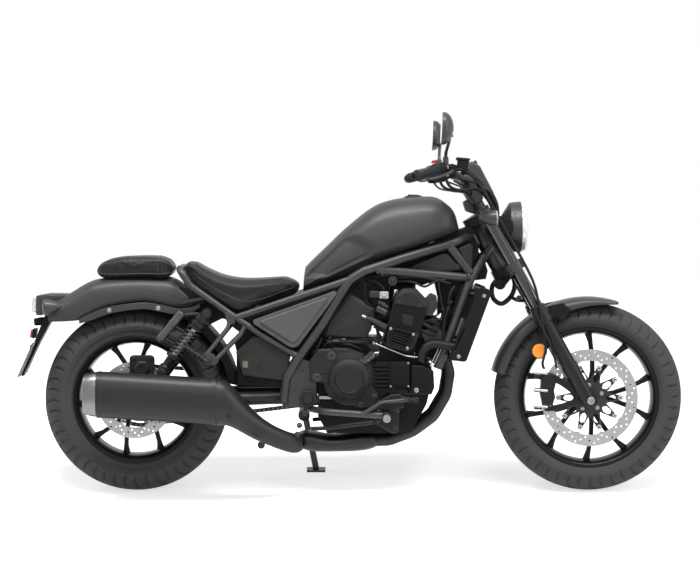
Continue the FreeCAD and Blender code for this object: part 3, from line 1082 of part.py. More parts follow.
core = padded("radiator_core", "XZ", frame_outline(CORE_SHARES), "-radiator_half_width", "radiator_half_width")
shroud = padded("radiator_shroud", "XZ", frame_outline(RADIATOR_SHARES),
                "-radiator_half_width - shroud_depth", "-radiator_half_width - fit_gap")
pair_node("radiator_shrouds", shroud, BIKE)
document.recompute()
mounts = []
for share in ((0.93, 0.62, 0.6), (0.84, 0.8, 0.33)):
    spot = in_box(FRAME_SPACE, share)
    mounts += both_sides(rod(spot, spot + Vector(value("frame_tube_radius * 3.2"), 0, 0), value("stalk_radius")))
FAN_SHARES = ((1.0, 0.62), (0.94, 0.45), (0.85, 0.485), (0.91, 0.655))
fan = padded("radiator_fan", "XZ", frame_outline(FAN_SHARES), "-fan_half_width", "fan_half_width")
document.recompute()
RADIATOR = fused([core.Shape, fan.Shape] + mounts).cut(MAIN_FRAME)
node("radiator", feature("radiator", biggest(RADIATOR)))
hose_points = [point(*place) for place in (
    (f"{ENGINE_REAR} + engine_length * 0.88", RIGHT_LOW + " * 0.8", "engine_bottom + engine_height * 0.4"),
    (f"{ENGINE_REAR} + engine_length * 0.9", RIGHT_LOW + " * 0.8", "engine_bottom + engine_height * 0.64"),
    (f"{ENGINE_REAR} + engine_length * 1.2", RIGHT_LOW + " * 0.8", "engine_bottom + engine_height * 0.6"))]
hose = tube(hose_points, value("coolant_radius"), value("frame_bend"))
hose = biggest(hose.cut(front_cover.Shape).cut(core.Shape).cut(MAIN_FRAME).cut(crankcase.Shape))
THERMOSTAT_SHARES = ((0.78, 0.72), (0.93, 0.675))
thermostat_ends = [point(x, "-engine_half_width + thermostat_radius * 1.5", z)
                   for x, z in engine_outline(THERMOSTAT_SHARES)]
thermostat = rod(*thermostat_ends, value("thermostat_radius")).cut(CYLINDERS).cut(RADIATOR)
node("coolant_hose", feature("coolant_hose", Part.makeCompound([hose, biggest(thermostat)])))

# Exhaust: two pipes to a box below the engine, then a cover and a muffler on the right
PIPE_SHARES = ((0.93, 0.78), (1.03, 0.76), (1.09, 0.56), (1.14, 0.41), (1.11, 0.26), (1.0, 0.11),
               (0.82, 0.005), (0.62, -0.055), (0.45, -0.06))


def engine_point(share, side):
    along, up = engine_outline([share])[0]
    return point(along, side, up)


pipe = tube([engine_point(share, "-pipe_half_spread") for share in PIPE_SHARES],
            value("pipe_radius"), value("frame_bend"))
COLLECTOR_BOX = ("(pivot_ahead - engine_gap)", "(pivot_ahead - engine_gap + engine_length * 0.68)",
                 "(engine_bottom - fit_gap - collector_height)", "(engine_bottom - fit_gap)", "0",
                 "collector_half_width")
collector_form = lofted("collector_form", COLLECTOR_BOX, (
    (0, 0.12, 0.9, 0.9), (0.08, 0, 1, 1), (0.86, 0, 1, 1), (0.95, 0.1, 0.95, 0.9), (1, 0.22, 0.8, 0.75)), 0.7)
document.recompute()
collector = collector_form.Shape
EXHAUST = fused(both_sides(pipe) + [collector]).cut(crankcase.Shape).cut(cylinder_head.Shape).cut(block.Shape)
EXHAUST = biggest(EXHAUST.cut(head_cover.Shape))
node("exhaust_pipes", feature("exhaust_pipes", EXHAUST))
COVER_BOX = ("(muffler_length + muffler_cap_length - muffler_rear + fit_gap)", "(pivot_ahead - engine_gap * 0.6)",
             "(engine_bottom - collector_height)", "(muffler_bottom + muffler_height)", "-muffler_side",
             "muffler_half_width")
COVER_SHARES = ((0, 0.4, 1, 1, 0), (0.1, 0.4, 0.97, 0.97, 0.02), (0.35, 0.26, 0.68, 0.72, 0.12),
                (0.6, 0.12, 0.42, 0.55, 0.24), (0.8, 0.03, 0.3, 0.45, 0.34), (1, 0.03, 0.24, 0.4, 0.56))
cover = lofted("exhaust_cover_form", COVER_BOX, COVER_SHARES, 0.8)
document.recompute()
node("exhaust_cover", feature("exhaust_cover", biggest(cover.Shape.cut(EXHAUST).cut(MAIN_FRAME))))
MUFFLER_BOX = ("(muffler_cap_length - muffler_rear)", "(muffler_length + muffler_cap_length - muffler_rear)",
               "muffler_bottom", "(muffler_bottom + muffler_height)", "-muffler_side", "muffler_half_width")
node("muffler", lofted("muffler", MUFFLER_BOX, ((0, 0.15, 1.15, 1), (0.5, 0.07, 1.08, 1), (1, 0, 1, 1)), 0.8))
CAP_BOX = ("-muffler_rear", "(muffler_cap_length - muffler_rear - fit_gap)", "muffler_bottom",
           "(muffler_bottom + muffler_height)", "-muffler_side", "muffler_half_width")
node("muffler_cap", lofted("muffler_cap", CAP_BOX, ((0, 0.27, 1.07, 0.8), (0.5, 0.18, 1.13, 0.94),
                                                    (1, 0.15, 1.15, 1)), 0.8))
document.recompute()

# Side covers
SIDE_COVER_SHARES = ((-0.322, 0.447), (0.155, 0.612), (-0.089, 0.295))
side_cover = padded("side_cover", "XZ", frame_outline(SIDE_COVER_SHARES), "-frame_half_width - loop_tube_radius * 2",
                    "-frame_half_width - loop_tube_radius - fit_gap")
PANEL_SHARES = {"rear_frame_panel": ((0.594, 0.757), (0.79, 0.832), (0.824, 0.832), (0.91, 0.742), (0.739, 0.728)),
                "front_frame_panel": ((0.89, 0.866), (0.962, 0.892), (0.976, 0.878), (0.97, 0.76), (0.955, 0.735))}
panels = []
for name, shares in PANEL_SHARES.items():
    panel = padded(name, "XZ", frame_outline(shares), "-panel_side - panel_depth", "-panel_side")
    document.recompute()
    panels += both_sides(biggest(panel.Shape.cut(MAIN_FRAME).cut(TANK)))
document.recompute()
COVER_LUG_SHARES = ((-0.194, 0.99, 0.5438), (-0.187, 1.1, 0.471))
cover_lug = rod(*frame_route(COVER_LUG_SHARES), value("stalk_radius * 0.6"))
cover = biggest(fused([side_cover.Shape, cover_lug]).cut(REAR_FRAME))
node("side_covers", feature("side_covers", Part.makeCompound(both_sides(cover) + panels)))

# Foot controls, pegs and side stand
PEG_X = "(pivot_ahead + peg_ahead)"
PEG_Z = "(pivot_height - peg_drop)"
PEG_IN = "(peg_reach - peg_length)"
bracket = tube([point("pivot_ahead * 1.015", "-frame_half_width * 0.96", "pivot_height - stand_drop * 0.5"),
                point("pivot_ahead * 1.1", f"-({PEG_IN}) * 0.86", f"{PEG_Z} + bracket_radius"),
                point(PEG_X, f"-({PEG_IN}) * 0.96", PEG_Z)], value("bracket_radius"), value("frame_bend"))
peg = rod(point(PEG_X, "-peg_reach", PEG_Z), point(PEG_X, f"-{PEG_IN}", PEG_Z), value("peg_radius"))
peg_lug = rod(point(PEG_X, f"-{PEG_IN} + fit_gap", PEG_Z), point(PEG_X, f"-({PEG_IN}) * 0.9", PEG_Z),
              value("peg_radius * 0.85"))
pedal = tube([point(f"{PEG_X} - peg_length", f"-({PEG_IN}) * 0.96", PEG_Z),
              point(f"{PEG_X} - peg_radius", f"-({PEG_IN}) * 0.98", f"{PEG_Z} + peg_drop * 0.9"),
              point(f"{PEG_X} + peg_length * 0.75", f"-({PEG_IN}) * 0.98", f"{PEG_Z} + peg_drop * 1.1")],
             value("pedal_thickness / 2"), value("frame_bend"))
toe = Part.makeBox(value("peg_length * 0.5"), value("pedal_width"), value("pedal_thickness"),
                   point(f"{PEG_X} + peg_length * 0.7", f"-({PEG_IN}) * 0.98 - pedal_width / 2",
                         f"{PEG_Z} + peg_drop * 1.1 - pedal_thickness / 2"))
foot_control = biggest(fused([bracket, peg_lug, pedal, toe]).cut(MAIN_FRAME).cut(peg))
node("rider_pegs", feature("rider_pegs", Part.makeCompound(both_sides(peg))))

PASSENGER = in_box(FRAME_SPACE, (-0.5766, 1.32, 0.233))
passenger_parts = [rod(in_box(FRAME_SPACE, (share, 0.98, up)), PASSENGER, value("stalk_radius"))
                   for share, up in ((-0.469, 0.492), (-0.38, 0.436))]
passenger_parts.append(Part.makeSphere(value("peg_radius"), PASSENGER))
passenger_parts.append(rod(PASSENGER, PASSENGER + Vector(-value("peg_length * 0.85"), 0, value("peg_length * 0.6")),
                           value("peg_radius * 0.8")))
passenger = biggest(fused(passenger_parts).cut(REAR_FRAME))
node("passenger_pegs", feature("passenger_pegs", Part.makeCompound(both_sides(passenger))))

STAND_PIVOT = ("(pivot_ahead - stand_behind)", "stand_side", "(pivot_height - stand_drop)")
stand_pivot = point(*STAND_PIVOT)
world_of_bike = BIKE.inverse()
foot_place = point("pivot_ahead - stand_behind + foot_ahead", "foot_side", "foot_side * tan(lean)")
on_ground = BIKE.multVec(foot_place)
on_ground.z = 0
sole = Part.makeBox(value("foot_length"), value("foot_width"), value("foot_thickness"),
                    Vector(on_ground.x - value("foot_length / 2"), on_ground.y - value("foot_width / 2"), 0))
sole.Placement = world_of_bike
ankle = world_of_bike.multVec(Vector(on_ground.x, on_ground.y, value("foot_thickness")))
leg = rod(stand_pivot, ankle, value("stand_radius"))
hinge_way = Vector(0, math.cos(math.radians(value("hinge_angle"))), math.sin(math.radians(value("hinge_angle"))))
hinge_half = value("stand_radius * 1.3")
eye = rod(stand_pivot - hinge_way * hinge_half, stand_pivot + hinge_way * hinge_half, value("stand_radius * 1.6"))
pin = rod(stand_pivot - hinge_way * (hinge_half * 3), stand_pivot + hinge_way * (hinge_half + value("overrun")),
          value("stand_radius * 0.6"))
pin_room = rod(stand_pivot - hinge_way * (hinge_half * 3), stand_pivot + hinge_way * (hinge_half * 2),
               value("stand_radius * 0.6 + fit_gap"))
stand = fused([leg, eye]).cut(pin_room)
stand = fused([stand, sole.cut(leg)])
node("side_stand", feature("side_stand", stand))
hinge_lug = rod(stand_pivot - hinge_way * (hinge_half * 3), stand_pivot - hinge_way * (hinge_half + value("overrun")),
                value("stand_radius * 1.8"))
lug_arm = rod(stand_pivot - hinge_way * (hinge_half * 2.6), point("pivot_ahead", "frame_half_width * 0.94",
                                                                  "pivot_height"), value("stalk_radius"))
stand_lug = biggest(fused([hinge_lug, lug_arm, pin]).cut(swingarm).cut(crankcase_shape))
node("main_frame", feature("main_frame", fused([MAIN_FRAME, stand_lug])))
node("foot_controls", feature("foot_controls", Part.makeCompound(
    [foot_control, biggest(flipped(foot_control).cut(stand_lug))])))

# Tail: lamp, signals, bracket and blank plate

def tail_outline(shares):
    return [(f"rear_tyre_radius * {along}", f"rear_tyre_radius * {up}") for along, up in shares]


TAIL_LAMP_SHARES = ((-1.06, 1.91), (-1.065, 2.1), (-0.9, 2.135), (-0.7, 2.14), (-0.88, 1.9))
TAIL_LENS_SHARES = ((-1.13, 1.95), (-1.13, 2.08), (-1.068, 2.1), (-1.063, 1.92))
BRACKET_SHARES = ((-0.985, 1.93), (-0.9, 1.9), (-1.06, 1.6), (-1.235, 1.24), (-1.25, 1.247), (-1.11, 1.62))
tail = padded("tail_lamp_form", "XZ", tail_outline(TAIL_LAMP_SHARES), "-tail_half_width", "tail_half_width")
plate_arm = padded("bracket_form", "XZ", tail_outline(BRACKET_SHARES), "-tail_half_width * 0.5",
                   "tail_half_width * 0.5")
node("tail_lamp_lens", padded("tail_lamp_lens", "XZ", tail_outline(TAIL_LENS_SHARES),
                              "-tail_half_width * 0.9", "tail_half_width * 0.9"))
document.recompute()
TAIL = biggest(tail.Shape.cut(REAR_FENDER))
node("tail_lamp", feature("tail_lamp", TAIL))
node("plate_bracket", feature("plate_bracket", biggest(plate_arm.Shape.cut(REAR_FENDER).cut(TAIL))))
plate_foot = point("-rear_tyre_radius * 1.25", "0", "rear_tyre_radius * 1.247")
number_plate = Part.makeBox(value("number_plate_thickness"), value("plate_width"), value("plate_height"),
                            Vector(-value("number_plate_thickness + fit_gap * 2"), -value("plate_width / 2"), 0))
number_plate.Placement = Placement(plate_foot, Rotation(Vector(0, 1, 0), value("plate_angle")))
node("number_plate", feature("number_plate", number_plate.cut(plate_arm.Shape)))
rear_signal = turn_signal(point("-rear_tyre_radius * 0.86", "-rear_signal_place", "rear_tyre_radius * 1.98"),
                          -1, "rear_fender_half_width * 0.7")
rear_signal = biggest(rear_signal.cut(REAR_FENDER))
node("rear_turn_signals", feature("rear_turn_signals", Part.makeCompound(both_sides(rear_signal))))

# Check every piece, then write it
document.recompute()
for item in document.Objects:
    if "Invalid" in item.State or "Error" in item.State:
        raise RuntimeError(f"{item.Name} did not build")
for item in NODES:
    if item.Shape.isNull() or not item.Shape.isValid():
        raise RuntimeError(f"{item.Label} has no valid shape")
os.makedirs("parts", exist_ok=True)
for item in NODES:
    item.Shape.exportStep(f"parts/{item.Label}.step")
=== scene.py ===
"""Looks of the parked cruiser motorcycle, dressed over its CAD frame.

Lengths are millimetres in one place's own frame: the upright motorcycle (X forward from the rear
axle, Y to the rider's left, Z up), the fork, or a wheel's hub. They turn to metres in Form.solid().
"""
import logging
import math
from collections.abc import Callable, Iterable, Sequence
from dataclasses import dataclass
from enum import Enum

import bmesh
import bpy
from mathutils import Matrix, Vector


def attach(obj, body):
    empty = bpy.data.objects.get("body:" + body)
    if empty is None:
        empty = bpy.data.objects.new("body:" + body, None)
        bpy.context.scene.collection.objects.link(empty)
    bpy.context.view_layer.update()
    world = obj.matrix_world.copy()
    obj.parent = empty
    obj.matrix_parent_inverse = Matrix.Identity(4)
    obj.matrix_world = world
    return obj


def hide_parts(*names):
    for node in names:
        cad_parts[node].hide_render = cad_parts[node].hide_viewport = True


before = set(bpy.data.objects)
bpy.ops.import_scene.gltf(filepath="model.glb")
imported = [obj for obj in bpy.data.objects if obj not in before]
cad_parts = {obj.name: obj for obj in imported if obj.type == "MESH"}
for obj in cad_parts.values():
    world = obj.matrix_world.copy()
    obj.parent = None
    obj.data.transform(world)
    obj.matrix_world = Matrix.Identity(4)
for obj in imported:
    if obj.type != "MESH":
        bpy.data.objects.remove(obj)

LOG = logging.getLogger("cruiser")

Spot = Sequence[float]

SIDES = (-1, 1)
MILLIMETRE = 0.001
PARKED_LEAN, RAKE = 9, 29
WHEELBASE, FORK_FOOT_ALONG = 1520, 1509.71
FRONT_RADIUS, REAR_RADIUS = 316, 310
NEARLY_STRAIGHT = 1.55
UPRIGHT = Matrix(((1, 0, 0, 0), (0, 0, -1, 0), (0, 1, 0, 0), (0, 0, 0, 1)))

BIKE = (Matrix.Translation((-0.713, -0.1809137, 0.0011859))
        @ Matrix.Rotation(math.radians(-PARKED_LEAN), 4, "X") @ Matrix.Scale(MILLIMETRE, 4))
FORK = (BIKE @ Matrix.Translation((FORK_FOOT_ALONG, 0, FRONT_RADIUS))
        @ Matrix.Rotation(math.radians(-RAKE), 4, "Y"))
FRONT_HUB = BIKE @ Matrix.Translation((WHEELBASE, 0, FRONT_RADIUS))
REAR_HUB = BIKE @ Matrix.Translation((0, 0, REAR_RADIUS))


class Body(Enum):
    """The moving bodies of the frame."""

    CHASSIS = "chassis"
    FORK = "fork"
    FRONT_WHEEL = "front_wheel"
    REAR_WHEEL = "rear_wheel"
    STAND = "side_stand"


class Surface(Enum):
    """The kinds of surface that a finish can have."""

    PAINT = "paint"
    CAST = "cast"
    MOULDED = "moulded"
    RUBBER = "rubber"
    HIDE = "hide"
    TURNED = "turned"
    CLEAR = "clear"
    MIRROR = "mirror"
    CORE = "core"


@dataclass(frozen=True)
class Signal:
    """One socket of a material's graph; arithmetic on it adds Math nodes."""

    graph: "Graph"
    socket: bpy.types.NodeSocket

    def math(self, operation: str, first: "Signal | float", second: "Signal | float" = 0.0) -> "Signal":
        """Add one Math node.

        Args:
            operation: Blender's name of the operation.
            first: The first value.
            second: The second value.

        Returns:
            The node's result.
        """
        return self.graph.signal("ShaderNodeMath", {"operation": operation}, {0: first, 1: second})

    def __add__(self, other: "Signal | float") -> "Signal":
        """Return the sum."""
        return self.math("ADD", self, other)

    def __radd__(self, other: float) -> "Signal":
        """Return the sum, with the number first."""
        return self.math("ADD", other, self)

    def __sub__(self, other: "Signal | float") -> "Signal":
        """Return the difference."""
        return self.math("SUBTRACT", self, other)

    def __rsub__(self, other: float) -> "Signal":
        """Return the number less this value."""
        return self.math("SUBTRACT", other, self)

    def __mul__(self, other: "Signal | float") -> "Signal":
        """Return the product."""
        return self.math("MULTIPLY", self, other)

    def __rmul__(self, other: float) -> "Signal":
        """Return the product, with the number first."""
        return self.math("MULTIPLY", other, self)


class Graph:
    """The node graph of one material."""

    def __init__(self, owner: bpy.types.Material | bpy.types.World) -> None:
        """Start an empty graph.

        Args:
            owner: The material or world that the graph belongs to.
        """
        owner.use_nodes = True
        self.tree = owner.node_tree
        self.tree.nodes.clear()
        self.place = Signal(self, self.node("ShaderNodeTexCoord").outputs["Object"])

    def node(self, kind: str, settings: dict | None = None, inputs: dict | None = None) -> bpy.types.Node:
        """Add a node.

        Args:
            kind: Blender's type name of the node.
            settings: Its own settings, set before its sockets.
            inputs: Values or signals, by socket name or number.

        Returns:
            The new node.
        """
        node = self.tree.nodes.new(kind)
        for name, setting in (settings or {}).items():
            setattr(node, name, setting)
        for key, given in (inputs or {}).items():
            if isinstance(given, Signal):
                self.tree.links.new(given.socket, node.inputs[key])
            else:
                node.inputs[key].default_value = given
        return node

    def signal(self, kind: str, settings: dict | None = None, inputs: dict | None = None,
               output: int | str = 0) -> Signal:
        """Add a node and return one of its outputs.

        Args:
            kind: Blender's type name of the node.
            settings: Its own settings.
            inputs: Values or signals for its sockets.
            output: The output's number or name.

        Returns:
            That output.
        """
        return Signal(self, self.node(kind, settings, inputs).outputs[output])

    def noise(self, scale: float, detail: float = 3.0, stretch: Spot = (1, 1, 1)) -> Signal:
        """Add noise over the rest place of the piece.

        Args:
            scale: Cells per metre.
            detail: Octaves of finer noise.
            stretch: Factors along the three axes.

        Returns:
            Values about 0.5.
        """
        spot = self.signal("ShaderNodeVectorMath", {"operation": "MULTIPLY"}, {0: self.place, 1: stretch})
        return self.signal("ShaderNodeTexNoise", {}, {"Vector": spot, "Scale": scale, "Detail": detail})

    def blend(self, amount: Signal, first: Spot, second: Spot) -> Signal:
        """Mix two colours.

        Args:
            amount: The share of the second colour.
            first: The colour at 0.
            second: The colour at 1.

        Returns:
            The mixed colour.
        """
        return self.signal("ShaderNodeMix", {"data_type": "RGBA"},
                           {"Factor": amount, 6: (*first, 1), 7: (*second, 1)}, 2)

    def bump(self, height: Signal, strength: float, reach: float = 0.0006) -> Signal:
        """Turn a height into a bumped normal.

        Args:
            height: The height, from 0 to 1.
            strength: How much of it shows.
            reach: The height of 1 in metres.

        Returns:
            The normal.
        """
        return self.signal("ShaderNodeBump", {}, {"Height": height, "Strength": strength, "Distance": reach})

    def looked_at(self) -> Signal:
        """Tell the rays that show a surface from those that light others."""
        path = self.node("ShaderNodeLightPath")
        first, *others = [Signal(self, path.outputs[f"Is {kind} Ray"])
                          for kind in ("Camera", "Glossy", "Transmission")]
        for other in others:
            first = first.math("MAXIMUM", first, other)
        return first

    def end(self, inputs: dict) -> None:
        """Close the graph with the surface shader.

        Args:
            inputs: Values or signals of the shader's sockets.
        """
        shader = self.signal("ShaderNodeBsdfPrincipled", {}, inputs)
        self.node("ShaderNodeOutputMaterial", {}, {"Surface": shader})


@dataclass(frozen=True)
class Finish:
    """One paint, metal, rubber, plastic or hide of the motorcycle."""

    name: str
    slot: str
    colour: tuple[float, float, float]
    roughness: float
    surface: Surface = Surface.MOULDED
    metallic: float = 0.0
    coat: float = 0.0
    grain: float = 420.0
    depth: float = 0.12
    shine: float = 0.5

    def material(self) -> bpy.types.Material:
        """Return this finish's material, made on its first use."""
        made = bpy.data.materials.get(self.name)
        if made:
            return made
        made = bpy.data.materials.new(self.name)
        graph = Graph(made)
        if self.surface is Surface.CLEAR:
            self.clear(graph)
        elif self.surface is Surface.HIDE:
            self.hide(graph)
        elif self.surface is Surface.TURNED:
            self.turned(graph)
        else:
            self.plain(graph)
        return made

    def tinted(self, factor: float) -> tuple[float, float, float]:
        """Return the colour made lighter or darker by a factor."""
        return tuple(min(1.0, part * factor) for part in self.colour)

    def plain(self, graph: Graph) -> None:
        """Make paint, cast metal, moulded plastic or rubber with a fine grain.

        Args:
            graph: The graph to fill.
        """
        fine = graph.noise(self.grain, 4)
        broad = graph.noise(7.0, 2)
        shade = graph.blend(broad * 0.6 + fine * 0.4, self.tinted(0.72), self.tinted(1.3))
        rough = self.roughness + (broad - 0.5) * 0.12 + (fine - 0.5) * 0.1
        graph.end({"Base Color": shade, "Roughness": rough, "Metallic": self.metallic,
                   "Coat Weight": self.coat, "Coat Roughness": 0.12, "Specular IOR Level": self.shine,
                   "Normal": graph.bump(fine, self.depth)})

    def hide(self, graph: Graph) -> None:
        """Make grained seat cover.

        Args:
            graph: The graph to fill.
        """
        cells = graph.signal("ShaderNodeTexVoronoi", {"feature": "DISTANCE_TO_EDGE"},
                             {"Vector": graph.place, "Scale": self.grain})
        pebble = graph.signal("ShaderNodeMapRange", {}, {"Value": cells, "From Max": 0.16})
        broad = graph.noise(9.0, 3)
        shade = graph.blend(pebble * 0.45 + broad * 0.55, self.tinted(0.6), self.tinted(1.35))
        graph.end({"Base Color": shade, "Roughness": self.roughness + (broad - 0.5) * 0.16,
                   "Sheen Weight": 0.05, "Sheen Roughness": 0.5, "Specular IOR Level": self.shine,
                   "Normal": graph.bump(pebble * 0.8 + broad * 0.6, self.depth)})

    def turned(self, graph: Graph) -> None:
        """Make machined or brushed bare metal.

        Args:
            graph: The graph to fill.
        """
        streak = graph.noise(self.grain, 5, (0.12, 1.0, 1.0))
        broad = graph.noise(11.0, 2)
        shade = graph.blend(streak * 0.7 + broad * 0.3, self.tinted(0.75), self.tinted(1.2))
        graph.end({"Base Color": shade, "Metallic": self.metallic,
                   "Roughness": self.roughness + (streak - 0.5) * 0.22,
                   "Normal": graph.bump(streak, self.depth)})

    def clear(self, graph: Graph) -> None:
        """Make a lens that lets light through.

        Args:
            graph: The graph to fill.
        """
        ripple = graph.noise(self.grain, 1)
        graph.end({"Base Color": graph.blend(ripple, self.tinted(0.9), self.colour), "IOR": 1.45,
                   "Roughness": self.roughness + (ripple - 0.5) * 0.02, "Transmission Weight": 1.0,
                   "Normal": graph.bump(ripple, self.depth)})


FRAME_PAINT = Finish("satin_black_paint", "satin_black_paint", (0.006, 0.006, 0.0065), 0.25, Surface.PAINT,
                     coat=0.05, depth=0.04, shine=0.14)
TANK_PAINT = Finish("tank_graphite_paint", "tank_paint", (0.032, 0.032, 0.0325), 0.46, Surface.PAINT, 0.1,
                    0.04, 900.0, 0.02, 0.32)
ENGINE_PAINT = Finish("engine_cast_black", "engine_black", (0.0055, 0.0055, 0.006), 0.46, Surface.CAST, 0.05,
                      grain=520.0, depth=0.3, shine=0.13)
COVER_PAINT = Finish("engine_cover_graphite", "engine_black", (0.02, 0.02, 0.0205), 0.42, Surface.CAST, 0.15,
                     grain=620.0, depth=0.14, shine=0.16)
PLASTIC = Finish("moulded_black_plastic", "trim_plastic", (0.007, 0.007, 0.0075), 0.46, grain=700.0,
                 depth=0.15, shine=0.13)
LAMP_SHELL = Finish("lamp_shell_satin", "trim_plastic", (0.022, 0.022, 0.0225), 0.42, grain=700.0,
                    depth=0.08, shine=0.5)
COVER_PLASTIC = Finish("side_cover_satin", "trim_plastic", (0.02, 0.02, 0.0205), 0.44, grain=700.0,
                       depth=0.1, shine=0.2)
PALE_PLASTIC = Finish("pale_plug_plastic", "trim_plastic", (0.36, 0.36, 0.31), 0.5, grain=700.0, depth=0.1)
PANEL_GREY = Finish("side_panel_grey", "trim_plastic", (0.07, 0.07, 0.071), 0.4, grain=700.0, depth=0.08,
                    shine=0.35)
SMOKE = Finish("smoked_lens", "clear_lens", (0.05, 0.045, 0.04), 0.12, Surface.MOULDED, 0.0, 0.5, 300.0, 0.2)
POT_METAL = Finish("reservoir_graphite", "fork_finish", (0.06, 0.06, 0.061), 0.34, Surface.CAST, 0.4,
                   depth=0.06, shine=0.5)
WINDOW = Finish("grey_green_window", "trim_plastic", (0.12, 0.14, 0.09), 0.4, grain=700.0, depth=0.08)
SEAT_HIDE = Finish("grained_seat_cover", "seat_cover", (0.01, 0.01, 0.0105), 0.42, Surface.HIDE, grain=330.0,
                   depth=0.3, shine=0.2)
PIPING = Finish("seat_piping", "seat_cover", (0.016, 0.016, 0.0165), 0.4, Surface.RUBBER, depth=0.08,
                shine=0.5)
TYRE = Finish("tyre_rubber", "tyre_rubber", (0.008, 0.008, 0.0085), 0.5, Surface.RUBBER, grain=520.0,
              depth=0.2, shine=0.12)
RUBBER = Finish("soft_black_rubber", "soft_rubber", (0.008, 0.008, 0.008), 0.52, Surface.RUBBER, grain=520.0,
                depth=0.18, shine=0.22)
WHEEL_PAINT = Finish("wheel_satin_black", "wheel_paint", (0.006, 0.006, 0.0065), 0.32, Surface.PAINT, 0.1,
                     0.1, depth=0.06, shine=0.12)
DISC_STEEL = Finish("brake_disc_steel", "disc_steel", (0.38, 0.38, 0.38), 0.36, Surface.TURNED, 1.0,
                    grain=900.0, depth=0.06)
BOLT_STEEL = Finish("bolt_steel", "disc_steel", (0.34, 0.34, 0.34), 0.3, Surface.TURNED, 1.0, depth=0.04)
DARK_STEEL = Finish("blackened_steel", "disc_steel", (0.03, 0.03, 0.031), 0.36, Surface.CAST, 0.6, depth=0.1)
FORK_CAST = Finish("fork_satin_graphite", "fork_finish", (0.009, 0.009, 0.0095), 0.38, Surface.CAST, 0.1,
                   depth=0.1, shine=0.25)
FORK_TUBE = Finish("fork_tube_blue_black", "fork_finish", (0.006, 0.006, 0.009), 0.1, Surface.PAINT, 0.3,
                   0.8, depth=0.005, shine=0.7)
EXHAUST = Finish("exhaust_heat_black", "exhaust_finish", (0.012, 0.012, 0.0125), 0.4, Surface.CAST, 0.1,
                 grain=800.0, depth=0.08, shine=0.36)
END_CAP = Finish("end_cap_brushed", "end_cap_metal", (0.2, 0.2, 0.2), 0.3, Surface.TURNED, 1.0, grain=260.0,
                 depth=0.012)
CORE = Finish("radiator_core_black", "radiator_core", (0.012, 0.012, 0.012), 0.5, Surface.CORE, 0.3,
              depth=0.2, shine=0.4)
AMBER = Finish("amber_reflector", "amber_reflector", (0.85, 0.2, 0.003), 0.22, Surface.MOULDED, 0.0, 0.4,
               900.0, 0.5)
RED = Finish("red_lens", "red_lens", (0.45, 0.006, 0.006), 0.2, Surface.MOULDED, 0.0, 0.5, 900.0, 0.3)
GLASS = Finish("clear_lens", "clear_lens", (0.97, 0.98, 1.0), 0.03, Surface.CLEAR, grain=60.0, depth=0.05)
PALE_LENS = Finish("pale_lens", "clear_lens", (0.62, 0.6, 0.6), 0.14, Surface.MOULDED, 0.0, 0.6, 300.0, 0.2)
CHROME = Finish("lamp_reflector", "clear_lens", (0.86, 0.87, 0.89), 0.16, Surface.TURNED, 0.55, depth=0.02)
MIRROR = Finish("mirror_glass", "clear_lens", (0.75, 0.77, 0.8), 0.03, Surface.MIRROR, 1.0, depth=0.0)
DIAL = Finish("dial_glass", "clear_lens", (0.004, 0.004, 0.005), 0.1, Surface.MOULDED, 0.0, 1.0, depth=0.01)
BLANK = Finish("blank_plate", "plate_blank", (0.02, 0.02, 0.021), 0.45, Surface.PAINT, depth=0.1)


def corner(before: Vector, here: Vector, after: Vector, radius: float, reach: float, steps: int) -> list[
        Vector]:
    """Round one corner.

    Args:
        before: The point ahead of the corner.
        here: The corner.
        after: The point that follows it.
        radius: Its radius.
        reach: The greatest share of a side that it takes.
        steps: Its runs.

    Returns:
        Its points, or the corner alone where it is sharp or straight.
    """
    back, ahead = before - here, after - here
    half_angle = back.angle(ahead) / 2
    if radius <= 0 or half_angle > NEARLY_STRAIGHT:
        return [here]
    cut = min(radius / math.tan(half_angle), back.length * reach, ahead.length * reach)
    start, end = here + back.normalized() * cut, here + ahead.normalized() * cut
    shares = [step / steps for step in range(steps + 1)]
    return [start * (1 - share) ** 2 + here * 2 * share * (1 - share) + end * share ** 2 for share in shares]


def rounded(corners: Sequence[Spot], radius: float, steps: int = 5) -> list[tuple[float, float]]:
    """Round the corners of a closed outline.

    Args:
        corners: Its corners.
        radius: Their radius.
        steps: Runs in each rounded corner.

    Returns:
        The rounded outline.
    """
    spots = [Vector(spot) for spot in corners]
    return [tuple(point) for number, here in enumerate(spots)
            for point in corner(spots[number - 1], here, spots[(number + 1) % len(spots)], radius, 0.45,
                                steps)]


def flowing(points: Sequence[Spot], steps: int = 6, closed: bool = False) -> list[Vector]:
    """Run a smooth curve through points.

    Args:
        points: The points it passes.
        steps: Runs between two of them.
        closed: Whether it comes back to its start.

    Returns:
        The points of the curve.
    """
    spots = [Vector(spot) for spot in points]
    count = len(spots)
    curve: list[Vector] = []
    for number in range(count if closed else count - 1):
        if closed:
            a, b, c, d = (spots[(number + shift) % count] for shift in (-1, 0, 1, 2))
        else:
            b, c = spots[number], spots[number + 1]
            a = spots[number - 1] if number else b * 2 - c
            d = spots[number + 2] if number + 2 < count else c * 2 - b
        for step in range(steps):
            t = step / steps
            curve.append(0.5 * ((2 * b) + (c - a) * t + (2 * a - 5 * b + 4 * c - d) * t * t
                                + (3 * b - a - 3 * c + d) * t ** 3))
    if not closed:
        curve.append(spots[-1])
    return curve


def bent(route: Sequence[Spot], radius: float, steps: int = 6) -> list[Vector]:
    """Round the corners of an open route in space.

    Args:
        route: Its corners.
        radius: The radius of its bends.
        steps: Runs in each bend.

    Returns:
        The rounded route.
    """
    spots = [Vector(spot) for spot in route]
    bends = [point for trio in zip(spots, spots[1:], spots[2:])
             for point in corner(*trio, radius, 0.48, steps)]
    return [spots[0], *bends, spots[-1]]


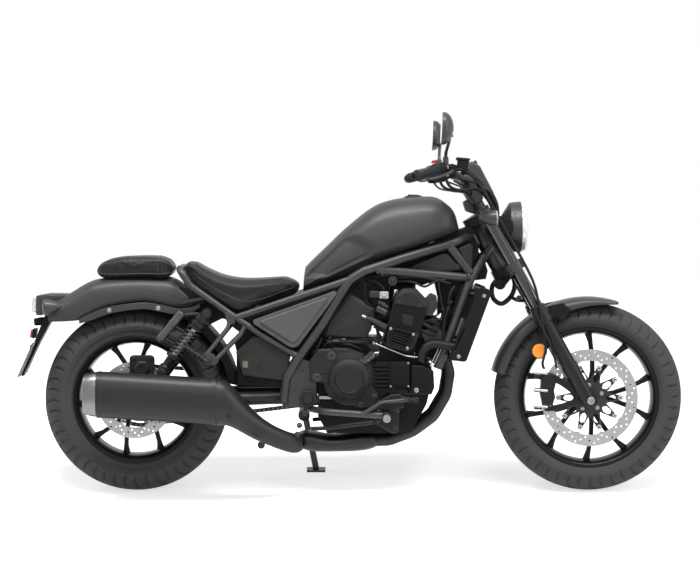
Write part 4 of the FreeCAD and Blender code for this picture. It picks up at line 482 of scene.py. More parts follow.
def polar(radius: float, angle: float, centre: Spot = (0, 0)) -> tuple[float, float]:
    """Return the point at a radius and an angle round a centre."""
    return centre[0] + radius * math.cos(angle), centre[1] + radius * math.sin(angle)


def turned_to(axis: Spot) -> Matrix:
    """Return the turn from upright to an axis."""
    return Vector((0, 0, 1)).rotation_difference(Vector(axis)).to_matrix()


def circle(centre: Spot, radius: float, count: int = 24) -> list[tuple[float, float]]:
    """Return the points of a round outline."""
    return [polar(radius, math.tau * number / count, centre) for number in range(count)]


def oval(half_width: float, half_height: float, fullness: float, count: int = 48) -> list[
        tuple[float, float]]:
    """Return an oval outline, squarer with less fullness, counter-clockwise about its centre."""
    ring = []
    for number in range(count):
        angle = math.tau * number / count
        across, up = math.cos(angle), math.sin(angle)
        ring.append((math.copysign(abs(across) ** fullness, across) * half_width,
                     math.copysign(abs(up) ** fullness, up) * half_height))
    return ring


def eased(values: Sequence[float], steps: int) -> list[float]:
    """Return values with smooth steps between them."""
    return [spot.x for spot in flowing([(value, 0) for value in values], steps)]


def between(low: Vector, high: Vector, rise: float, across: float) -> tuple[float, float, float]:
    """Return the point that lies a share of the way up from one side line to another."""
    return low.x + (high.x - low.x) * rise, across, low.y + (high.y - low.y) * rise


def arch(fullness: float, count: int) -> list[tuple[float, float]]:
    """Return the upper half of an oval of size 1."""
    return [(across, up) for across, up in oval(1.0, 1.0, fullness, count) if up >= -0.001]


class Form:
    """A mesh under construction, in the millimetres of one place."""

    def __init__(self, place: Matrix = BIKE) -> None:
        """Start empty.

        Args:
            place: The place whose frame its lengths are in.
        """
        self.place = place
        self.mesh = bmesh.new()
        self.finishes: list[Finish] = []

    def rings(self, rings: Sequence[Sequence[Spot]], capped: bool = True, looped: bool = False,
              round_ring: bool = True) -> "Form":
        """Skin a row of rings that have equally many points.

        Args:
            rings: The rings, in order.
            capped: Whether the two ends are closed.
            looped: Whether the last ring joins the first.
            round_ring: Whether each ring is closed.

        Returns:
            This form.
        """
        made = [[self.mesh.verts.new(spot) for spot in ring] for ring in rings]
        size = len(made[0])
        pairs = zip(made, made[1:] + made[:1]) if looped else zip(made, made[1:])
        for first, second in pairs:
            for number in range(size if round_ring else size - 1):
                following = (number + 1) % size
                self.mesh.faces.new((first[number], first[following], second[following], second[number]))
        if capped and not looped:
            self.mesh.faces.new(list(reversed(made[0])))
            self.mesh.faces.new(made[-1])
        return self

    def lathe(self, profile: Sequence[Spot], centre: Spot = (0, 0, 0), axis: Spot = (0, 1, 0),
              steps: int = 48, closed: bool = False, start: float = 0.0, sweep: float = math.tau) -> "Form":
        """Turn a profile about an axis.

        Args:
            profile: Its points as (along the axis, radius).
            centre: A point on the axis.
            axis: The axis's direction.
            steps: Runs round the axis.
            closed: Whether the profile is a closed ring.
            start: The first angle.
            sweep: The angle turned through.

        Returns:
            This form.
        """
        turn = turned_to(axis)
        middle = Vector(centre)
        whole = abs(sweep - math.tau) < 1e-6
        rings = []
        for number in range(steps if whole else steps + 1):
            angle = start + sweep * number / steps
            rings.append([middle + turn
                          @ Vector((max(radius, 0.001) * math.cos(angle),
                                    max(radius, 0.001) * math.sin(angle), along))
                          for along, radius in profile])
        return self.rings(rings, capped=not whole and closed, looped=whole, round_ring=closed)

    def tube(self, route: Sequence[Spot], radius: float | Sequence[float], sides: int = 14,
             flat: float = 1.0, capped: bool = True) -> "Form":
        """Sweep a round or flattened section along a route.

        Args:
            route: The points that it follows.
            radius: One radius, or one for each point.
            sides: Runs round the section.
            flat: The section's height as a share of its width.
            capped: Whether the ends are closed.

        Returns:
            This form.
        """
        spots = [Vector(spot) for spot in route]
        radii = radius if isinstance(radius, (list, tuple)) else [radius] * len(spots)
        side = None
        rings = []
        for number, spot in enumerate(spots):
            ahead = (spots[min(number + 1, len(spots) - 1)] - spots[max(number - 1, 0)]).normalized()
            if side is None:
                side = ahead.cross(Vector((0, 0, 1)) if abs(ahead.z) < 0.9
                                   else Vector((0, 1, 0))).normalized()
            side = (side - ahead * side.dot(ahead)).normalized()
            up = side.cross(ahead)
            rings.append([spot
                          + (side * math.cos(math.tau * n / sides)
                             + up * flat * math.sin(math.tau * n / sides)) * radii[number]
                          for n in range(sides)])
        return self.rings(rings, capped)

    def wire(self, points: Sequence[Spot], radius: float) -> "Form":
        """Add a cable that flows through points."""
        return self.tube(flowing(points, 7), radius, 10)

    def facets(self, corners: Sequence[Spot], faces: Sequence[Sequence[int]]) -> "Form":
        """Add flat faces between numbered corners."""
        made = [self.mesh.verts.new(corner) for corner in corners]
        for face in faces:
            self.mesh.faces.new([made[number] for number in face])
        return self

    def plate(self, outline: Sequence[Spot], low: float, high: float, bevel: float = 1.5,
              holes: Sequence[Sequence[Spot]] = (), steps: int = 2) -> "Form":
        """Add an upright flat piece with rounded edges.

        Args:
            outline: Its outline as (along, up).
            low: Where one face lies across the motorcycle.
            high: Where the other lies.
            bevel: The rounding of its edges.
            holes: The outlines cut through it.
            steps: Runs in a rounded edge.

        Returns:
            This form.
        """
        low, high = sorted((low, high))
        bevel = min(bevel, (high - low) * 0.48)
        curve = bpy.data.curves.new("outline", "CURVE")
        curve.dimensions = "2D"
        curve.fill_mode = "BOTH"
        curve.extrude = (high - low) / 2 - bevel
        curve.bevel_depth = bevel
        curve.bevel_resolution = steps - 1
        curve.offset = -bevel
        for ring in (outline, *holes):
            spline = curve.splines.new("POLY")
            spline.points.add(len(ring) - 1)
            for spot, (across, up) in zip(spline.points, ring):
                spot.co = (across, up, 0, 1)
            spline.use_cyclic_u = True
        holder = bpy.data.objects.new("outline", curve)
        made = bpy.data.meshes.new_from_object(holder)
        made.transform(UPRIGHT @ Matrix.Translation((0, 0, -(low + high) / 2)))
        self.mesh.from_mesh(made)
        bpy.data.objects.remove(holder)
        bpy.data.curves.remove(curve)
        bpy.data.meshes.remove(made)
        return self

    def block(self, low: Spot, high: Spot, bevel: float = 2.0) -> "Form":
        """Add a box with rounded edges between two corners."""
        outline = [(low[0], low[2]), (high[0], low[2]), (high[0], high[2]), (low[0], high[2])]
        return self.plate(rounded(outline, bevel * 1.6, 3), low[1], high[1], bevel)

    def bolt(self, centre: Spot, axis: Spot = (0, -1, 0), radius: float = 6.0,
             height: float = 5.0) -> "Form":
        """Add a socket-head bolt on a washer.

        Args:
            centre: The middle of its seat.
            axis: The way that its head stands.
            radius: The head's radius.
            height: The head's height.

        Returns:
            This form.
        """
        self.lathe([(-2, radius * 1.35), (height * 0.2, radius * 1.35), (height * 0.26, radius * 1.22),
                    (height * 0.28, radius), (height * 0.86, radius), (height, radius * 0.86),
                    (height, radius * 0.52)], centre, axis, 20)
        return self.lathe([(height, radius * 0.52), (height * 0.45, radius * 0.5), (height * 0.4, 0)],
                          centre, axis, 6)

    def bolt_row(self, spots: Iterable[Spot], side: int, reach: float, radius: float, height: float) -> None:
        """Add bolts that stand out of one side, at places given as (along, up)."""
        for along, up in spots:
            self.bolt((along, side * reach, up), (0, side, 0), radius, height)

    def moved(self, change: Callable[[Vector], Vector]) -> "Form":
        """Move each point by a rule."""
        for vert in self.mesh.verts:
            vert.co = change(vert.co)
        return self

    def solid(self, name: str, finish: Finish, replaces: str = "", body: Body = Body.CHASSIS,
              bevel: float = 0.0, subdivide: int = 0, sharp: float = 38.0) -> bpy.types.Object:
        """Close the form as a piece of the motorcycle.

        Args:
            name: The piece's name.
            finish: Its finish.
            replaces: The CAD node that it stands for, if any.
            body: The body that it rides on.
            bevel: The rounding of its sharp edges, in millimetres.
            subdivide: Levels of smoothing.
            sharp: The angle above which an edge stays sharp, in degrees.

        Returns:
            The piece.
        """
        bmesh.ops.remove_doubles(self.mesh, verts=self.mesh.verts, dist=0.02)
        bmesh.ops.recalc_face_normals(self.mesh, faces=self.mesh.faces)
        self.mesh.transform(self.place)
        data = bpy.data.meshes.new(name)
        self.mesh.to_mesh(data)
        self.mesh.free()
        smooth_shaded(data)
        if not subdivide:
            data.set_sharp_from_angle(angle=math.radians(sharp))
        data.materials.append(finish.material())
        piece = linked(name, data)
        if bevel:
            rounding = piece.modifiers.new("edges", "BEVEL")
            rounding.width = bevel * MILLIMETRE
            rounding.segments = 2
            rounding.angle_limit = math.radians(sharp)
        if subdivide:
            smoothing = piece.modifiers.new("smooth", "SUBSURF")
            smoothing.levels = smoothing.render_levels = subdivide
        else:
            weighting = piece.modifiers.new("normals", "WEIGHTED_NORMAL")
            weighting.keep_sharp = True
        if replaces:
            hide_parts(replaces)
        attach(piece, body.value)
        LOG.info("piece %s: %d faces", name, len(data.polygons))
        return piece


def smooth_shaded(data: bpy.types.Mesh) -> None:
    """Shade every face of a mesh smooth."""
    data.polygons.foreach_set("use_smooth", [True] * len(data.polygons))


def linked(name: str, data: bpy.types.ID) -> bpy.types.Object:
    """Put a mesh, lamp or camera in the scene as an object."""
    made = bpy.data.objects.new(name, data)
    bpy.context.scene.collection.objects.link(made)
    return made


def thicken(piece: bpy.types.Object) -> None:
    """Give a shell a wall 3 mm thick, inwards."""
    wall = piece.modifiers.new("wall", "SOLIDIFY")
    wall.thickness = 3 * MILLIMETRE
    wall.offset = -1


def dress_node(name: str, finish: Finish) -> None:
    """Give a CAD node that stays in view its finish.

    Args:
        name: The node's name.
        finish: Its finish.
    """
    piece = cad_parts[name]
    piece.data.materials.clear()
    piece.data.materials.append(finish.material())
    LOG.info("node %s: %s", name, finish.name)


@dataclass
class Wheel:
    """One cast wheel with its tyre and brake disc."""

    end: str
    place: Matrix
    body: Body
    tyre_radius: float
    half_width: float
    crown_drop: float
    bead_radius: float
    bead_half_width: float
    hub_radius: float
    hub_half_width: float
    spoke_depth: float
    stem_angle: float
    disc_radius: float
    disc_inner: float
    disc_place: float
    loops: int
    bobbin_circle: float

    def build(self) -> None:
        """Make the tyre, the wheel and the disc."""
        self.build_tyre()
        self.build_rim()
        self.build_disc()

    def groove(self, angle: float, across: float) -> float:
        """Tell how deep the tread is cut at a place.

        Args:
            angle: The place round the tyre.
            across: The place across it, from -1 to 1.

        Returns:
            The depth as a share, from 0 to 1.
        """
        count = 24
        side = 1 if across > 0 else -1
        reach = abs(across)
        if reach < 0.12 or reach > 0.94:
            return 0.0
        bend = 0.16 * math.sin(math.pi * reach * 0.75) + 0.05 * reach
        deep = 0.0
        for number, (first, last, shift) in enumerate(((0.12, 0.9, 0.0), (0.5, 0.94, 0.5))):
            if not first < reach < last:
                continue
            turn = (angle + bend) / math.tau * count + shift + (0.0 if side > 0 else 0.25)
            off = abs(turn - round(turn)) / count * math.tau * self.tyre_radius
            wide = 4.4 * min(1.0, (reach - first) * 9, (last - reach) * 9) + 0.4
            deep = max(deep, 1 - off / wide) if off < wide else deep
        return min(1.0, deep * 2.4)

    def build_tyre(self) -> None:
        """Make the tyre with its cut tread and plain sidewalls."""
        curve = (self.half_width ** 2 + self.crown_drop ** 2) / 2 / self.crown_drop
        edge = math.asin(self.half_width / curve)
        middle = self.tyre_radius - curve
        tread = [(curve * math.sin(edge * n / 13), middle + curve * math.cos(edge * n / 13), n / 13)
                 for n in range(-13, 14)]
        low = self.tyre_radius - self.crown_drop
        wall = [(self.half_width - 1, low - 3), (self.half_width - 1.5, low - 9),
                (self.half_width - 5, low - 17), (self.half_width - 6.5, low - 18),
                (self.half_width - 10, self.bead_radius + 12),
                (self.bead_half_width + 4, self.bead_radius + 6),
                (self.bead_half_width, self.bead_radius + 2)]
        profile = [(-across, radius, 2) for across, radius in reversed(wall)] + tread
        profile += [(across, radius, 2) for across, radius in wall]
        steps = 720
        rings = []
        for number in range(steps):
            angle = math.tau * number / steps
            ring = []
            for across, radius, share in profile:
                if abs(share) <= 1:
                    radius -= 6.5 * self.groove(angle, share)
                    across -= 1.6 * self.groove(angle, share) * share
                ring.append((radius * math.cos(angle), across, radius * math.sin(angle)))
            rings.append(ring)
        form = Form(self.place).rings(rings, looped=True, round_ring=False)
        form.solid(f"{self.end}_tyre_tread", TYRE, f"{self.end}_tyre", self.body)

    def build_rim(self) -> None:
        """Make the cast rim with its forked spokes and hub."""
        width, bead = self.bead_half_width, self.bead_radius
        form = Form(self.place)
        inner = bead - 14
        profile = [(-width - 6, bead + 16), (-width - 6, bead + 3), (-width - 3, bead - 6),
                   (-width + 8, inner + 2), (-width * 0.4, inner - 3), (width * 0.4, inner - 3),
                   (width - 8, inner + 2), (width + 3, bead - 6), (width + 6, bead + 3),
                   (width + 6, bead + 16), (width + 2, bead + 17), (width, bead + 1), (-width, bead + 1),
                   (-width - 2, bead + 17)]
        form.lathe(profile, steps=144, closed=True)
        reach = self.hub_half_width
        hub = self.hub_radius
        form.lathe([(-reach, hub * 0.5), (-reach, hub * 0.86), (-reach + 3, hub * 0.95), (-reach * 0.5, hub),
                    (reach * 0.5, hub), (reach - 3, hub * 0.95), (reach, hub * 0.86), (reach, hub * 0.5)],
                   steps=64, closed=True)
        half = self.spoke_depth / 2
        for number in range(5):
            stem = self.stem_angle + 72 * number
            for lean in SIDES:
                rings = []
                for share in (0.0, 0.12, 0.3, 0.55, 0.8, 0.93, 1.0):
                    radius = hub * 0.8 + (inner + 4 - hub * 0.8) * share
                    angle = math.radians(stem + lean * (3.5 + 15.5 * share))
                    wide = 8.2 + 6.0 * max(0.0, 1 - share * 5) + 7.0 * max(0.0, share - 0.86) / 0.14
                    deep = half * (1.25 - 0.35 * share)
                    ahead = Vector((math.cos(angle), 0, math.sin(angle)))
                    turn = Vector((-ahead.z, 0, ahead.x))
                    ring = [ahead * radius + turn * wide * across + Vector((0, deep * up, 0))
                            for across, up in oval(1.0, 1.0, 0.55, 12)]
                    rings.append(ring)
                form.rings(rings)
        form.solid(f"{self.end}_cast_wheel", WHEEL_PAINT, f"{self.end}_wheel_rim", self.body, sharp=45)

    def build_disc(self) -> None:
        """Make the drilled disc ring on its looped carrier."""
        low, high = -self.disc_place - 2.5, -self.disc_place + 2.5
        holes = []
        for number in range(60):
            angle = math.tau * number / 60
            row = (0.18, 0.5, 0.82, 0.5)[number % 4]
            radius = self.disc_inner + 3 + (self.disc_radius - self.disc_inner - 6) * row
            holes.append(circle(polar(radius, angle), 3.1, 10))
        inner = []
        for number in range(240):
            angle = math.tau * number / 240
            lug = 4.5 * max(0.0, math.cos(angle * self.loops)) ** 6
            inner.append(polar(self.disc_inner - lug, angle))
        ring = Form(self.place)
        ring.plate(circle((0, 0), self.disc_radius, 180), low, high, 0.7, [inner, *holes])
        ring.solid(f"{self.end}_disc_ring", DISC_STEEL, f"{self.end}_brake_disc", self.body, sharp=30)
        self.build_carrier(low, high)

    def build_carrier(self, low: float, high: float) -> None:
        """Make the carrier between the hub and the disc ring.

        Args:
            low: The disc's near face.
            high: The disc's far face.
        """
        form = Form(self.place)
        outer = []
        step = 360 / self.loops
        for number in range(self.loops):
            base = number * step
            for lean, share in ((-0.5, 0.56), (-0.36, 0.68), (-0.17, 0.9), (-0.1, 1.0), (0.1, 1.0),
                                (0.17, 0.9), (0.36, 0.68)):
                angle = math.radians(base + lean * step)
                radius = self.bobbin_circle * share + (9 if share == 1.0 else 0)
                outer.append(polar(radius, angle))
        holes = [circle((0, 0), self.hub_radius * 0.52, 32)]
        for number in range(self.loops):
            hole = []
            for lean, share in ((0.0, 0.5), (-0.25, 0.62), (-0.17, 0.8), (0.0, 0.86), (0.17, 0.8),
                                (0.25, 0.62)):
                angle = math.radians(number * step + lean * step)
                hole.append(polar(self.bobbin_circle * share, angle))
            holes.append(rounded(hole, 5, 3))
        form.plate(rounded(outer, 4, 3), low + 0.4, high - 0.4, 1.2, holes)
        bolts = Form(self.place)
        for number in range(self.loops):
            angle = math.radians(number * step)
            centre = (self.bobbin_circle * math.cos(angle), low - 0.2, self.bobbin_circle * math.sin(angle))
            bolts.lathe([(0, 8.6), (2.2, 8.2), (2.6, 7.4), (1.4, 4.6), (1.4, 2.6), (0, 2.4)], centre,
                        (0, -1, 0), 20)
        for number in range(5):
            angle = math.radians(number * 72 + 20)
            bolts.bolt((self.hub_radius * 1.25 * math.cos(angle), low,
                        self.hub_radius * 1.25 * math.sin(angle)), (0, -1, 0), 5, 5)
        form.solid(f"{self.end}_disc_carrier", DARK_STEEL, f"{self.end}_brake_disc", self.body)
        bolts.solid(f"{self.end}_disc_bobbins", BOLT_STEEL, f"{self.end}_brake_disc", self.body)


@dataclass
class FrontEnd:
    """The fork with its fender, caliper and reflectors."""

    spread: float = 105
    tube_radius: float = 21.5
    slider_radius: float = 26
    slider_top: float = 353
    fork_top: float = 722
    fender_radius: float = 336
    fender_half_width: float = 75

    def build(self) -> None:
        """Make the fork's own pieces and dress its clamps."""
        self.build_legs()
        self.build_fender()
        self.build_caliper()
        self.build_reflectors()
        self.build_hoses()
        dress_node("fork_clamps", FRAME_PAINT)
        dress_node("front_axle", BOLT_STEEL)
        dress_node("brake_hose", RUBBER)

    def build_legs(self) -> None:
        """Make the two polished tubes and the two cast sliders."""
        tubes = Form(FORK)
        for side in SIDES:
            radius = self.tube_radius
            tubes.lathe([(340, radius - 2), (344, radius), (self.fork_top - 3, radius),
                         (self.fork_top, radius - 2.5), (self.fork_top, 0)], (0, side * self.spread, 0),
                        (0, 0, 1), 40)
        tubes.solid("fork_inner_tubes", FORK_TUBE, "fork_tubes", Body.FORK)
        sliders = Form(FORK)
        for side in SIDES:
            wide = self.slider_radius
            sliders.lathe([(-24, 0), (-24, wide - 9), (-18, wide - 4), (20, wide - 1), (96, wide - 1),
                           (100, wide + 1.5), (128, wide + 1.5), (132, wide - 1.5), (288, wide - 1.5),
                           (293, wide + 2.5), (338, wide + 2.5), (341, wide + 0.5), (350, wide + 0.5),
                           (self.slider_top, wide - 2), (self.slider_top, self.tube_radius)],
                          (0, side * self.spread, 0), (0, 0, 1), 48)
            sliders.plate(rounded([(-14, -30), (26, -30), (34, -4), (22, 22), (-16, 24)], 10),
                          side * self.spread - 15, side * self.spread + 15, 3)
            sliders.bolt((9, side * (self.spread + 15), -5), (0, side, 0), 10, 6)
            for height in (300, 322):
                sliders.bolt((self.slider_radius + 1, side * self.spread, height), (1, 0, 0), 5, 4)
        sliders.solid("fork_outer_sliders", FORK_CAST, "fork_sliders", Body.FORK)

    def build_fender(self) -> None:
        """Make the front fender with its skirt tapering to a tip."""
        rings = []
        count = 44
        for number in range(count + 1):
            share = number / count
            angle = math.radians(73 + (165 - 73) * share)
            ahead = Vector((math.cos(angle), 0, math.sin(angle)))
            skirt = 9 + 33 * min(1.0, share * 2.6) ** 0.7
            rings.append([ahead * (self.fender_radius - skirt + skirt * drop)
                          + Vector((WHEELBASE, across * self.fender_half_width, FRONT_RADIUS))
                          for across, drop in arch(0.62, 36)])
        form = Form().rings(rings, capped=False, round_ring=False)
        piece = form.solid("front_fender_shell", TANK_PAINT, "front_fender", Body.FORK)
        thicken(piece)
        stays = Form(FORK)
        for side in SIDES:
            stays.plate(rounded([(14, 300), (60, 262), (96, 286), (84, 318), (30, 334)], 9), side * 84 - 4,
                        side * 84 + 4, 1.5)
            stays.bolt_row(((48, 284), (76, 296)), side, 88, 6, 4)
        stays.solid("front_fender_stays", PLASTIC, "front_fender", Body.FORK)

    def build_caliper(self) -> None:
        """Make the brake caliper with its arms to the axle."""
        arms = Form()
        arms.plate(rounded([(1500, 344), (1395, 398), (1352, 404), (1350, 392), (1420, 360), (1478, 318),
                            (1430, 300), (1368, 286), (1366, 274), (1400, 274), (1496, 296), (1528, 312),
                            (1526, 334)], 7), -98, -84, 3)
        arms.solid("caliper_arms", FORK_CAST, "front_caliper", Body.FORK)
        body = Form()
        body.plate(rounded([(1360, 296), (1392, 292), (1402, 320), (1398, 344), (1404, 366), (1398, 396),
                            (1366, 402), (1356, 380), (1352, 330)], 8), -108, -54, 5)
        for height in (388, 342, 284):
            body.lathe([(0, 7), (24, 7), (27, 5), (27, 0)], (1360, -84, height), (-1, 0, 0.05), 16)
        body.solid("caliper_body", FORK_CAST, "front_caliper", Body.FORK)
        pins = Form()
        for height in (400, 342, 288):
            pins.lathe([(0, 4.6), (46, 4.6), (50, 3), (50, 0)], (1376, -106, height), (-1, 0, 0.08), 14)
        pins.lathe([(0, 12), (7, 12), (8.5, 10.5), (8.5, 5.5), (3, 5), (3, 0)], (1517, -134, 312),
                   (0, -1, 0), 24)
        pins.solid("caliper_pins", BOLT_STEEL, "front_caliper", Body.FORK)

    def build_reflectors(self) -> None:
        """Make the round amber side reflectors with their cups."""
        lens, cups = Form(FORK), Form(FORK)
        for side in SIDES:
            centre = (-64, side * 105, 218)
            cups.lathe([(-6, 0), (-6, 22), (-2, 26), (7, 26.5), (8, 25), (8, 23.5)], centre, (0, side, 0),
                       40)
            lens.lathe([(8, 23.8), (11, 22.5), (12, 20), (12.6, 0)], centre, (0, side, 0), 40)
            cups.plate([(-50, 224), (-24, 232), (-24, 214), (-50, 206)], side * 103 - 3, side * 103 + 3, 1)
        cups.solid("reflector_cups", PLASTIC, "side_reflectors", Body.FORK)
        lens.solid("reflector_lenses", AMBER, "side_reflectors", Body.FORK)

    def build_hoses(self) -> None:
        """Make the loop of loom under the lower clamp, the lock and the clamps' bolts."""
        looms, lock, bolts = Form(), Form(), Form(FORK)
        looms.wire([(1268, -6, 722), (1274, -8, 690), (1262, -8, 654), (1230, -6, 628), (1202, -2, 646),
                    (1198, 0, 684), (1216, 0, 712)], 8)
        looms.wire([(1262, -12, 650), (1282, -40, 641), (1310, -84, 640), (1326, -100, 626)], 6)
        looms.wire([(1330, -138, 640), (1336, -144, 600), (1352, -146, 560), (1372, -142, 520),
                    (1392, -136, 470), (1404, -124, 420)], 3.4)
        looms.solid("fork_looms", RUBBER, body=Body.FORK)
        lock.lathe([(-24, 0), (-24, 15), (-20, 19), (14, 19), (18, 17), (19, 10), (17, 9), (17, 0)],
                   (1222, -34, 696), (0, -1, 0), 36)
        lock.plate(rounded([(1204, 690), (1232, 678), (1262, 716), (1248, 740), (1214, 718)], 6), -30, 20, 4)
        lock.solid("steering_lock_case", PLASTIC, body=Body.FORK)
        for side in SIDES:
            for height in (488, 504):
                bolts.bolt((-22, side * 134, height), (0, side, 0), 5, 5)
            bolts.bolt((-22, side * 134, 672), (0, side, 0), 5, 5)
            bolts.lathe([(0, 21.6), (2, 22.6), (8, 22.6), (10, 21.6)], (0, side * 105, 718), (0, 0, 1), 36)
        bolts.lathe([(0, 9), (3, 8.6), (3.4, 6), (2, 5.4), (2, 0)], (-36, -72, 402), (0, -1, 0), 24)
        bolts.solid("clamp_bolts", DARK_STEEL, body=Body.FORK)


@dataclass
class HeadLamp:
    """The round head lamp."""

    centre_height: float = 887
    lens_face: float = 1294

    def build(self) -> None:
        """Make the shell, the reflector and the lens."""
        shell = Form()
        centre = (self.lens_face, 0, self.centre_height)
        shell.lathe([(-73, 0), (-73, 26), (-71, 29), (-40, 79), (-36, 82.5), (-4, 86), (0, 85.4), (1, 83),
                     (1, 81)], centre, (1, 0, 0), 96)
        for height, side in ((930, -69.5), (850, -73)):
            shell.bolt((1272, side, height), (0.05, -1, 0.3 if height > 900 else -0.3), 4.6, 3)
        shell.solid("headlight_bowl", LAMP_SHELL, "headlight_shell", Body.FORK, sharp=30)
        bowl = Form()
        bowl.lathe([(-34, 0), (-33, 30), (-22, 58), (-6, 74), (3, 79)], centre, (1, 0, 0), 72)
        bowl.lathe([(-28, 27), (4, 25), (7, 22), (9, 0)], centre, (1, 0, 0), 48)
        bowl.lathe([(2, 80.5), (3, 77), (12, 76), (13, 80)], centre, (1, 0, 0), 96, closed=True)
        bowl.solid("headlight_reflector", CHROME, "headlight_lens", Body.FORK)
        lens = Form()
        lens.lathe([(1, 84), (8, 84.5), (15, 82.5), (19, 77), (21.5, 62), (23, 34), (23.4, 0)], centre,
                   (1, 0, 0), 96)
        lens.solid("headlight_glass", GLASS, "headlight_lens", Body.FORK)
        ears = Form()
        for side in SIDES:
            ears.plate(rounded([(1180, 884), (1262, 866), (1262, 908), (1180, 940)], 8), side * 92 - 4,
                       side * 92 + 4, 1.5)
        ears.solid("headlight_ears", PLASTIC, "headlight_shell", Body.FORK)


@dataclass
class TurnSignals:
    """The four bullet-shaped turn signals."""

    radius: float = 26

    def build(self) -> None:
        """Make the front and the rear pair."""
        self.build_pair("front_turn_signals", (1203, 168, 919), (-1, 0, -0.04), Body.FORK, 105)
        self.build_pair("rear_turn_signals", (-296, 136, 622), (1, 0, 0.04), Body.CHASSIS, 20)

    def build_pair(self, node: str, face: Spot, axis: Spot, body: Body, inner: float) -> None:
        """Make one pair of turn signals.

        Args:
            node: The CAD node that the pair stands for.
            face: The middle of the left lens.
            axis: The way from the lens to the tip.
            body: The body that the pair rides on.
            inner: How far out the stalks begin.
        """
        shells, lenses = Form(), Form()
        for side in SIDES:
            centre = (face[0], side * face[1], face[2])
            shells.lathe([(2, 22), (2, 25.5), (10, self.radius), (24, 23.5), (40, 16), (52, 7.5), (58, 2),
                          (59, 0)], centre, axis, 40)
            lenses.lathe([(2, 24.5), (-2, 23.5), (-4, 18), (-4.8, 0)], centre, axis, 36)
            back = Vector(centre) + Vector(axis).normalized() * 24
            shells.tube([back, (back.x, side * inner, back.z)], 8, 14)
        shells.solid(f"{node}_shells", LAMP_SHELL, node, body)
        lenses.solid(f"{node}_lenses", GLASS if node.startswith("front") else SMOKE, node, body)


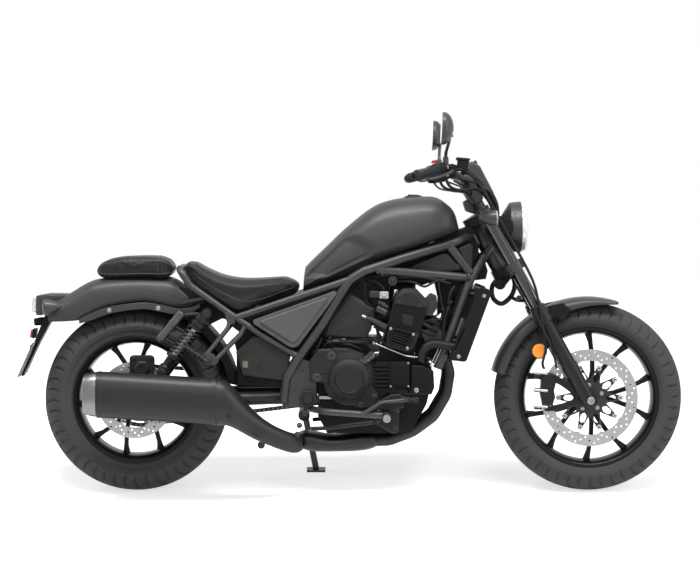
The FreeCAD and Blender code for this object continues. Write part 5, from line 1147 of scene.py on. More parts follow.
@dataclass
class Cockpit:
    """The handlebar with its controls, mirrors, looms and meter."""

    grip_radius: float = 17

    def build(self) -> None:
        """Make the grips, controls, mirrors, meter and looms."""
        dress_node("handlebar", FRAME_PAINT)
        self.build_grips()
        self.build_controls()
        self.build_mirrors()
        self.build_meter()
        self.build_looms()

    def build_grips(self) -> None:
        """Make the ribbed grips with bar ends."""
        grips, ends = Form(), Form()
        for side in SIDES:
            start, end = Vector((997, side * 304, 1073)), Vector((925, side * 418, 1054))
            length = (end - start).length
            way = (end - start).normalized()
            profile = [(0, 12), (0, 19.5), (4, 19.5), (6, self.grip_radius)]
            for number in range(16):
                profile += [(10 + number * 7, 16.8), (12 + number * 7, 15.4), (15 + number * 7, 15.4)]
            profile += [(length - 8, 16.6), (length - 6, 14), (length - 5, 13)]
            grips.lathe(profile, start, way, 36)
            ends.lathe([(length - 6, 15.6), (length - 1, 16), (length + 4, 14.5), (length + 6, 11),
                        (length + 5, 5), (length, 4.5), (length, 0)], start, way, 32)
        grips.solid("handlebar_grips", RUBBER, "grips", Body.FORK)
        ends.solid("bar_end_weights", FORK_CAST, "grips", Body.FORK)

    def build_controls(self) -> None:
        """Make the switch housings, levers, clamps and reservoir."""
        boxes, levers, switch, bolts = Form(), Form(), Form(), Form()
        for side in SIDES:
            start, end = Vector((1022, side * 258, 1079)), Vector((996, side * 304, 1073))
            axis = (end - start).normalized()
            boxes.lathe([(0, 12), (0, 19), (4, 23), (24, 24), (26, 22), (29, 22), (31, 25), (50, 24),
                         (54, 20), (54, 12)], start, axis, 32)
            boxes.block((988, side * 286 - 20, 1036), (1030, side * 286 + 20, 1072), 8)
            boxes.block((976, side * 292 - 13, 1058), (992, side * 292 + 13, 1074), 4)
            boxes.plate(rounded([(1024, 1046), (1064, 1050), (1066, 1086), (1046, 1096), (1026, 1090)], 6),
                        side * 262 - 16, side * 262 + 16, 4)
            levers.tube(flowing([(1046, side * 262, 1076), (1052, side * 282, 1074),
                                 (1036, side * 312, 1064), (1004, side * 356, 1052), (974, side * 398, 1045),
                                 (966, side * 408, 1047)], 6), [7, 7.4, 7.4, 7.2] + [7] * 25 + [9, 9], 12,
                        0.6)
            levers.lathe([(0, 10), (14, 10), (15, 8), (15, 0)], (1048, side * 258, 1068), (0, 0, 1), 24)
            bolts.bolt_row(((1034, 1060), (1034, 1084)), side, 279, 4, 4)
        levers.lathe([(0, 4), (30, 4), (34, 7), (40, 7), (42, 5), (42, 0)], (1040, -230, 1058),
                     (-1, -0.3, -0.5), 16)
        switch.plate(rounded([(980, 1096), (1002, 1100), (1000, 1109), (984, 1106)], 3), -300, -282, 2)
        boxes.block((1030, -266, 1072), (1088, -206, 1082), 4)
        boxes.plate(rounded([(1066, 1072), (1104, 1074), (1108, 1112), (1070, 1114)], 7), -262, -214, 7)
        boxes.plate(rounded([(1064, 1108), (1109, 1106), (1110, 1114), (1066, 1118)], 4), -265, -211, 3)
        boxes.solid("switch_housings", PLASTIC, "bar_controls", Body.FORK)
        levers.solid("hand_levers", FRAME_PAINT, "bar_controls", Body.FORK)
        bolts.solid("control_bolts", BOLT_STEEL, "bar_controls", Body.FORK)
        switch.solid("stop_switch", RED, "bar_controls", Body.FORK)

    def build_mirrors(self) -> None:
        """Make the oval mirrors on their stems."""
        shells, glasses, stems = Form(), Form(), Form()
        for side in SIDES:
            centre = Vector((1012, side * 395, 1207))
            rings = []
            for along, size in ((0, 0.97), (1, 1.0), (6, 1.02), (16, 0.95), (26, 0.76), (33, 0.5), (37, 0.2),
                                (38, 0.05)):
                rings.append([(centre.x + along + b * size * 0.05, centre.y + a * size, centre.z + b * size)
                              for a, b in oval(61, 52, 0.8, 48)])
            shells.rings(rings)
            glasses.rings([[(centre.x + shift + b * 0.05, centre.y + a * size, centre.z + b * size)
                            for a, b in oval(57, 48, 0.8, 48)]
                           for shift, size in ((-1.2, 1.0), (-1.6, 0.985))])
            stems.tube(bent([(1030, side * 262, 1092), (1030, side * 268, 1132), (1036, side * 356, 1164),
                             (1040, side * 384, 1190)], 26), 5.5, 14)
            stems.lathe([(0, 12), (6, 12), (8, 10), (30, 9.5), (34, 7), (34, 5)], (1030, side * 262, 1086),
                        (0, 0, 1), 18)
            stems.lathe([(0, 9), (16, 8), (18, 6)], (1041, side * 386, 1180), (-0.3, side * 0.3, 1), 16)
        shells.solid("mirror_shells", LAMP_SHELL, "mirrors", Body.FORK)
        glasses.solid("mirror_glasses", MIRROR, "mirrors", Body.FORK)
        stems.solid("mirror_stems", FRAME_PAINT, "mirrors", Body.FORK)

    def build_meter(self) -> None:
        """Make the round meter behind its wind-swept cowl."""
        cowl = Form()
        side = [(1110, 1080), (1118, 1103), (1130, 1108), (1154, 1094), (1203, 1000), (1196, 996),
                (1150, 1044)]
        rings = []
        for across, size in ((-56, 0.78), (-54, 0.9), (-48, 0.97), (-30, 1.0), (0, 1.03), (30, 1.0),
                             (48, 0.97), (54, 0.9), (56, 0.78)):
            middle = Vector((1150, 1056))
            rings.append([(middle.x + (spot[0] - middle.x) * size, across,
                           middle.y + (spot[1] - middle.y) * size) for spot in rounded(side, 7, 4)])
        cowl.rings(rings)
        cowl.solid("meter_cowl", LAMP_SHELL, "meter", Body.FORK, sharp=40)
        dial, marks, case = Form(), Form(), Form()
        axis, centre = Vector((-0.62, 0, 0.78)), Vector((1106, 0, 1082))
        case.lathe([(-34, 0), (-34, 22), (-22, 42), (-4, 48), (1, 48), (2.5, 45), (0.5, 43.5)], centre, axis,
                   64)
        case.plate(rounded([(1096, 1046), (1136, 1060), (1170, 1010), (1160, 980), (1128, 985)], 8), -20, 20,
                   5)
        case.solid("meter_case", PLASTIC, "meter", Body.FORK)
        dial.lathe([(0.5, 44), (1.2, 20), (1.4, 0)], centre, axis, 64)
        dial.solid("meter_dial", DIAL, "meter", Body.FORK)
        turn = turned_to(axis)
        for number in range(25):
            angle = math.radians(-30 + number * 10)
            reach = 36 if number % 4 else 32
            ahead = Vector((math.cos(angle), math.sin(angle), 0))
            marks.tube([centre + turn @ (ahead * reach + Vector((0, 0, 1.8))),
                        centre + turn @ (ahead * 41 + Vector((0, 0, 1.8)))], 0.9, 6)
        marks.solid("meter_marks", CHROME, "meter", Body.FORK)

    def build_looms(self) -> None:
        """Make the cables from the bar into the fork and the risers' clamps."""
        looms, clamps = Form(), Form()
        for side in SIDES:
            looms.wire([(1028, side * 262, 1052), (1046, side * 232, 1022), (1084, side * 170, 1010),
                        (1140, side * 92, 1016), (1178, side * 62, 990), (1200, side * 50, 948),
                        (1196, side * 40, 902)], 5)
            looms.wire([(1042, side * 246, 1072), (1080, side * 190, 1050), (1120, side * 110, 1040),
                        (1164, side * 70, 1026), (1192, side * 64, 982), (1206, side * 60, 940),
                        (1190, side * 52, 880)], 4)
            looms.wire([(1010, side * 280, 1040), (1030, side * 236, 1018), (1072, side * 150, 1008),
                        (1110, side * 84, 1000), (1140, side * 72, 962), (1150, side * 70, 926)], 3.2)
            looms.wire([(1060, side * 205, 1040), (1092, side * 130, 1026), (1120, side * 78, 1012),
                        (1128, side * 60, 972), (1146, side * 52, 940)], 3.2)
            clamps.plate(rounded([(1080, 1050), (1106, 1066), (1128, 1052), (1166, 984), (1148, 962),
                                  (1122, 966), (1092, 1018)], 9), side * 50 - 19, side * 50 + 19, 5)
            for spot, way in (((1120, 1058), (0.5, 0, 0.86)), ((1090, 1052), (-0.5, 0, 0.86))):
                for shift in (-9, 9):
                    clamps.bolt((spot[0] - 3, side * 50 + shift, spot[1]), way, 4.4, 5)
        looms.wire([(1164, -70, 1020), (1188, -78, 1004), (1207, -80, 966), (1212, -74, 928)], 6.5)
        looms.wire([(1104, -90, 1030), (1120, -30, 1034), (1110, 40, 1030), (1098, 96, 1028)], 4)
        clamps.plate(rounded([(1098, 972), (1136, 990), (1160, 960), (1140, 930), (1108, 940)], 8), -38, 38,
                     5)
        looms.solid("bar_cables", RUBBER, body=Body.FORK)
        clamps.solid("riser_clamps", FRAME_PAINT, body=Body.FORK)


@dataclass
class FuelTank:
    """The fuel tank with its knee recess, crease and cap."""

    half_width: float = 138
    recess_depth: float = 11

    def build(self) -> None:
        """Make the tank and its cap."""
        top = [(560, 671), (566, 742), (580, 765), (640, 823), (704, 884), (789, 951), (855, 978),
               (930, 988), (1002, 988), (1045, 964), (1070, 934), (1084, 880)]
        bottom = [(560, 670), (566, 668), (590, 674), (640, 694), (705, 723), (800, 761), (868, 787),
                  (930, 812), (1000, 840), (1036, 853), (1062, 864), (1083, 876)]
        widths = [0.44, 0.52, 0.6, 0.74, 0.86, 0.95, 0.99, 1.0, 0.97, 0.88, 0.74, 0.56]
        lines = [flowing(row, 8) for row in (top, bottom)]
        wide = eased(widths, 8)
        half = self.section()
        whole = half + [(-across, rise) for across, rise in reversed(half[1:-1])]
        rings = [[between(lower, upper, rise, across * self.half_width * share) for across, rise in whole]
                 for upper, lower, share in zip(*lines, wide)]
        tank = Form().rings(rings).moved(self.pressed)
        tank.solid("fuel_tank_shell", TANK_PAINT, "fuel_tank", sharp=34)
        cap = Form()
        cap.lathe([(-12, 38), (0, 38), (3, 36.5), (4, 33), (3, 30), (7, 27), (8.5, 22), (8.5, 0)],
                  (932, 0, 985), (-0.05, 0, 1), 64)
        cap.plate(rounded([(912, 991), (950, 990), (950, 996), (914, 997)], 2), -5, 5, 1.5)
        for angle in range(0, 360, 72):
            cap.bolt((932 + 31 * math.cos(math.radians(angle)), 31 * math.sin(math.radians(angle)), 988),
                     (0, 0, 1), 2.6, 2)
        cap.solid("fuel_cap_lid", FORK_CAST, "fuel_cap")

    def section(self) -> list[tuple[float, float]]:
        """Return the left half of the section as (share out, share up), its crease low on the flank."""
        under = flowing([(0, 0), (0.4, 0.0), (0.72, 0.05), (0.9, 0.17), (1.0, 0.3)], 5)
        over = flowing([(1.0, 0.3), (0.985, 0.42), (0.945, 0.56), (0.86, 0.73), (0.7, 0.88), (0.46, 0.965),
                        (0.2, 0.995), (0, 1.0)], 6)
        return [(spot.x, spot.y) for spot in under[:-1] + over]

    def pressed(self, spot: Vector) -> Vector:
        """Press the knee recess into the tank's flanks."""
        outline = [Vector(corner)
                   for corner in ((566, 716), (580, 742), (700, 856), (732, 860), (806, 822), (786, 786),
                                  (640, 716))]
        here = Vector((spot.x, spot.z))
        inside = 1e9
        for first, second in zip(outline, outline[1:] + outline[:1]):
            edge = second - first
            inside = min(inside, (edge.y * (here.x - first.x) - edge.x * (here.y - first.y)) / edge.length)
        share = max(0.0, min(1.0, inside / 15))
        press = self.recess_depth * share * share * (3 - 2 * share)
        return Vector((spot.x, spot.y - math.copysign(min(press, abs(spot.y)), spot.y), spot.z))


@dataclass
class Seats:
    """The rider's saddle and the pillion pad, swelled as soft goods."""

    half_width: float = 145
    pillion_half_width: float = 112
    voxel: float = 0.005
    swell: float = 0.005

    def build(self) -> None:
        """Make both seats with their seams and the pillion strap."""
        self.build_rider()
        self.build_pillion()

    def build_rider(self) -> None:
        """Make the saddle with its raised back and seam."""
        top = [(166, 757), (175, 773), (192, 774), (220, 753), (285, 723), (357, 710), (430, 711),
               (484, 715), (524, 716), (549, 700)]
        bottom = [(168, 744), (182, 722), (202, 696), (228, 670), (276, 632), (344, 596), (400, 611),
                  (450, 630), (502, 651), (546, 676)]
        widths = [0.5, 0.68, 0.8, 0.9, 0.98, 0.98, 0.9, 0.74, 0.58, 0.42]
        saddle = self.pad("rider_saddle", top, bottom, widths, self.half_width, 0.55, "rider_seat")
        low = [(196, 735), (226, 710), (270, 682), (330, 650), (372, 640), (430, 650), (480, 668),
               (526, 684)]
        high = [(190, 756), (222, 737), (280, 711), (350, 698), (420, 698), (474, 702), (512, 704)]
        self.seams("rider_saddle_seams", saddle, [low, high], 1.7)

    def build_pillion(self) -> None:
        """Make the pillion pad with its strap."""
        top = [(-134, 742), (-124, 760), (-104, 772), (-56, 782), (-14, 785), (44, 786), (86, 784),
               (108, 780), (122, 766), (128, 750)]
        bottom = [(-133, 732), (-125, 722), (-104, 714), (-56, 716), (-14, 718), (44, 719), (86, 718),
                  (106, 718), (119, 724), (126, 738)]
        widths = [0.5, 0.66, 0.78, 0.9, 0.96, 0.98, 0.96, 0.92, 0.82, 0.66]
        pad = self.pad("pillion_pad", top, bottom, widths, self.pillion_half_width, 0.5, "pillion_seat")
        low = [(-118, 732), (-66, 730), (0, 732), (54, 732), (94, 731), (118, 737)]
        high = [(-110, 762), (-56, 772), (-6, 776), (54, 777), (92, 774), (112, 762)]
        self.seams("pillion_pad_seams", pad, [low, high], 1.7)
        band = Form()
        for along in (76, 90):
            route = self.wrapped(pad, along)
            band.tube(route, 1.5, 8)
        band.solid("pillion_cross_seams", PIPING)

    def pad(self, name: str, top: Sequence[Spot], bottom: Sequence[Spot], widths: Sequence[float],
            half_width: float, fullness: float, node: str) -> bpy.types.Object:
        """Make one seat from its side view and its widths, and swell it.

        Args:
            name: The piece's name.
            top: Points along its upper line.
            bottom: Points along its lower line.
            widths: Its half widths there, as shares.
            half_width: The greatest half width.
            fullness: How round its sections are.
            node: The CAD node that it stands for.

        Returns:
            The seat.
        """
        upper, lower = flowing(top, 4), flowing(bottom, 4)
        shares = eased(widths, 4)
        rings = [[between(low, high, (up + 1) / 2, across * half_width * share * (0.86 + 0.14 * up ** 2))
                  for across, up in oval(1.0, 1.0, fullness, 48)]
                 for high, low, share in zip(upper, lower, shares)]
        piece = Form().rings(rings).solid(name, SEAT_HIDE, node, subdivide=1)
        self.fill(piece)
        return piece

    def fill(self, piece: bpy.types.Object) -> None:
        """Swell a seat with cloth under pressure, with its movement capped, and smooth it once.

        Args:
            piece: The seat.
        """
        remesh = piece.modifiers.new("voxels", "REMESH")
        remesh.mode = "VOXEL"
        remesh.voxel_size = self.voxel
        self.apply(piece)
        start = [vert.co.copy() for vert in piece.data.vertices]
        cloth = piece.modifiers.new("cloth", "CLOTH")
        cloth.settings.use_pressure = True
        cloth.settings.uniform_pressure_force = 4
        cloth.settings.effector_weights.gravity = 0
        cloth.settings.quality = 5
        cloth.point_cache.frame_start = 1
        cloth.point_cache.frame_end = 20
        scene = bpy.context.scene
        for number in range(1, 21):
            scene.frame_set(number)
        self.apply(piece)
        scene.frame_set(1)
        for vert, first in zip(piece.data.vertices, start):
            way = vert.co - first
            if way.length > self.swell:
                vert.co = first + way * (self.swell / way.length)
        smoothing = piece.modifiers.new("smooth", "SUBSURF")
        smoothing.levels = smoothing.render_levels = 1

    def apply(self, piece: bpy.types.Object) -> None:
        """Make a piece's modifiers part of its mesh.

        Args:
            piece: The piece.
        """
        shown = piece.evaluated_get(bpy.context.evaluated_depsgraph_get())
        made = bpy.data.meshes.new_from_object(shown)
        piece.modifiers.clear()
        old = piece.data
        piece.data = made
        bpy.data.meshes.remove(old)
        smooth_shaded(made)

    def seams(self, name: str, piece: bpy.types.Object, lines: Sequence[Sequence[Spot]],
              radius: float) -> None:
        """Lay piping on both flanks of a seat.

        Args:
            name: The piping's name.
            piece: The seat that carries it.
            lines: The lines in side view.
            radius: The piping's radius.
        """
        form = Form()
        for line in lines:
            for side in SIDES:
                route = [self.touch(piece, Vector((spot.x, side * 400, spot.y)), Vector((0, -side, 0)))
                         for spot in flowing(line, 6)]
                form.tube([spot for spot in route if spot], radius, 8)
        form.solid(name, PIPING)

    def wrapped(self, piece: bpy.types.Object, along: float) -> list[Vector]:
        """Return a line over the top of a seat, from side to side.

        Args:
            piece: The seat.
            along: Where it crosses.

        Returns:
            The points of the line.
        """
        spots = []
        for number in range(29):
            angle = math.radians(-20 + 220 * number / 28)
            way = Vector((0, math.cos(angle), math.sin(angle)))
            spot = self.touch(piece, Vector((along, 0, 752)) + way * 300, -way)
            if spot:
                spots.append(spot)
        return spots

    def touch(self, piece: bpy.types.Object, start: Vector, way: Vector) -> Vector | None:
        """Find where a line first meets a seat.

        Args:
            piece: The seat.
            start: The start of the line.
            way: Its direction.

        Returns:
            The place, or None where the line misses.
        """
        shown = piece.evaluated_get(bpy.context.evaluated_depsgraph_get())
        found, place, _, _ = shown.ray_cast(BIKE @ start, (BIKE.to_3x3() @ way).normalized())
        return BIKE.inverted() @ place if found else None


@dataclass
class Tail:
    """The rear fender with the tail lamp and the plate."""

    half_width: float = 100

    def build(self) -> None:
        """Make the fender, its rails, the lamp and the plate bracket."""
        self.build_fender()
        self.build_rails()
        self.build_lamp()
        self.build_bracket()

    def build_fender(self) -> None:
        """Make the rear fender's shell."""
        top = [(-296, 640), (-270, 642), (-222, 666), (-180, 692), (-139, 710), (-70, 719), (11, 722),
               (70, 721), (120, 716), (165, 686), (192, 640)]
        low = [(-288, 572), (-240, 573), (-184, 578), (-150, 596), (-120, 612), (-70, 628), (20, 641),
               (80, 632), (143, 616), (170, 618), (192, 626)]
        upper, lower = flowing(top, 6), flowing(low, 6)
        rings = [[between(base, high, rise, across * self.half_width) for across, rise in arch(0.55, 60)]
                 for high, base in zip(upper, lower)]
        form = Form().rings(rings, capped=False, round_ring=False)
        piece = form.solid("rear_fender_shell", TANK_PAINT, "rear_fender")
        thicken(piece)

    def build_rails(self) -> None:
        """Make the rails along the fender's lower edge with their bolts."""
        rails, bolts = Form(), Form()
        over = flowing([(-186, 580), (-150, 599), (-84, 623), (20, 637), (80, 631), (143, 617), (190, 622),
                        (214, 632)], 5)
        under = flowing([(222, 620), (190, 602), (146, 594), (78, 607), (20, 614), (-78, 600), (-146, 576),
                         (-184, 566)], 5)
        outline = [(spot.x, spot.y) for spot in over + under]
        for side in SIDES:
            rails.plate(outline, side * 94, side * 107, 3)
            bolts.bolt_row(((-84, 611), (79, 618)), side, 107, 5.4, 4)
        rails.solid("fender_rails", FRAME_PAINT, "rear_fender")
        bolts.solid("fender_rail_bolts", BOLT_STEEL, "rear_fender")

    def build_lamp(self) -> None:
        """Make the tail lamp."""
        lamp = Form()
        lamp.plate(rounded([(-332, 594), (-272, 590), (-222, 640), (-218, 662), (-300, 663), (-332, 655)],
                           8), -50, 50, 6)
        lamp.plate(rounded([(-336, 592), (-318, 590), (-318, 660), (-336, 656)], 4), -51, 51, 4)
        lamp.solid("tail_lamp_housing", LAMP_SHELL, "tail_lamp")
        lens, bulbs = Form(), Form()
        lens.plate(rounded([(-350, 602), (-334, 598), (-334, 651), (-349, 648)], 5), -46, 46, 5)
        lens.solid("tail_lamp_glass", PALE_LENS, "tail_lamp_lens")
        bulbs.plate(rounded([(-351.5, 614), (-340, 612), (-340, 638), (-351, 636)], 3), -34, 34, 3)
        bulbs.solid("tail_lamp_centre", RED, "tail_lamp_lens")

    def build_bracket(self) -> None:
        """Make the plate bracket's detail and dress the blank plate."""
        dress_node("plate_bracket", PLASTIC)
        dress_node("number_plate", BLANK)
        red, stay, bolts = Form(), Form(), Form()
        red.plate(rounded([(-361, 514), (-353, 515), (-349, 540), (-357, 541)], 2), -22, 22, 2)
        red.solid("rear_reflector", RED)
        stay.plate(rounded([(-354, 512), (-344, 512), (-338, 544), (-350, 545)], 3), -25, 25, 2)
        stay.lathe([(0, 0), (0, 12), (26, 14), (40, 13), (44, 9), (44, 0)], (-348, 0, 566), (1, 0, 0.1), 24)
        stay.solid("plate_lamp", PLASTIC)
        for across in (-62, 62):
            bolts.bolt((-351, across, 488), (-1, 0, 0.4), 4.5, 3)
        bolts.solid("plate_bolts", DARK_STEEL)


@dataclass
class MainFrame:
    """The tubular frame, rear loop, swingarm, side covers and shocks."""

    shock_side: float = 137

    def build(self) -> None:
        """Dress the frame and make the shocks, the covers and the frame's fittings."""
        for name in ("main_frame", "rear_frame"):
            dress_node(name, FRAME_PAINT)
        dress_node("swingarm", FORK_CAST)
        dress_node("rear_axle", BOLT_STEEL)
        self.build_shocks()
        self.build_covers()
        self.build_panels()
        self.build_fillers()
        self.build_fittings()

    def build_shocks(self) -> None:
        """Make the shocks with springs and reservoirs."""
        bodies, springs, rods, bolts, pots = Form(), Form(), Form(), Form(), Form()
        for side in SIDES:
            y = side * self.shock_side
            top, low = Vector((243, y, 603)), Vector((95, y, 410))
            axis = (low - top).normalized()
            length = (low - top).length
            bodies.lathe([(-6, 0), (-6, 16), (14, 18), (16, 23), (34, 23), (35, 20), (39, 20), (40, 26),
                          (52, 26), (53, 22), (57, 22), (58, 26), (66, 26), (68, 20)], top, axis, 40)
            bodies.lathe([(length - 66, 12), (length - 64, 25), (length - 56, 26), (length - 52, 17),
                          (length - 24, 15), (length - 18, 20), (length, 20), (length, 0)], top, axis, 36)
            rods.lathe([(60, 11), (length - 40, 11)], top, axis, 24)
            bodies.lathe([(-24, 0), (-24, 17), (24, 17), (24, 0)], top, (0, 1, 0), 24)
            bodies.lathe([(-22, 0), (-22, 16), (22, 16), (22, 0)], low, (0, 1, 0), 24)
            bolts.bolt((top.x, y + side * 23, top.z), (0, side, 0), 9, 4)
            bolts.bolt((low.x, y + side * 21, low.z), (0, side, 0), 9, 4)
            first, last = Vector((160, y, 604)), Vector((84, y, 512))
            way = (last - first).normalized()
            pots.lathe([(-2, 0), (-2, 12), (2, 15.5), (12, 15.5), (14, 14.3), (44, 14.3), (45, 15.5),
                        (51, 15.5), (52, 14.3), (90, 14.3), (92, 15.5), (112, 15.5), (114, 13.5),
                        (120, 12.5), (121, 0)], first, way, 32)
            bodies.tube(bent([(172, y, 596), (200, y, 600), (224, y, 596)], 12), 8, 12)
            for share in (0.42, 0.86):
                spot = first + way * 121 * share
                bodies.tube([spot, spot + Vector((40, 0, -24))], 5, 10)
            turn = turned_to(axis)
            coil = []
            for number in range(8 * 24 + 1):
                share = number / (8 * 24)
                angle = math.tau * 8 * share
                coil.append(top + turn
                            @ Vector((21 * math.cos(angle), 21 * math.sin(angle),
                                      70 + (length - 134) * share)))
            springs.tube(coil, 4.4, 10)
        bodies.solid("shock_bodies", FORK_CAST, "shocks")
        rods.solid("shock_rods", BOLT_STEEL, "shocks")
        bolts.solid("shock_bolts", DARK_STEEL, "shocks")
        springs.solid("shock_springs", DARK_STEEL, "shocks")
        pots.solid("shock_reservoirs", POT_METAL, "shocks")

    def build_covers(self) -> None:
        """Make the side covers, each a panel with a raised face."""
        form = Form()
        outline = rounded([(396, 580), (668, 677), (677, 668), (546, 494), (530, 488), (515, 492),
                           (398, 567)], 7)
        face = rounded([(413, 575), (653, 661), (543, 512), (531, 506), (519, 509)], 7)
        for side in SIDES:
            form.plate(outline, side * 118, side * 146, 4)
            form.plate(face, side * 140, side * 152, 5, steps=4)
        form.solid("side_cover_panels", PANEL_GREY, "side_covers")

    def build_panels(self) -> None:
        """Make the two panels that close the frame's corners beside the tank."""
        form, bolts = Form(), Form()
        rear = rounded([(905, 751), (1021, 799), (1044, 799), (1094, 744), (995, 736)], 8)
        front = rounded([(1079, 817), (1120, 834), (1129, 824), (1126, 754), (1116, 740)], 8)
        for side in SIDES:
            for outline in (rear, front):
                form.plate(outline, side * 78, side * 92, 5, steps=3)
            bolts.bolt((1077, side * 92, 756), (0, side, 0), 5, 4)
        form.solid("frame_corner_panels", COVER_PLASTIC, "side_covers")
        bolts.solid("corner_panel_bolts", DARK_STEEL, "side_covers")

    def build_fillers(self) -> None:
        """Make the inner mudguard, the tray, the battery's panel, and dark sheets behind the frame that
        paint shade into its gaps.
        """
        inner, panel, window = Form(), Form(), Form()
        axle = (0, REAR_RADIUS)
        arc = [polar(345, math.radians(turn), axle) for turn in range(8, 70, 4)]
        arc += [polar(316, math.radians(turn), axle) for turn in range(66, 7, -4)]
        # Apart from the inner mudguard, the tray and the battery's panel, most outlines here are dark sheets
        # of painted shade that fill gaps seen through the frame.
        for outline, half in ((arc, 84),
                              ([(196, 640), (240, 650), (330, 596), (322, 570), (290, 581), (248, 560),
                                (218, 585)], 60),
                              ([(566, 662), (640, 690), (700, 722), (800, 764), (1000, 836), (1068, 872),
                                (1112, 889), (1150, 884), (1150, 800), (1124, 734), (1000, 724), (826, 726),
                                (730, 706), (700, 690), (640, 672)], 48),
                              ([(330, 596), (424, 532), (400, 526), (340, 470), (332, 500), (352, 534),
                                (318, 560)], 88),
                              ([(150, 690), (206, 676), (246, 650), (226, 626), (180, 618)], 92),
                              ([(848, 706), (942, 710), (938, 682), (868, 676), (862, 640), (852, 590)], 30),
                              ([(1000, 710), (1020, 708), (1030, 600), (1012, 590), (1014, 650)], 30),
                              ([(1136, 822), (1170, 780), (1182, 740), (1176, 712), (1128, 706),
                                (1118, 740)], 24),
                              ([(935, 522), (1000, 532), (1036, 556), (1026, 500), (1004, 440), (940, 430)],
                               40),
                              ([(740, 702), (700, 692), (640, 590), (600, 520), (566, 450), (610, 450),
                                (650, 520), (740, 650)], 60),
                              ([(718, 712), (858, 728), (858, 672), (836, 580), (806, 564), (808, 625),
                                (732, 660)], 34),
                              ([(1016, 706), (1112, 716), (1088, 640), (1054, 556), (1026, 566), (1034, 600),
                                (1028, 650)], 40),
                              ([(930, 520), (1000, 528), (1010, 550), (1000, 578), (986, 600), (950, 590)],
                               40),
                              ([(350, 588), (560, 652), (690, 702), (674, 650), (552, 462), (430, 526)],
                               104)):
            inner.plate(outline, -half, half, 3)
        inner.solid("frame_inner_and_shade_panels", PLASTIC)
        for side in SIDES:
            for outline, low, high in (([
                                            (339, 474), (396, 526), (424, 518), (520, 460), (498, 379),
                                            (459, 383), (361, 394), (344, 456)], 100, 124),
                                       ([(346, 456), (419, 456), (433, 443), (457, 384), (363, 397)], 120,
                                        128)):
                panel.plate(rounded(outline, 4), side * low, side * high, 1.5)
            window.plate(rounded([(361, 421), (379, 421), (379, 443), (361, 443)], 4), side * 126,
                         side * 129, 1)
            panel.bolt((418, side * 128, 426), (0, side, 0), 6, 3)
        panel.solid("battery_panel", COVER_PLASTIC, "battery_box")
        window.solid("battery_window", WINDOW)

    def build_fittings(self) -> None:
        """Make the pivot caps, lugs, weld beads and bolts on the frame."""
        caps, bolts, beads = Form(), Form(), Form()
        for side in SIDES:
            caps.lathe([(0, 28), (8, 28), (10, 26), (10, 18), (15, 17), (17, 15), (17, 0)],
                       (579, side * 143, 319), (0, side, 0), 40)
            for spot, wide in (((569, 271), 7), ((544, 202), 7), ((535, 346), 5), ((560, 416), 5)):
                bolts.bolt((spot[0], side * 147, spot[1]), (0, side, 0), wide, 5)
            for centre, axis, wide in (
                    ((1140, side * 62, 845), (0.9, side * -0.1, 0.42), 21),
                    ((1114, side * 92, 722), (0.96, 0, -0.08), 14),
                    ((826, side * 118, 738), (0.96, 0, -0.08), 14)):
                beads.lathe([(-4, wide), (-2, wide + 1.6), (0, wide + 2), (2, wide + 1.6), (4, wide)],
                            centre, axis, 30)
        block = Form()
        block.plate(rounded([(-16, 382), (-16, 462), (68, 462), (68, 382)], 16), -116, -107, 4)
        block.lathe([(0, 27), (6, 26), (9, 22), (9, 12), (7, 10), (7, 0)], (26, -116, 418), (0, -1, 0), 6)
        for spot in ((-4, 450), (56, 450), (56, 394)):
            block.bolt((spot[0], -116, spot[1]), (0, -1, 0), 6, 5)
        block.solid("rear_caliper_face", FORK_CAST)
        caps.solid("pivot_caps", COVER_PAINT)
        bolts.solid("frame_bolts", DARK_STEEL)
        beads.solid("weld_beads", FRAME_PAINT)


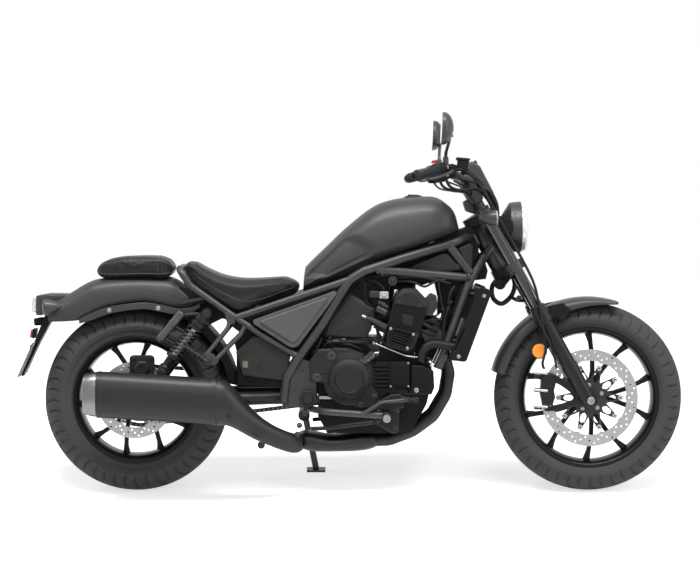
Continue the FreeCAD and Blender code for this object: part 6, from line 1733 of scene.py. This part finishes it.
@dataclass
class Engine:
    """The parallel-twin power unit with its throttles and wiring."""

    near: float = -95

    def build(self) -> None:
        """Make the covers, the barrel, the head and what hangs on them."""
        dress_node("crankcase", ENGINE_PAINT)
        dress_node("throttle_bodies", FORK_CAST)
        self.build_right_cover()
        self.build_left_cover()
        self.build_barrel()
        self.build_head()
        self.build_boxes()
        self.build_intake()
        self.build_wiring()

    def build_right_cover(self) -> None:
        """Make the right cover with its round clutch cap."""
        form, bolts = Form(), Form()
        form.plate(rounded([(630, 372), (634, 470), (664, 488), (712, 486), (760, 470), (800, 436),
                            (826, 392), (832, 345), (812, 336), (806, 288), (738, 290), (706, 308),
                            (660, 336)], 12), -134, self.near, 6)
        form.lathe([(0, 90), (8, 90), (13, 86), (16, 76), (18, 69), (30, 68), (37, 65), (43, 54), (44.5, 49),
                    (50, 47.5), (53, 44.5), (53.3, 43), (52.5, 42), (52.5, 0)], (716, -128, 386), (0, -1, 0),
                   96)
        form.plate(rounded([(586, 376), (584, 446), (612, 484), (660, 486), (688, 436), (668, 420),
                            (656, 396), (668, 368)], 11), -152, -124, 6, steps=3)
        form.block((596, -155, 406), (652, -150, 412), 2)
        form.plate(rounded([(736, 300), (796, 290), (812, 300), (812, 336), (782, 366), (756, 330)], 8),
                   -146, -128, 4)
        form.plate(rounded([(782, 372), (838, 364), (912, 352), (998, 352), (988, 332), (906, 330),
                            (838, 338), (800, 300)], 7), -128, self.near, 4)
        form.solid("clutch_cover", COVER_PAINT, "right_engine_cover", sharp=32)
        for spot, reach, wide in (
                ((657, 463), 152, 11),
                ((608, 392), 152, 11),
                ((799, 327), 146, 6.5),
                ((753, 301), 146, 6.5),
                ((812, 398), 134, 5),
                ((772, 462), 134, 5),
                ((700, 480), 134, 5),
                ((646, 352), 134, 5)):
            bolts.bolt((spot[0], -reach, spot[1]), (0, -1, 0), wide, 5)
        bolts.solid("clutch_cover_bolts", FRAME_PAINT, "right_engine_cover")
        filler = Form()
        filler.lathe([(-8, 10), (-4, 14), (0, 16.5), (10, 16.5), (11, 14.5), (16, 14.5), (17, 16.5),
                      (30, 16.5), (31, 14.5), (35, 14.5), (36, 16.5), (50, 16.5), (53, 14), (54, 0)],
                     (757, -138, 438), (0.78, -0.06, 0.62), 32)
        filler.solid("oil_filter_case", FORK_TUBE, "right_engine_cover")

    def build_left_cover(self) -> None:
        """Make the left cover with its round alternator cap and sprocket shield."""
        form, bolts = Form(), Form()
        form.plate(rounded([(632, 300), (640, 430), (680, 452), (780, 450), (850, 400), (850, 320),
                            (800, 256), (680, 252)], 18), 95, 138, 7)
        form.lathe([(0, 78), (12, 78), (16, 73), (18, 62), (22, 58), (24, 40), (22, 38), (22, 0)],
                   (768, 137, 350), (0, 1, 0), 72)
        for number in range(8):
            angle = math.radians(45 * number + 20)
            bolts.bolt((768 + 86 * math.cos(angle), 138, 350 + 86 * math.sin(angle)), (0, 1, 0), 5.5, 5)
        for spot in ((646, 320), (650, 420), (690, 440)):
            bolts.bolt((spot[0], 138, spot[1]), (0, 1, 0), 5.5, 5)
        form.solid("left_cover", COVER_PAINT, "left_engine_cover")
        bolts.solid("left_cover_bolts", DARK_STEEL, "left_engine_cover")

    def build_barrel(self) -> None:
        """Make the cylinder block's ledges over its CAD form."""
        dress_node("cylinder_block", ENGINE_PAINT)
        form = Form()
        for side in SIDES:
            form.plate(rounded([(836, 492), (908, 470), (930, 486), (946, 524), (976, 614), (864, 640),
                                (846, 560)], 7), side * 108, side * 127, 6)
            form.plate(rounded([(890, 600), (930, 592), (924, 556), (892, 566)], 5), side * 122, side * 131,
                       2.5)
        for number in range(7):
            form.block((846 + number * 3, -131, 480 + number * 8), (848 + number * 3, 131, 484 + number * 8),
                       1)
        form.solid("cylinder_sides", COVER_PAINT)

    def build_head(self) -> None:
        """Make the faceted head cover on the leaning cylinders."""
        form, bolts = Form(), Form()
        outline = [(860, 630), (869, 660), (892, 684), (923, 685), (941, 679), (978, 641), (976, 616)]
        ridge = [(872, 634), (878, 656), (898, 668), (918, 668), (934, 662), (962, 634), (962, 622)]
        form.rings([[(x, y, z) for x, z in shape]
                    for y, shape in ((-133, ridge), (-126, outline), (-60, outline), (60, outline),
                                     (126, outline), (133, ridge))])
        form.solid("head_cover_shell", COVER_PAINT, "head_cover", bevel=2.5, sharp=20)
        for side in SIDES:
            bolts.bolt_row(((882, 640), (948, 628)), side, 132, 5, 4)
        for spot in ((884, -84, 677), (884, 84, 677), (930, -70, 684), (930, 70, 684), (905, 0, 686)):
            bolts.bolt(spot, (-0.2, 0, 1), 6, 5)
        bolts.solid("head_cover_bolts", DARK_STEEL, "head_cover")

    def build_boxes(self) -> None:
        """Make the grille, the ribbed regulator, the front cover and the battery box."""
        form, screws = Form(), Form()
        frame_line = [(857, 557), (932, 536), (909, 482), (843, 505)]
        middle = Vector((885, 520))
        hole = [tuple(middle + (Vector(spot) - middle) * 0.74) for spot in frame_line]
        form.plate(rounded(frame_line, 5), -147, -100, 2, [rounded(hole, 3)])
        form.plate(rounded(frame_line, 4), -134, -100, 2)
        for share in (0.2, 0.4, 0.6, 0.8):
            first = Vector(hole[0]).lerp(Vector(hole[3]), share)
            second = Vector(hole[1]).lerp(Vector(hole[2]), share)
            form.tube([(first.x, -141, first.y), (second.x, -141, second.y)], 3, 8)
        for number in range(6):
            low = 358 + number * 13.6
            form.block((790, -147, low), (852, -96, low + 7), 2)
        form.block((798, -138, 354), (852, -96, 440), 3)
        form.block((848, -149, 356), (916, -98, 442), 3)
        form.block((854, -152, 364), (910, -146, 434), 2.5)
        form.plate(rounded([(920, 430), (958, 429), (995, 411), (998, 356), (988, 333), (908, 337),
                            (918, 352)], 7), -144, -96, 5, steps=3)
        form.solid("ribbed_covers", ENGINE_PAINT, "ribbed_boxes")
        for spot, reach, wide in (
                ((911, 361), 151, 2.6),
                ((911, 438), 149, 2.6),
                ((853, 361), 151, 2.6),
                ((938, 348), 144, 6),
                ((853, 552), 147, 3.4),
                ((928, 533), 147, 3.4),
                ((908, 487), 147, 3.4)):
            screws.bolt((spot[0], -reach, spot[1]), (0, -1, 0), wide, 3)
        screws.solid("box_screws", BOLT_STEEL, "ribbed_boxes")
        battery = Form()
        battery.block((340, -112, 352), (512, 112, 490), 8)
        for height in (362, 374, 386):
            battery.block((372, -116, height), (500, 116, height + 5), 2)
        battery.solid("battery_tray", PLASTIC, "battery_box")

    def build_intake(self) -> None:
        """Make the faceted intake cover and the air box above the throttles."""
        form = Form()
        outline = [(640, 570), (716, 664), (722, 666), (804, 617), (789, 546), (770, 514), (634, 522),
                   (628, 536)]
        upper = [(651, 570), (720, 654), (790, 614), (752, 572), (708, 592)]
        lower = [(640, 536), (651, 570), (708, 592), (752, 572), (778, 550), (764, 522), (640, 530)]
        for side in SIDES:
            form.rings([[(x, side * y, z) for x, z in outline] for y in (60, 104)], capped=True)
            points = [(x, side * 106, z) for x, z in outline]
            points += [(655, side * 114, 576), (720, side * 114, 654), (792, side * 114, 614),
                       (776, side * 112, 550), (762, side * 112, 522), (640, side * 112, 530),
                       (748, side * 122, 571), (712, side * 114, 590), (655, side * 114, 575)]
            faces = [(0, 1, 9, 8), (1, 2, 9), (2, 3, 10, 9), (3, 4, 11, 10), (4, 5, 12, 11), (5, 6, 13, 12),
                     (6, 7, 13), (7, 0, 8, 13), (8, 9, 10, 14, 15), (10, 11, 14), (14, 11, 12, 13),
                     (15, 14, 13), (8, 15, 13)]
            form.facets(points, faces)
        form.solid("intake_shells", COVER_PLASTIC, "intake_cover", bevel=1.6, sharp=14)
        box = Form()
        box.plate(rounded([(721, 652), (728, 714), (862, 749), (1006, 749), (1006, 700), (866, 693),
                           (790, 622)], 9), -61, 61, 8, steps=3)
        box.plate(rounded([(740, 700), (860, 733), (996, 734), (996, 716), (866, 712), (748, 676)], 5), -66,
                  66, 3)
        box.solid("air_box", PLASTIC, "intake_cover")

    def build_wiring(self) -> None:
        """Make the looms, hoses, plugs, rods and sensors round the head."""
        looms, plugs, rods, dark = Form(), Form(), Form(), Form()
        for points, wide in (
                ([(724, -96, 704), (742, -108, 712), (766, -112, 704), (768, -112, 664), (776, -112, 636),
                  (800, -106, 622)], 3),
                ([(770, -100, 716), (800, -112, 708), (826, -116, 690), (832, -116, 668)], 3.4),
                ([(800, -96, 720), (846, -104, 728), (896, -108, 722), (950, -110, 722), (1010, -110, 712),
                  (1050, -104, 700)], 5),
                ([(852, -90, 700), (880, -104, 708), (930, -112, 704), (966, -112, 690), (1000, -112, 706),
                  (1044, -104, 716)], 4),
                ([(1012, -112, 704), (1016, -118, 676), (1022, -118, 640), (1030, -118, 606),
                  (1018, -116, 584), (990, -114, 580), (962, -112, 574)], 3),
                ([(938, -108, 584), (964, -114, 566), (990, -112, 552), (1010, -104, 540)], 7),
                ([(944, -110, 552), (974, -116, 536), (1004, -110, 528)], 5),
                ([(786, -104, 600), (804, -116, 566), (812, -118, 530), (826, -116, 506), (850, -112, 486)],
                 5),
                ([(800, -104, 560), (820, -112, 548), (842, -108, 540)], 8),
                ([(790, -100, 500), (776, -112, 506), (740, -114, 504), (690, -112, 506), (640, -112, 500),
                  (622, -108, 470)], 4),
                ([(636, -104, 512), (680, -112, 514), (730, -112, 510), (780, -110, 516), (804, -106, 508)],
                 3),
                ([(670, -100, 492), (712, -116, 498), (748, -112, 484), (764, -104, 470)], 3.4),
                ([(944, -106, 470), (976, -116, 452), (1010, -112, 440), (1030, -106, 470),
                  (1036, -100, 520)], 4),
                ([(1056, -92, 640), (1044, -108, 616), (1032, -110, 570), (1030, -106, 520),
                  (1020, -104, 470)], 5),
                ([(1066, -100, 690), (1052, -112, 668), (1046, -112, 640), (1052, -104, 610)], 4),
                ([(624, -118, 520), (616, -124, 500), (606, -126, 480), (594, -124, 470)], 4),
                ([(618, -100, 300), (606, -112, 330), (604, -116, 372), (596, -112, 404)], 4)):
            looms.wire(points, wide)
            looms.wire([(x, -y, z) for x, y, z in points], wide)
        looms.solid("engine_looms", RUBBER)
        plugs.block((816, -130, 650), (846, -104, 674), 3)
        plugs.block((822, -134, 656), (838, -128, 668), 2)
        plugs.solid("sensor_plug", PALE_PLASTIC)
        dark.block((782, -128, 654), (816, -100, 676), 4)
        dark.lathe([(0, 15.5), (3, 15.5), (4, 13), (3, 9), (7, 8), (8, 4), (6, 3), (6, 0)], (860, -123, 709),
                   (0, -1, 0), 32)
        dark.lathe([(0, 8), (14, 8), (16, 10), (24, 10), (25, 7), (36, 7), (36, 0)], (812, -118, 640),
                   (0.8, 0, -0.5), 20)
        dark.tube([(770, -138, 589), (784, -138, 583), (796, -136, 578), (818, -132, 566), (836, -126, 556)],
                  [5.5, 7, 9, 10.5, 12], 20)
        dark.lathe([(0, 12), (6, 14), (12, 12), (18, 14), (24, 12), (30, 14), (36, 12), (40, 0)],
                   (806, -122, 618), (0.8, 0, -0.4), 20)
        dark.plate(rounded([(944, 600), (960, 640), (986, 668), (1006, 660), (1010, 620), (990, 590)], 8),
                   -112, -60, 5)
        dark.plate(rounded([(950, 540), (1000, 560), (1030, 540), (1030, 500), (970, 500)], 10), -100, 100,
                   6)
        dark.block((700, -92, 470), (820, 92, 520), 8)
        dark.solid("engine_fittings", DARK_STEEL)
        rods.tube([(757, -138, 595), (762, -138, 593), (772, -138, 588)], [2.5, 5.4, 5.4], 16)
        rods.tube([(800, -124, 502), (906, -124, 459)], 3, 12)
        rods.lathe([(-7, 0), (-6, 4), (0, 7.5), (6, 4), (7, 0)], (797, -124, 503), (0, 1, 0), 16)
        rods.tube([(906, -124, 459), (930, -122, 456), (952, -118, 455)], 3, 12)
        for shift in (0, 10):
            rods.tube([(984 + shift, -118, 424), (1012 + shift, -118, 484)], 1.8, 8)
        rods.block((614, -122, 316), (664, -116, 326), 2)
        rods.solid("linkage_rods", BOLT_STEEL)


@dataclass
class Cooling:
    """The radiator with its shrouds, fan and hose."""

    half_width: float = 146

    def build(self) -> None:
        """Make the core's fins, the shrouds and the fan's ribs."""
        dress_node("radiator", CORE)
        dress_node("coolant_hose", RUBBER)
        self.build_shrouds()
        self.build_ribs()

    def build_shrouds(self) -> None:
        """Make the slotted side panels."""
        form, bolts = Form(), Form()
        outline = rounded([(1150, 693), (1186, 679), (1183, 664), (1103, 446), (1094, 443), (1046, 449),
                           (1047, 462)], 7)
        slots = [rounded([(1133, 664), (1138, 662), (1101, 570), (1096, 572)], 1.5, 2),
                 rounded([(1091, 557), (1096, 555), (1066, 482), (1061, 484)], 1.5, 2)]
        for side in SIDES:
            form.plate(outline, side * 154, side * 170, 4, slots, steps=3)
            form.plate(rounded([(1142, 684), (1176, 672), (1094, 452), (1056, 458)], 6),
                       side * self.half_width, side * 158, 3)
            bolts.bolt_row(((1161, 661), (1077, 461)), side, 169, 5, 4)
        form.solid("radiator_side_panels", PLASTIC, "radiator_shrouds")
        bolts.solid("radiator_panel_bolts", BOLT_STEEL, "radiator_shrouds")

    def build_ribs(self) -> None:
        """Make the fan's cage behind the core and the core's fins in front."""
        cage, fins = Form(), Form()
        back, up = Vector((-0.93, 0, 0.37)), Vector((0.37, 0, 0.93))
        centre = Vector((1082, 0, 638))
        for number in range(18):
            angle = math.tau * number / 18
            out = Vector((0, math.cos(angle), 0)) + up * math.sin(angle)
            cage.tube([centre + back * 26 + out * 18, centre + back * 22 + out * 44, centre + out * 62], 2.4,
                      8)
        for radius, depth in ((62, 4), (44, 22), (18, 26)):
            cage.tube([centre + back * depth
                       + (Vector((0, math.cos(math.tau * n / 40), 0))
                          + up * math.sin(math.tau * n / 40)) * radius for n in range(41)], 2.6, 8)
        cage.solid("fan_cage", PLASTIC)
        front, low = Vector((1178, 0, 672)), Vector((1098, 0, 452))
        for number in range(44):
            spot = low.lerp(front, (number + 0.5) / 44)
            fins.tube([spot + Vector((-9, -132, 3.5)), spot + Vector((-9, 132, 3.5))], 1.5, 6)
        fins.solid("radiator_fins", CORE)


@dataclass
class Exhaust:
    """The pipes, the cover and the oval silencer."""

    side: float = -222

    def build(self) -> None:
        """Make the pipes, cover, silencer and end cap."""
        dress_node("exhaust_pipes", EXHAUST)
        dress_node("exhaust_cover", EXHAUST)
        body = Form()
        stations = [(-109, 415, 266), (-106, 416, 265), (-60, 414, 262), (100, 404, 253), (262, 394, 243),
                    (264, 396, 241), (280, 395, 240), (282, 391, 243)]
        body.rings([[(x, self.side + a, (high + low) / 2 + b)
                     for a, b in oval(55, (high - low) / 2, 0.8, 96)] for x, high, low in stations])
        body.solid("silencer_body", EXHAUST, "muffler", sharp=25)
        cap = Form()
        cap.rings([[(x, self.side + a * size, 341 + b * size) for a, b in oval(54, 74, 0.8, 96)]
                   for x, size in ((-106, 0.98), (-110, 0.99), (-120, 0.985), (-134, 0.95), (-146, 0.9),
                                   (-153, 0.86), (-155, 0.83), (-154, 0.79), (-146, 0.76))])
        cap.solid("silencer_end_cap", END_CAP, "muffler_cap", sharp=25)
        outlet = Form()
        outlet.lathe([(0, 24), (11, 24), (11, 20), (-4, 20), (-4, 0)], (-148, self.side, 330), (-1, 0, 0),
                     40)
        outlet.solid("silencer_outlet", DARK_STEEL, "muffler_cap")
        self.build_joints()

    def build_joints(self) -> None:
        """Make the clamps, collars and hangers."""
        collars, bolts = Form(), Form()
        collars.rings([[(x, self.side + a * size, 340 + b * size) for a, b in oval(55, 75, 0.8, 96)]
                       for x, size in ((-112, 0.99), (-110, 1.015), (-96, 1.02), (-94, 0.99))])
        collars.lathe([(-2, 0), (-2, 12), (14, 12), (16, 10), (16, 0)], (428, -240, 178), (0, -1, 0), 24)
        collars.solid("exhaust_collars", EXHAUST)
        for spot in ((449, -246, 208), (330, -276, 262)):
            bolts.bolt(spot, (0, -1, 0), 6.5, 4)
        bolts.solid("exhaust_bolts", DARK_STEEL)


@dataclass
class Footwork:
    """The pegs, pedals and side stand."""

    peg_along: float = 837
    peg_side: float = 246
    peg_height: float = 271

    def build(self) -> None:
        """Dress the brackets and make the ribbed pegs and the pedals."""
        dress_node("foot_controls", FRAME_PAINT)
        dress_node("side_stand", FRAME_PAINT)
        self.build_pegs()
        self.build_pedals()
        self.build_pillion_pegs()

    def build_pegs(self) -> None:
        """Make the rider's ribbed pegs."""
        pegs, ends = Form(), Form()
        for side in SIDES:
            root = (self.peg_along, side * self.peg_side, self.peg_height)
            profile = [(0, 9), (0, 14)]
            for number in range(7):
                profile += [(4 + number * 10, 15.4), (9 + number * 10, 15.4), (10 + number * 10, 12.6),
                            (13 + number * 10, 12.6)]
            profile += [(76, 15.2), (78, 12)]
            pegs.lathe(profile, root, (0, side, 0), 32)
            ends.lathe([(74, 12), (78, 12.5), (80, 11), (80, 7), (77, 6), (77, 0)], root, (0, side, 0), 32)
            ends.lathe([(-24, 9), (2, 9)], root, (0, side, 0), 20)
        pegs.solid("rider_peg_rubbers", RUBBER, "rider_pegs")
        ends.solid("rider_peg_ends", BOLT_STEEL, "rider_pegs")

    def build_pedals(self) -> None:
        """Make the pedal castings, the bracket's lower tube and its bolts."""
        cast, pads, bolts = Form(), Form(), Form()
        for side in SIDES:
            cast.plate(rounded([(806, 316), (837, 332), (852, 340), (886, 343), (890, 322), (898, 300),
                                (862, 286), (824, 288), (806, 300)], 7), side * 206, side * 226, 4, steps=3)
            cast.plate(rounded([(798, 292), (880, 290), (876, 214), (860, 210), (796, 244)], 9), side * 172,
                       side * 204, 4)
            cast.tube(bent([(590, side * 152, 221), (640, side * 164, 224), (796, side * 188, 246)], 40), 7,
                      14)
            pads.tube(flowing([(880, side * 216, 330), (904, side * 232, 327), (937, side * 250, 321)], 4),
                      9, 14, 0.8)
            for number in range(5):
                pads.lathe([(0, 10.2), (3, 10.2)],
                           (892 + number * 9, side * (224 + number * 5), 328 - number * 1.6),
                           (0.85, side * 0.5, -0.12), 18)
            for spot, reach in (
                    ((813, 286), 226),
                    ((873, 288), 226),
                    ((846, 318), 226),
                    ((866, 232), 204),
                    ((812, 252), 204)):
                bolts.bolt((spot[0], side * reach, spot[1]), (0, side, 0), 5.5, 4)
        cast.solid("pedal_castings", FORK_CAST)
        pads.solid("pedal_pads", RUBBER)
        bolts.solid("pedal_bolts", DARK_STEEL)

    def build_pillion_pegs(self) -> None:
        """Make the pillion pegs' rubbers over their brackets."""
        rubbers, stays, bolts = Form(), Form(), Form()
        for side in SIDES:
            stays.tube([(322, side * 140, 580), (312, side * 148, 552), (240, side * 176, 462)], 7.5, 16)
            stays.tube([(368, side * 140, 560), (356, side * 148, 532), (270, side * 176, 446)], 7.5, 16)
            stays.plate(rounded([(222, 462), (244, 480), (268, 470), (288, 448), (272, 430), (240, 430)], 7),
                        side * 168, side * 184, 4)
            stays.plate(rounded([(300, 612), (340, 590), (336, 566), (312, 566)], 6), side * 132, side * 150,
                        3)
            stays.tube([(246, side * 184, 446), (172, side * 184, 496)], 6, 14)
            for number in range(6):
                spot = Vector((236 - number * 11, side * 184, 452.8 + number * 7.4))
                rubbers.lathe([(0, 11), (7.5, 11)], spot, (-0.829, 0, 0.56), 24)
            bolts.bolt((256, side * 186, 448), (0, side, 0), 6, 4)
        rubbers.solid("pillion_peg_ribs", RUBBER, "passenger_pegs")
        stays.solid("pillion_peg_stays", FRAME_PAINT, "passenger_pegs")
        bolts.solid("pillion_peg_bolts", DARK_STEEL, "passenger_pegs")


@dataclass
class Drive:
    """The chain with its links and the rear sprocket."""

    line: float = 104
    rear: tuple[float, float, float] = (0, 310, 102)
    front: tuple[float, float, float] = (661, 325, 36)
    pitch: float = 15.875

    def build(self) -> None:
        """Dress the sprocket and lay the links along the chain."""
        dress_node("rear_sprocket", DISC_STEEL)
        links, rollers = Form(), Form()
        route = self.route()
        length = sum((second - first).length for first, second in zip(route, route[1:] + route[:1]))
        count = 2 * round(length / self.pitch / 2)
        spots = self.spread(route, length, count)
        for number, spot in enumerate(spots):
            following = spots[(number + 1) % count]
            way = following - spot
            outer = number % 2
            for side in SIDES:
                inner_face = 3.6 if not outer else 5.4
                low, high = sorted((self.line + side * inner_face, self.line + side * (inner_face + 1.6)))
                ring = []
                lean = math.atan2(way.y, way.x)
                for turn in range(16):
                    angle = math.tau * turn / 16
                    wide = 6.4
                    centre = following if math.cos(angle) > 0 else spot
                    ring.append((centre.x + wide * math.cos(angle + lean),
                                 centre.y + wide * math.sin(angle + lean)))
                links.rings([[(x, low, z) for x, z in ring], [(x, high, z) for x, z in ring]])
            rollers.lathe([(-7.6, 0), (-7.6, 2.6), (7.6, 2.6), (7.6, 0)], (spot.x, self.line, spot.y),
                          (0, 1, 0), 10)
            rollers.lathe([(-3.5, 0), (-3.5, 5), (3.5, 5), (3.5, 0)], (spot.x, self.line, spot.y), (0, 1, 0),
                          12)
        links.solid("chain_links", DARK_STEEL, "drive_chain")
        rollers.solid("chain_rollers", BOLT_STEEL, "drive_chain")

    def route(self) -> list[Vector]:
        """Return the chain's pitch line round both sprockets as (along, up)."""
        rear, front = Vector(self.rear[:2]), Vector(self.front[:2])
        way = front - rear
        slope = math.atan2(way.y, way.x)
        tilt = math.acos((self.rear[2] - self.front[2]) / way.length)
        spots = []
        for number in range(61):
            angle = slope + tilt + (math.tau - 2 * tilt) * number / 60
            spots.append(rear + Vector((math.cos(angle), math.sin(angle))) * self.rear[2])
        for number in range(31):
            angle = slope - tilt + 2 * tilt * number / 30
            spots.append(front + Vector((math.cos(angle), math.sin(angle))) * self.front[2])
        return spots

    def spread(self, route: Sequence[Vector], length: float, count: int) -> list[Vector]:
        """Space points evenly along a closed line.

        Args:
            route: The line's corners.
            length: Its length.
            count: How many points.

        Returns:
            The points.
        """
        spots, walked, step = [], 0.0, length / count
        for first, second in zip(route, list(route[1:]) + [route[0]]):
            run = (second - first).length
            while run and len(spots) * step < walked + run and len(spots) < count:
                spots.append(first.lerp(second, (len(spots) * step - walked) / run))
            walked += run
        return spots


@dataclass
class Studio:
    """The floor, the light and the camera of the photograph."""

    focal_pixels: float = 2220
    distance: float = 7500
    photo_width: float = 700
    photo_height: float = 564
    eye_row: float = 200
    eye_along: float = 718
    eye_height: float = 978
    sensor: float = 36.0
    floor_half: float = 14.0

    def build(self) -> None:
        """Make the floor, backdrop, light and camera."""
        self.build_floor()
        self.build_light()
        self.build_camera()

    def build_floor(self) -> None:
        """Make the pale floor, which turns to the backdrop's white away from the motorcycle."""
        form = Form(Matrix.Identity(4))
        edges = (-self.floor_half, self.floor_half)
        form.rings([[(x, y, 0) for y in edges] for x in edges], capped=False, round_ring=False)
        data = bpy.data.meshes.new("studio_floor")
        form.mesh.to_mesh(data)
        form.mesh.free()
        smooth_shaded(data)
        made = bpy.data.materials.new("studio_white")
        graph = Graph(made)
        away = graph.signal("ShaderNodeVectorMath", {"operation": "LENGTH"}, {0: graph.place}, "Value")
        outer = graph.signal("ShaderNodeMapRange", {"interpolation_type": "SMOOTHSTEP"},
                             {"Value": away, "From Min": 1.4, "From Max": 4.2})
        grain = graph.noise(3.0, 2)
        paper = graph.signal("ShaderNodeBsdfDiffuse", {},
                             {"Color": graph.blend(grain, (0.8, 0.8, 0.8), (0.84, 0.84, 0.84))})
        white = graph.signal("ShaderNodeEmission", {}, {"Color": (1, 1, 1, 1), "Strength": 0.66})
        both = graph.signal("ShaderNodeAddShader", {}, {0: paper, 1: white})
        far = graph.signal("ShaderNodeEmission", {}, {"Color": (1, 1, 1, 1), "Strength": 1.0})
        both = graph.signal("ShaderNodeMixShader", {}, {0: outer, 1: both, 2: far})
        shown = graph.signal("ShaderNodeMixShader", {}, {0: graph.looked_at(), 1: paper, 2: both})
        graph.node("ShaderNodeOutputMaterial", {}, {"Surface": shown})
        data.materials.append(made)
        linked("studio_floor", data)

    def build_light(self) -> None:
        """Light the motorcycle softly from above, with strips along its side."""
        world = bpy.data.worlds.new("studio_air")
        bpy.context.scene.world = world
        graph = Graph(world)
        air, sight = (graph.signal("ShaderNodeBackground", {}, {"Color": (1, 1, 1, 1), "Strength": strength})
                      for strength in (0.16, 1.0))
        shown = graph.signal("ShaderNodeMixShader", {}, {0: graph.looked_at(), 1: air, 2: sight})
        graph.node("ShaderNodeOutputWorld", {}, {"Surface": shown})
        self.lamp("overhead", (0.0, -1.2, 4.0), (0, 0, 0.5), 4.6, 0.8, 260)
        self.lamp("near_side", (0.4, -5.0, 3.9), (0, 0, 0.6), 5.0, 1.0, 46)
        self.lamp("front_side", (4.2, -1.6, 2.2), (0.2, 0, 0.6), 1.6, 3.0, 55)
        self.lamp("rear_side", (-4.2, 0.4, 2.4), (0, 0, 0.6), 1.6, 3.0, 45)

    def lamp(self, name: str, place: Spot, aim: Spot, wide: float, high: float, power: float) -> None:
        """Add one soft lamp.

        Args:
            name: Its name.
            place: Where it stands, in metres.
            aim: What it points at, in metres.
            wide: Its width in metres.
            high: Its height in metres.
            power: Its power in watts.
        """
        data = bpy.data.lights.new(name, "AREA")
        data.shape = "RECTANGLE"
        data.size = wide
        data.size_y = high
        data.energy = power
        lamp = linked(name, data)
        lamp.location = place
        lamp.rotation_euler = (Vector(aim) - Vector(place)).to_track_quat("-Z", "Y").to_euler()

    def build_camera(self) -> None:
        """Stand the camera where the photograph was taken."""
        data = bpy.data.cameras.new("photo_camera")
        data.sensor_fit = "HORIZONTAL"
        data.sensor_width = self.sensor
        data.lens = self.focal_pixels / self.photo_width * self.sensor
        data.shift_y = -(self.photo_height / 2 - self.eye_row) / self.photo_width
        data.clip_end = 100
        camera = linked("photo_camera", data)
        stand = Vector((self.eye_along, -self.distance, self.eye_height))
        eye = BIKE @ stand
        ahead = (BIKE @ Vector((self.eye_along, 0, self.eye_height)) - eye).normalized()
        up = (BIKE @ (stand + Vector((0, 0, 1000))) - eye).normalized()
        right = ahead.cross(up)
        turn = Matrix((right, up, -ahead)).transposed().to_4x4()
        camera.matrix_world = Matrix.Translation(eye) @ turn
        bpy.context.scene.camera = camera
        bpy.context.scene.view_settings.view_transform = "Standard"


def main() -> None:
    """Dress the motorcycle from the ground up and keep its sizes."""
    logging.basicConfig(level=logging.INFO, format="%(message)s")
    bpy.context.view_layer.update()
    front = Wheel("front", FRONT_HUB, Body.FRONT_WHEEL, tyre_radius=FRONT_RADIUS, half_width=65,
                  crown_drop=52, bead_radius=229, bead_half_width=44, hub_radius=34, hub_half_width=58,
                  spoke_depth=24, stem_angle=71, disc_radius=162, disc_inner=124, disc_place=66, loops=10,
                  bobbin_circle=103)
    rear = Wheel("rear", REAR_HUB, Body.REAR_WHEEL, tyre_radius=REAR_RADIUS, half_width=90, crown_drop=62,
                 bead_radius=203, bead_half_width=64, hub_radius=44, hub_half_width=74, spoke_depth=30,
                 stem_angle=97, disc_radius=128, disc_inner=92, disc_place=82, loops=6, bobbin_circle=78)
    for assembly in (front, rear, FrontEnd(), HeadLamp(), TurnSignals(), Cockpit(), FuelTank(), Seats(),
                     Tail(), MainFrame(), Engine(), Cooling(), Exhaust(), Footwork(), Drive(), Studio()):
        assembly.build()


if __name__ == "__main__":
    main()
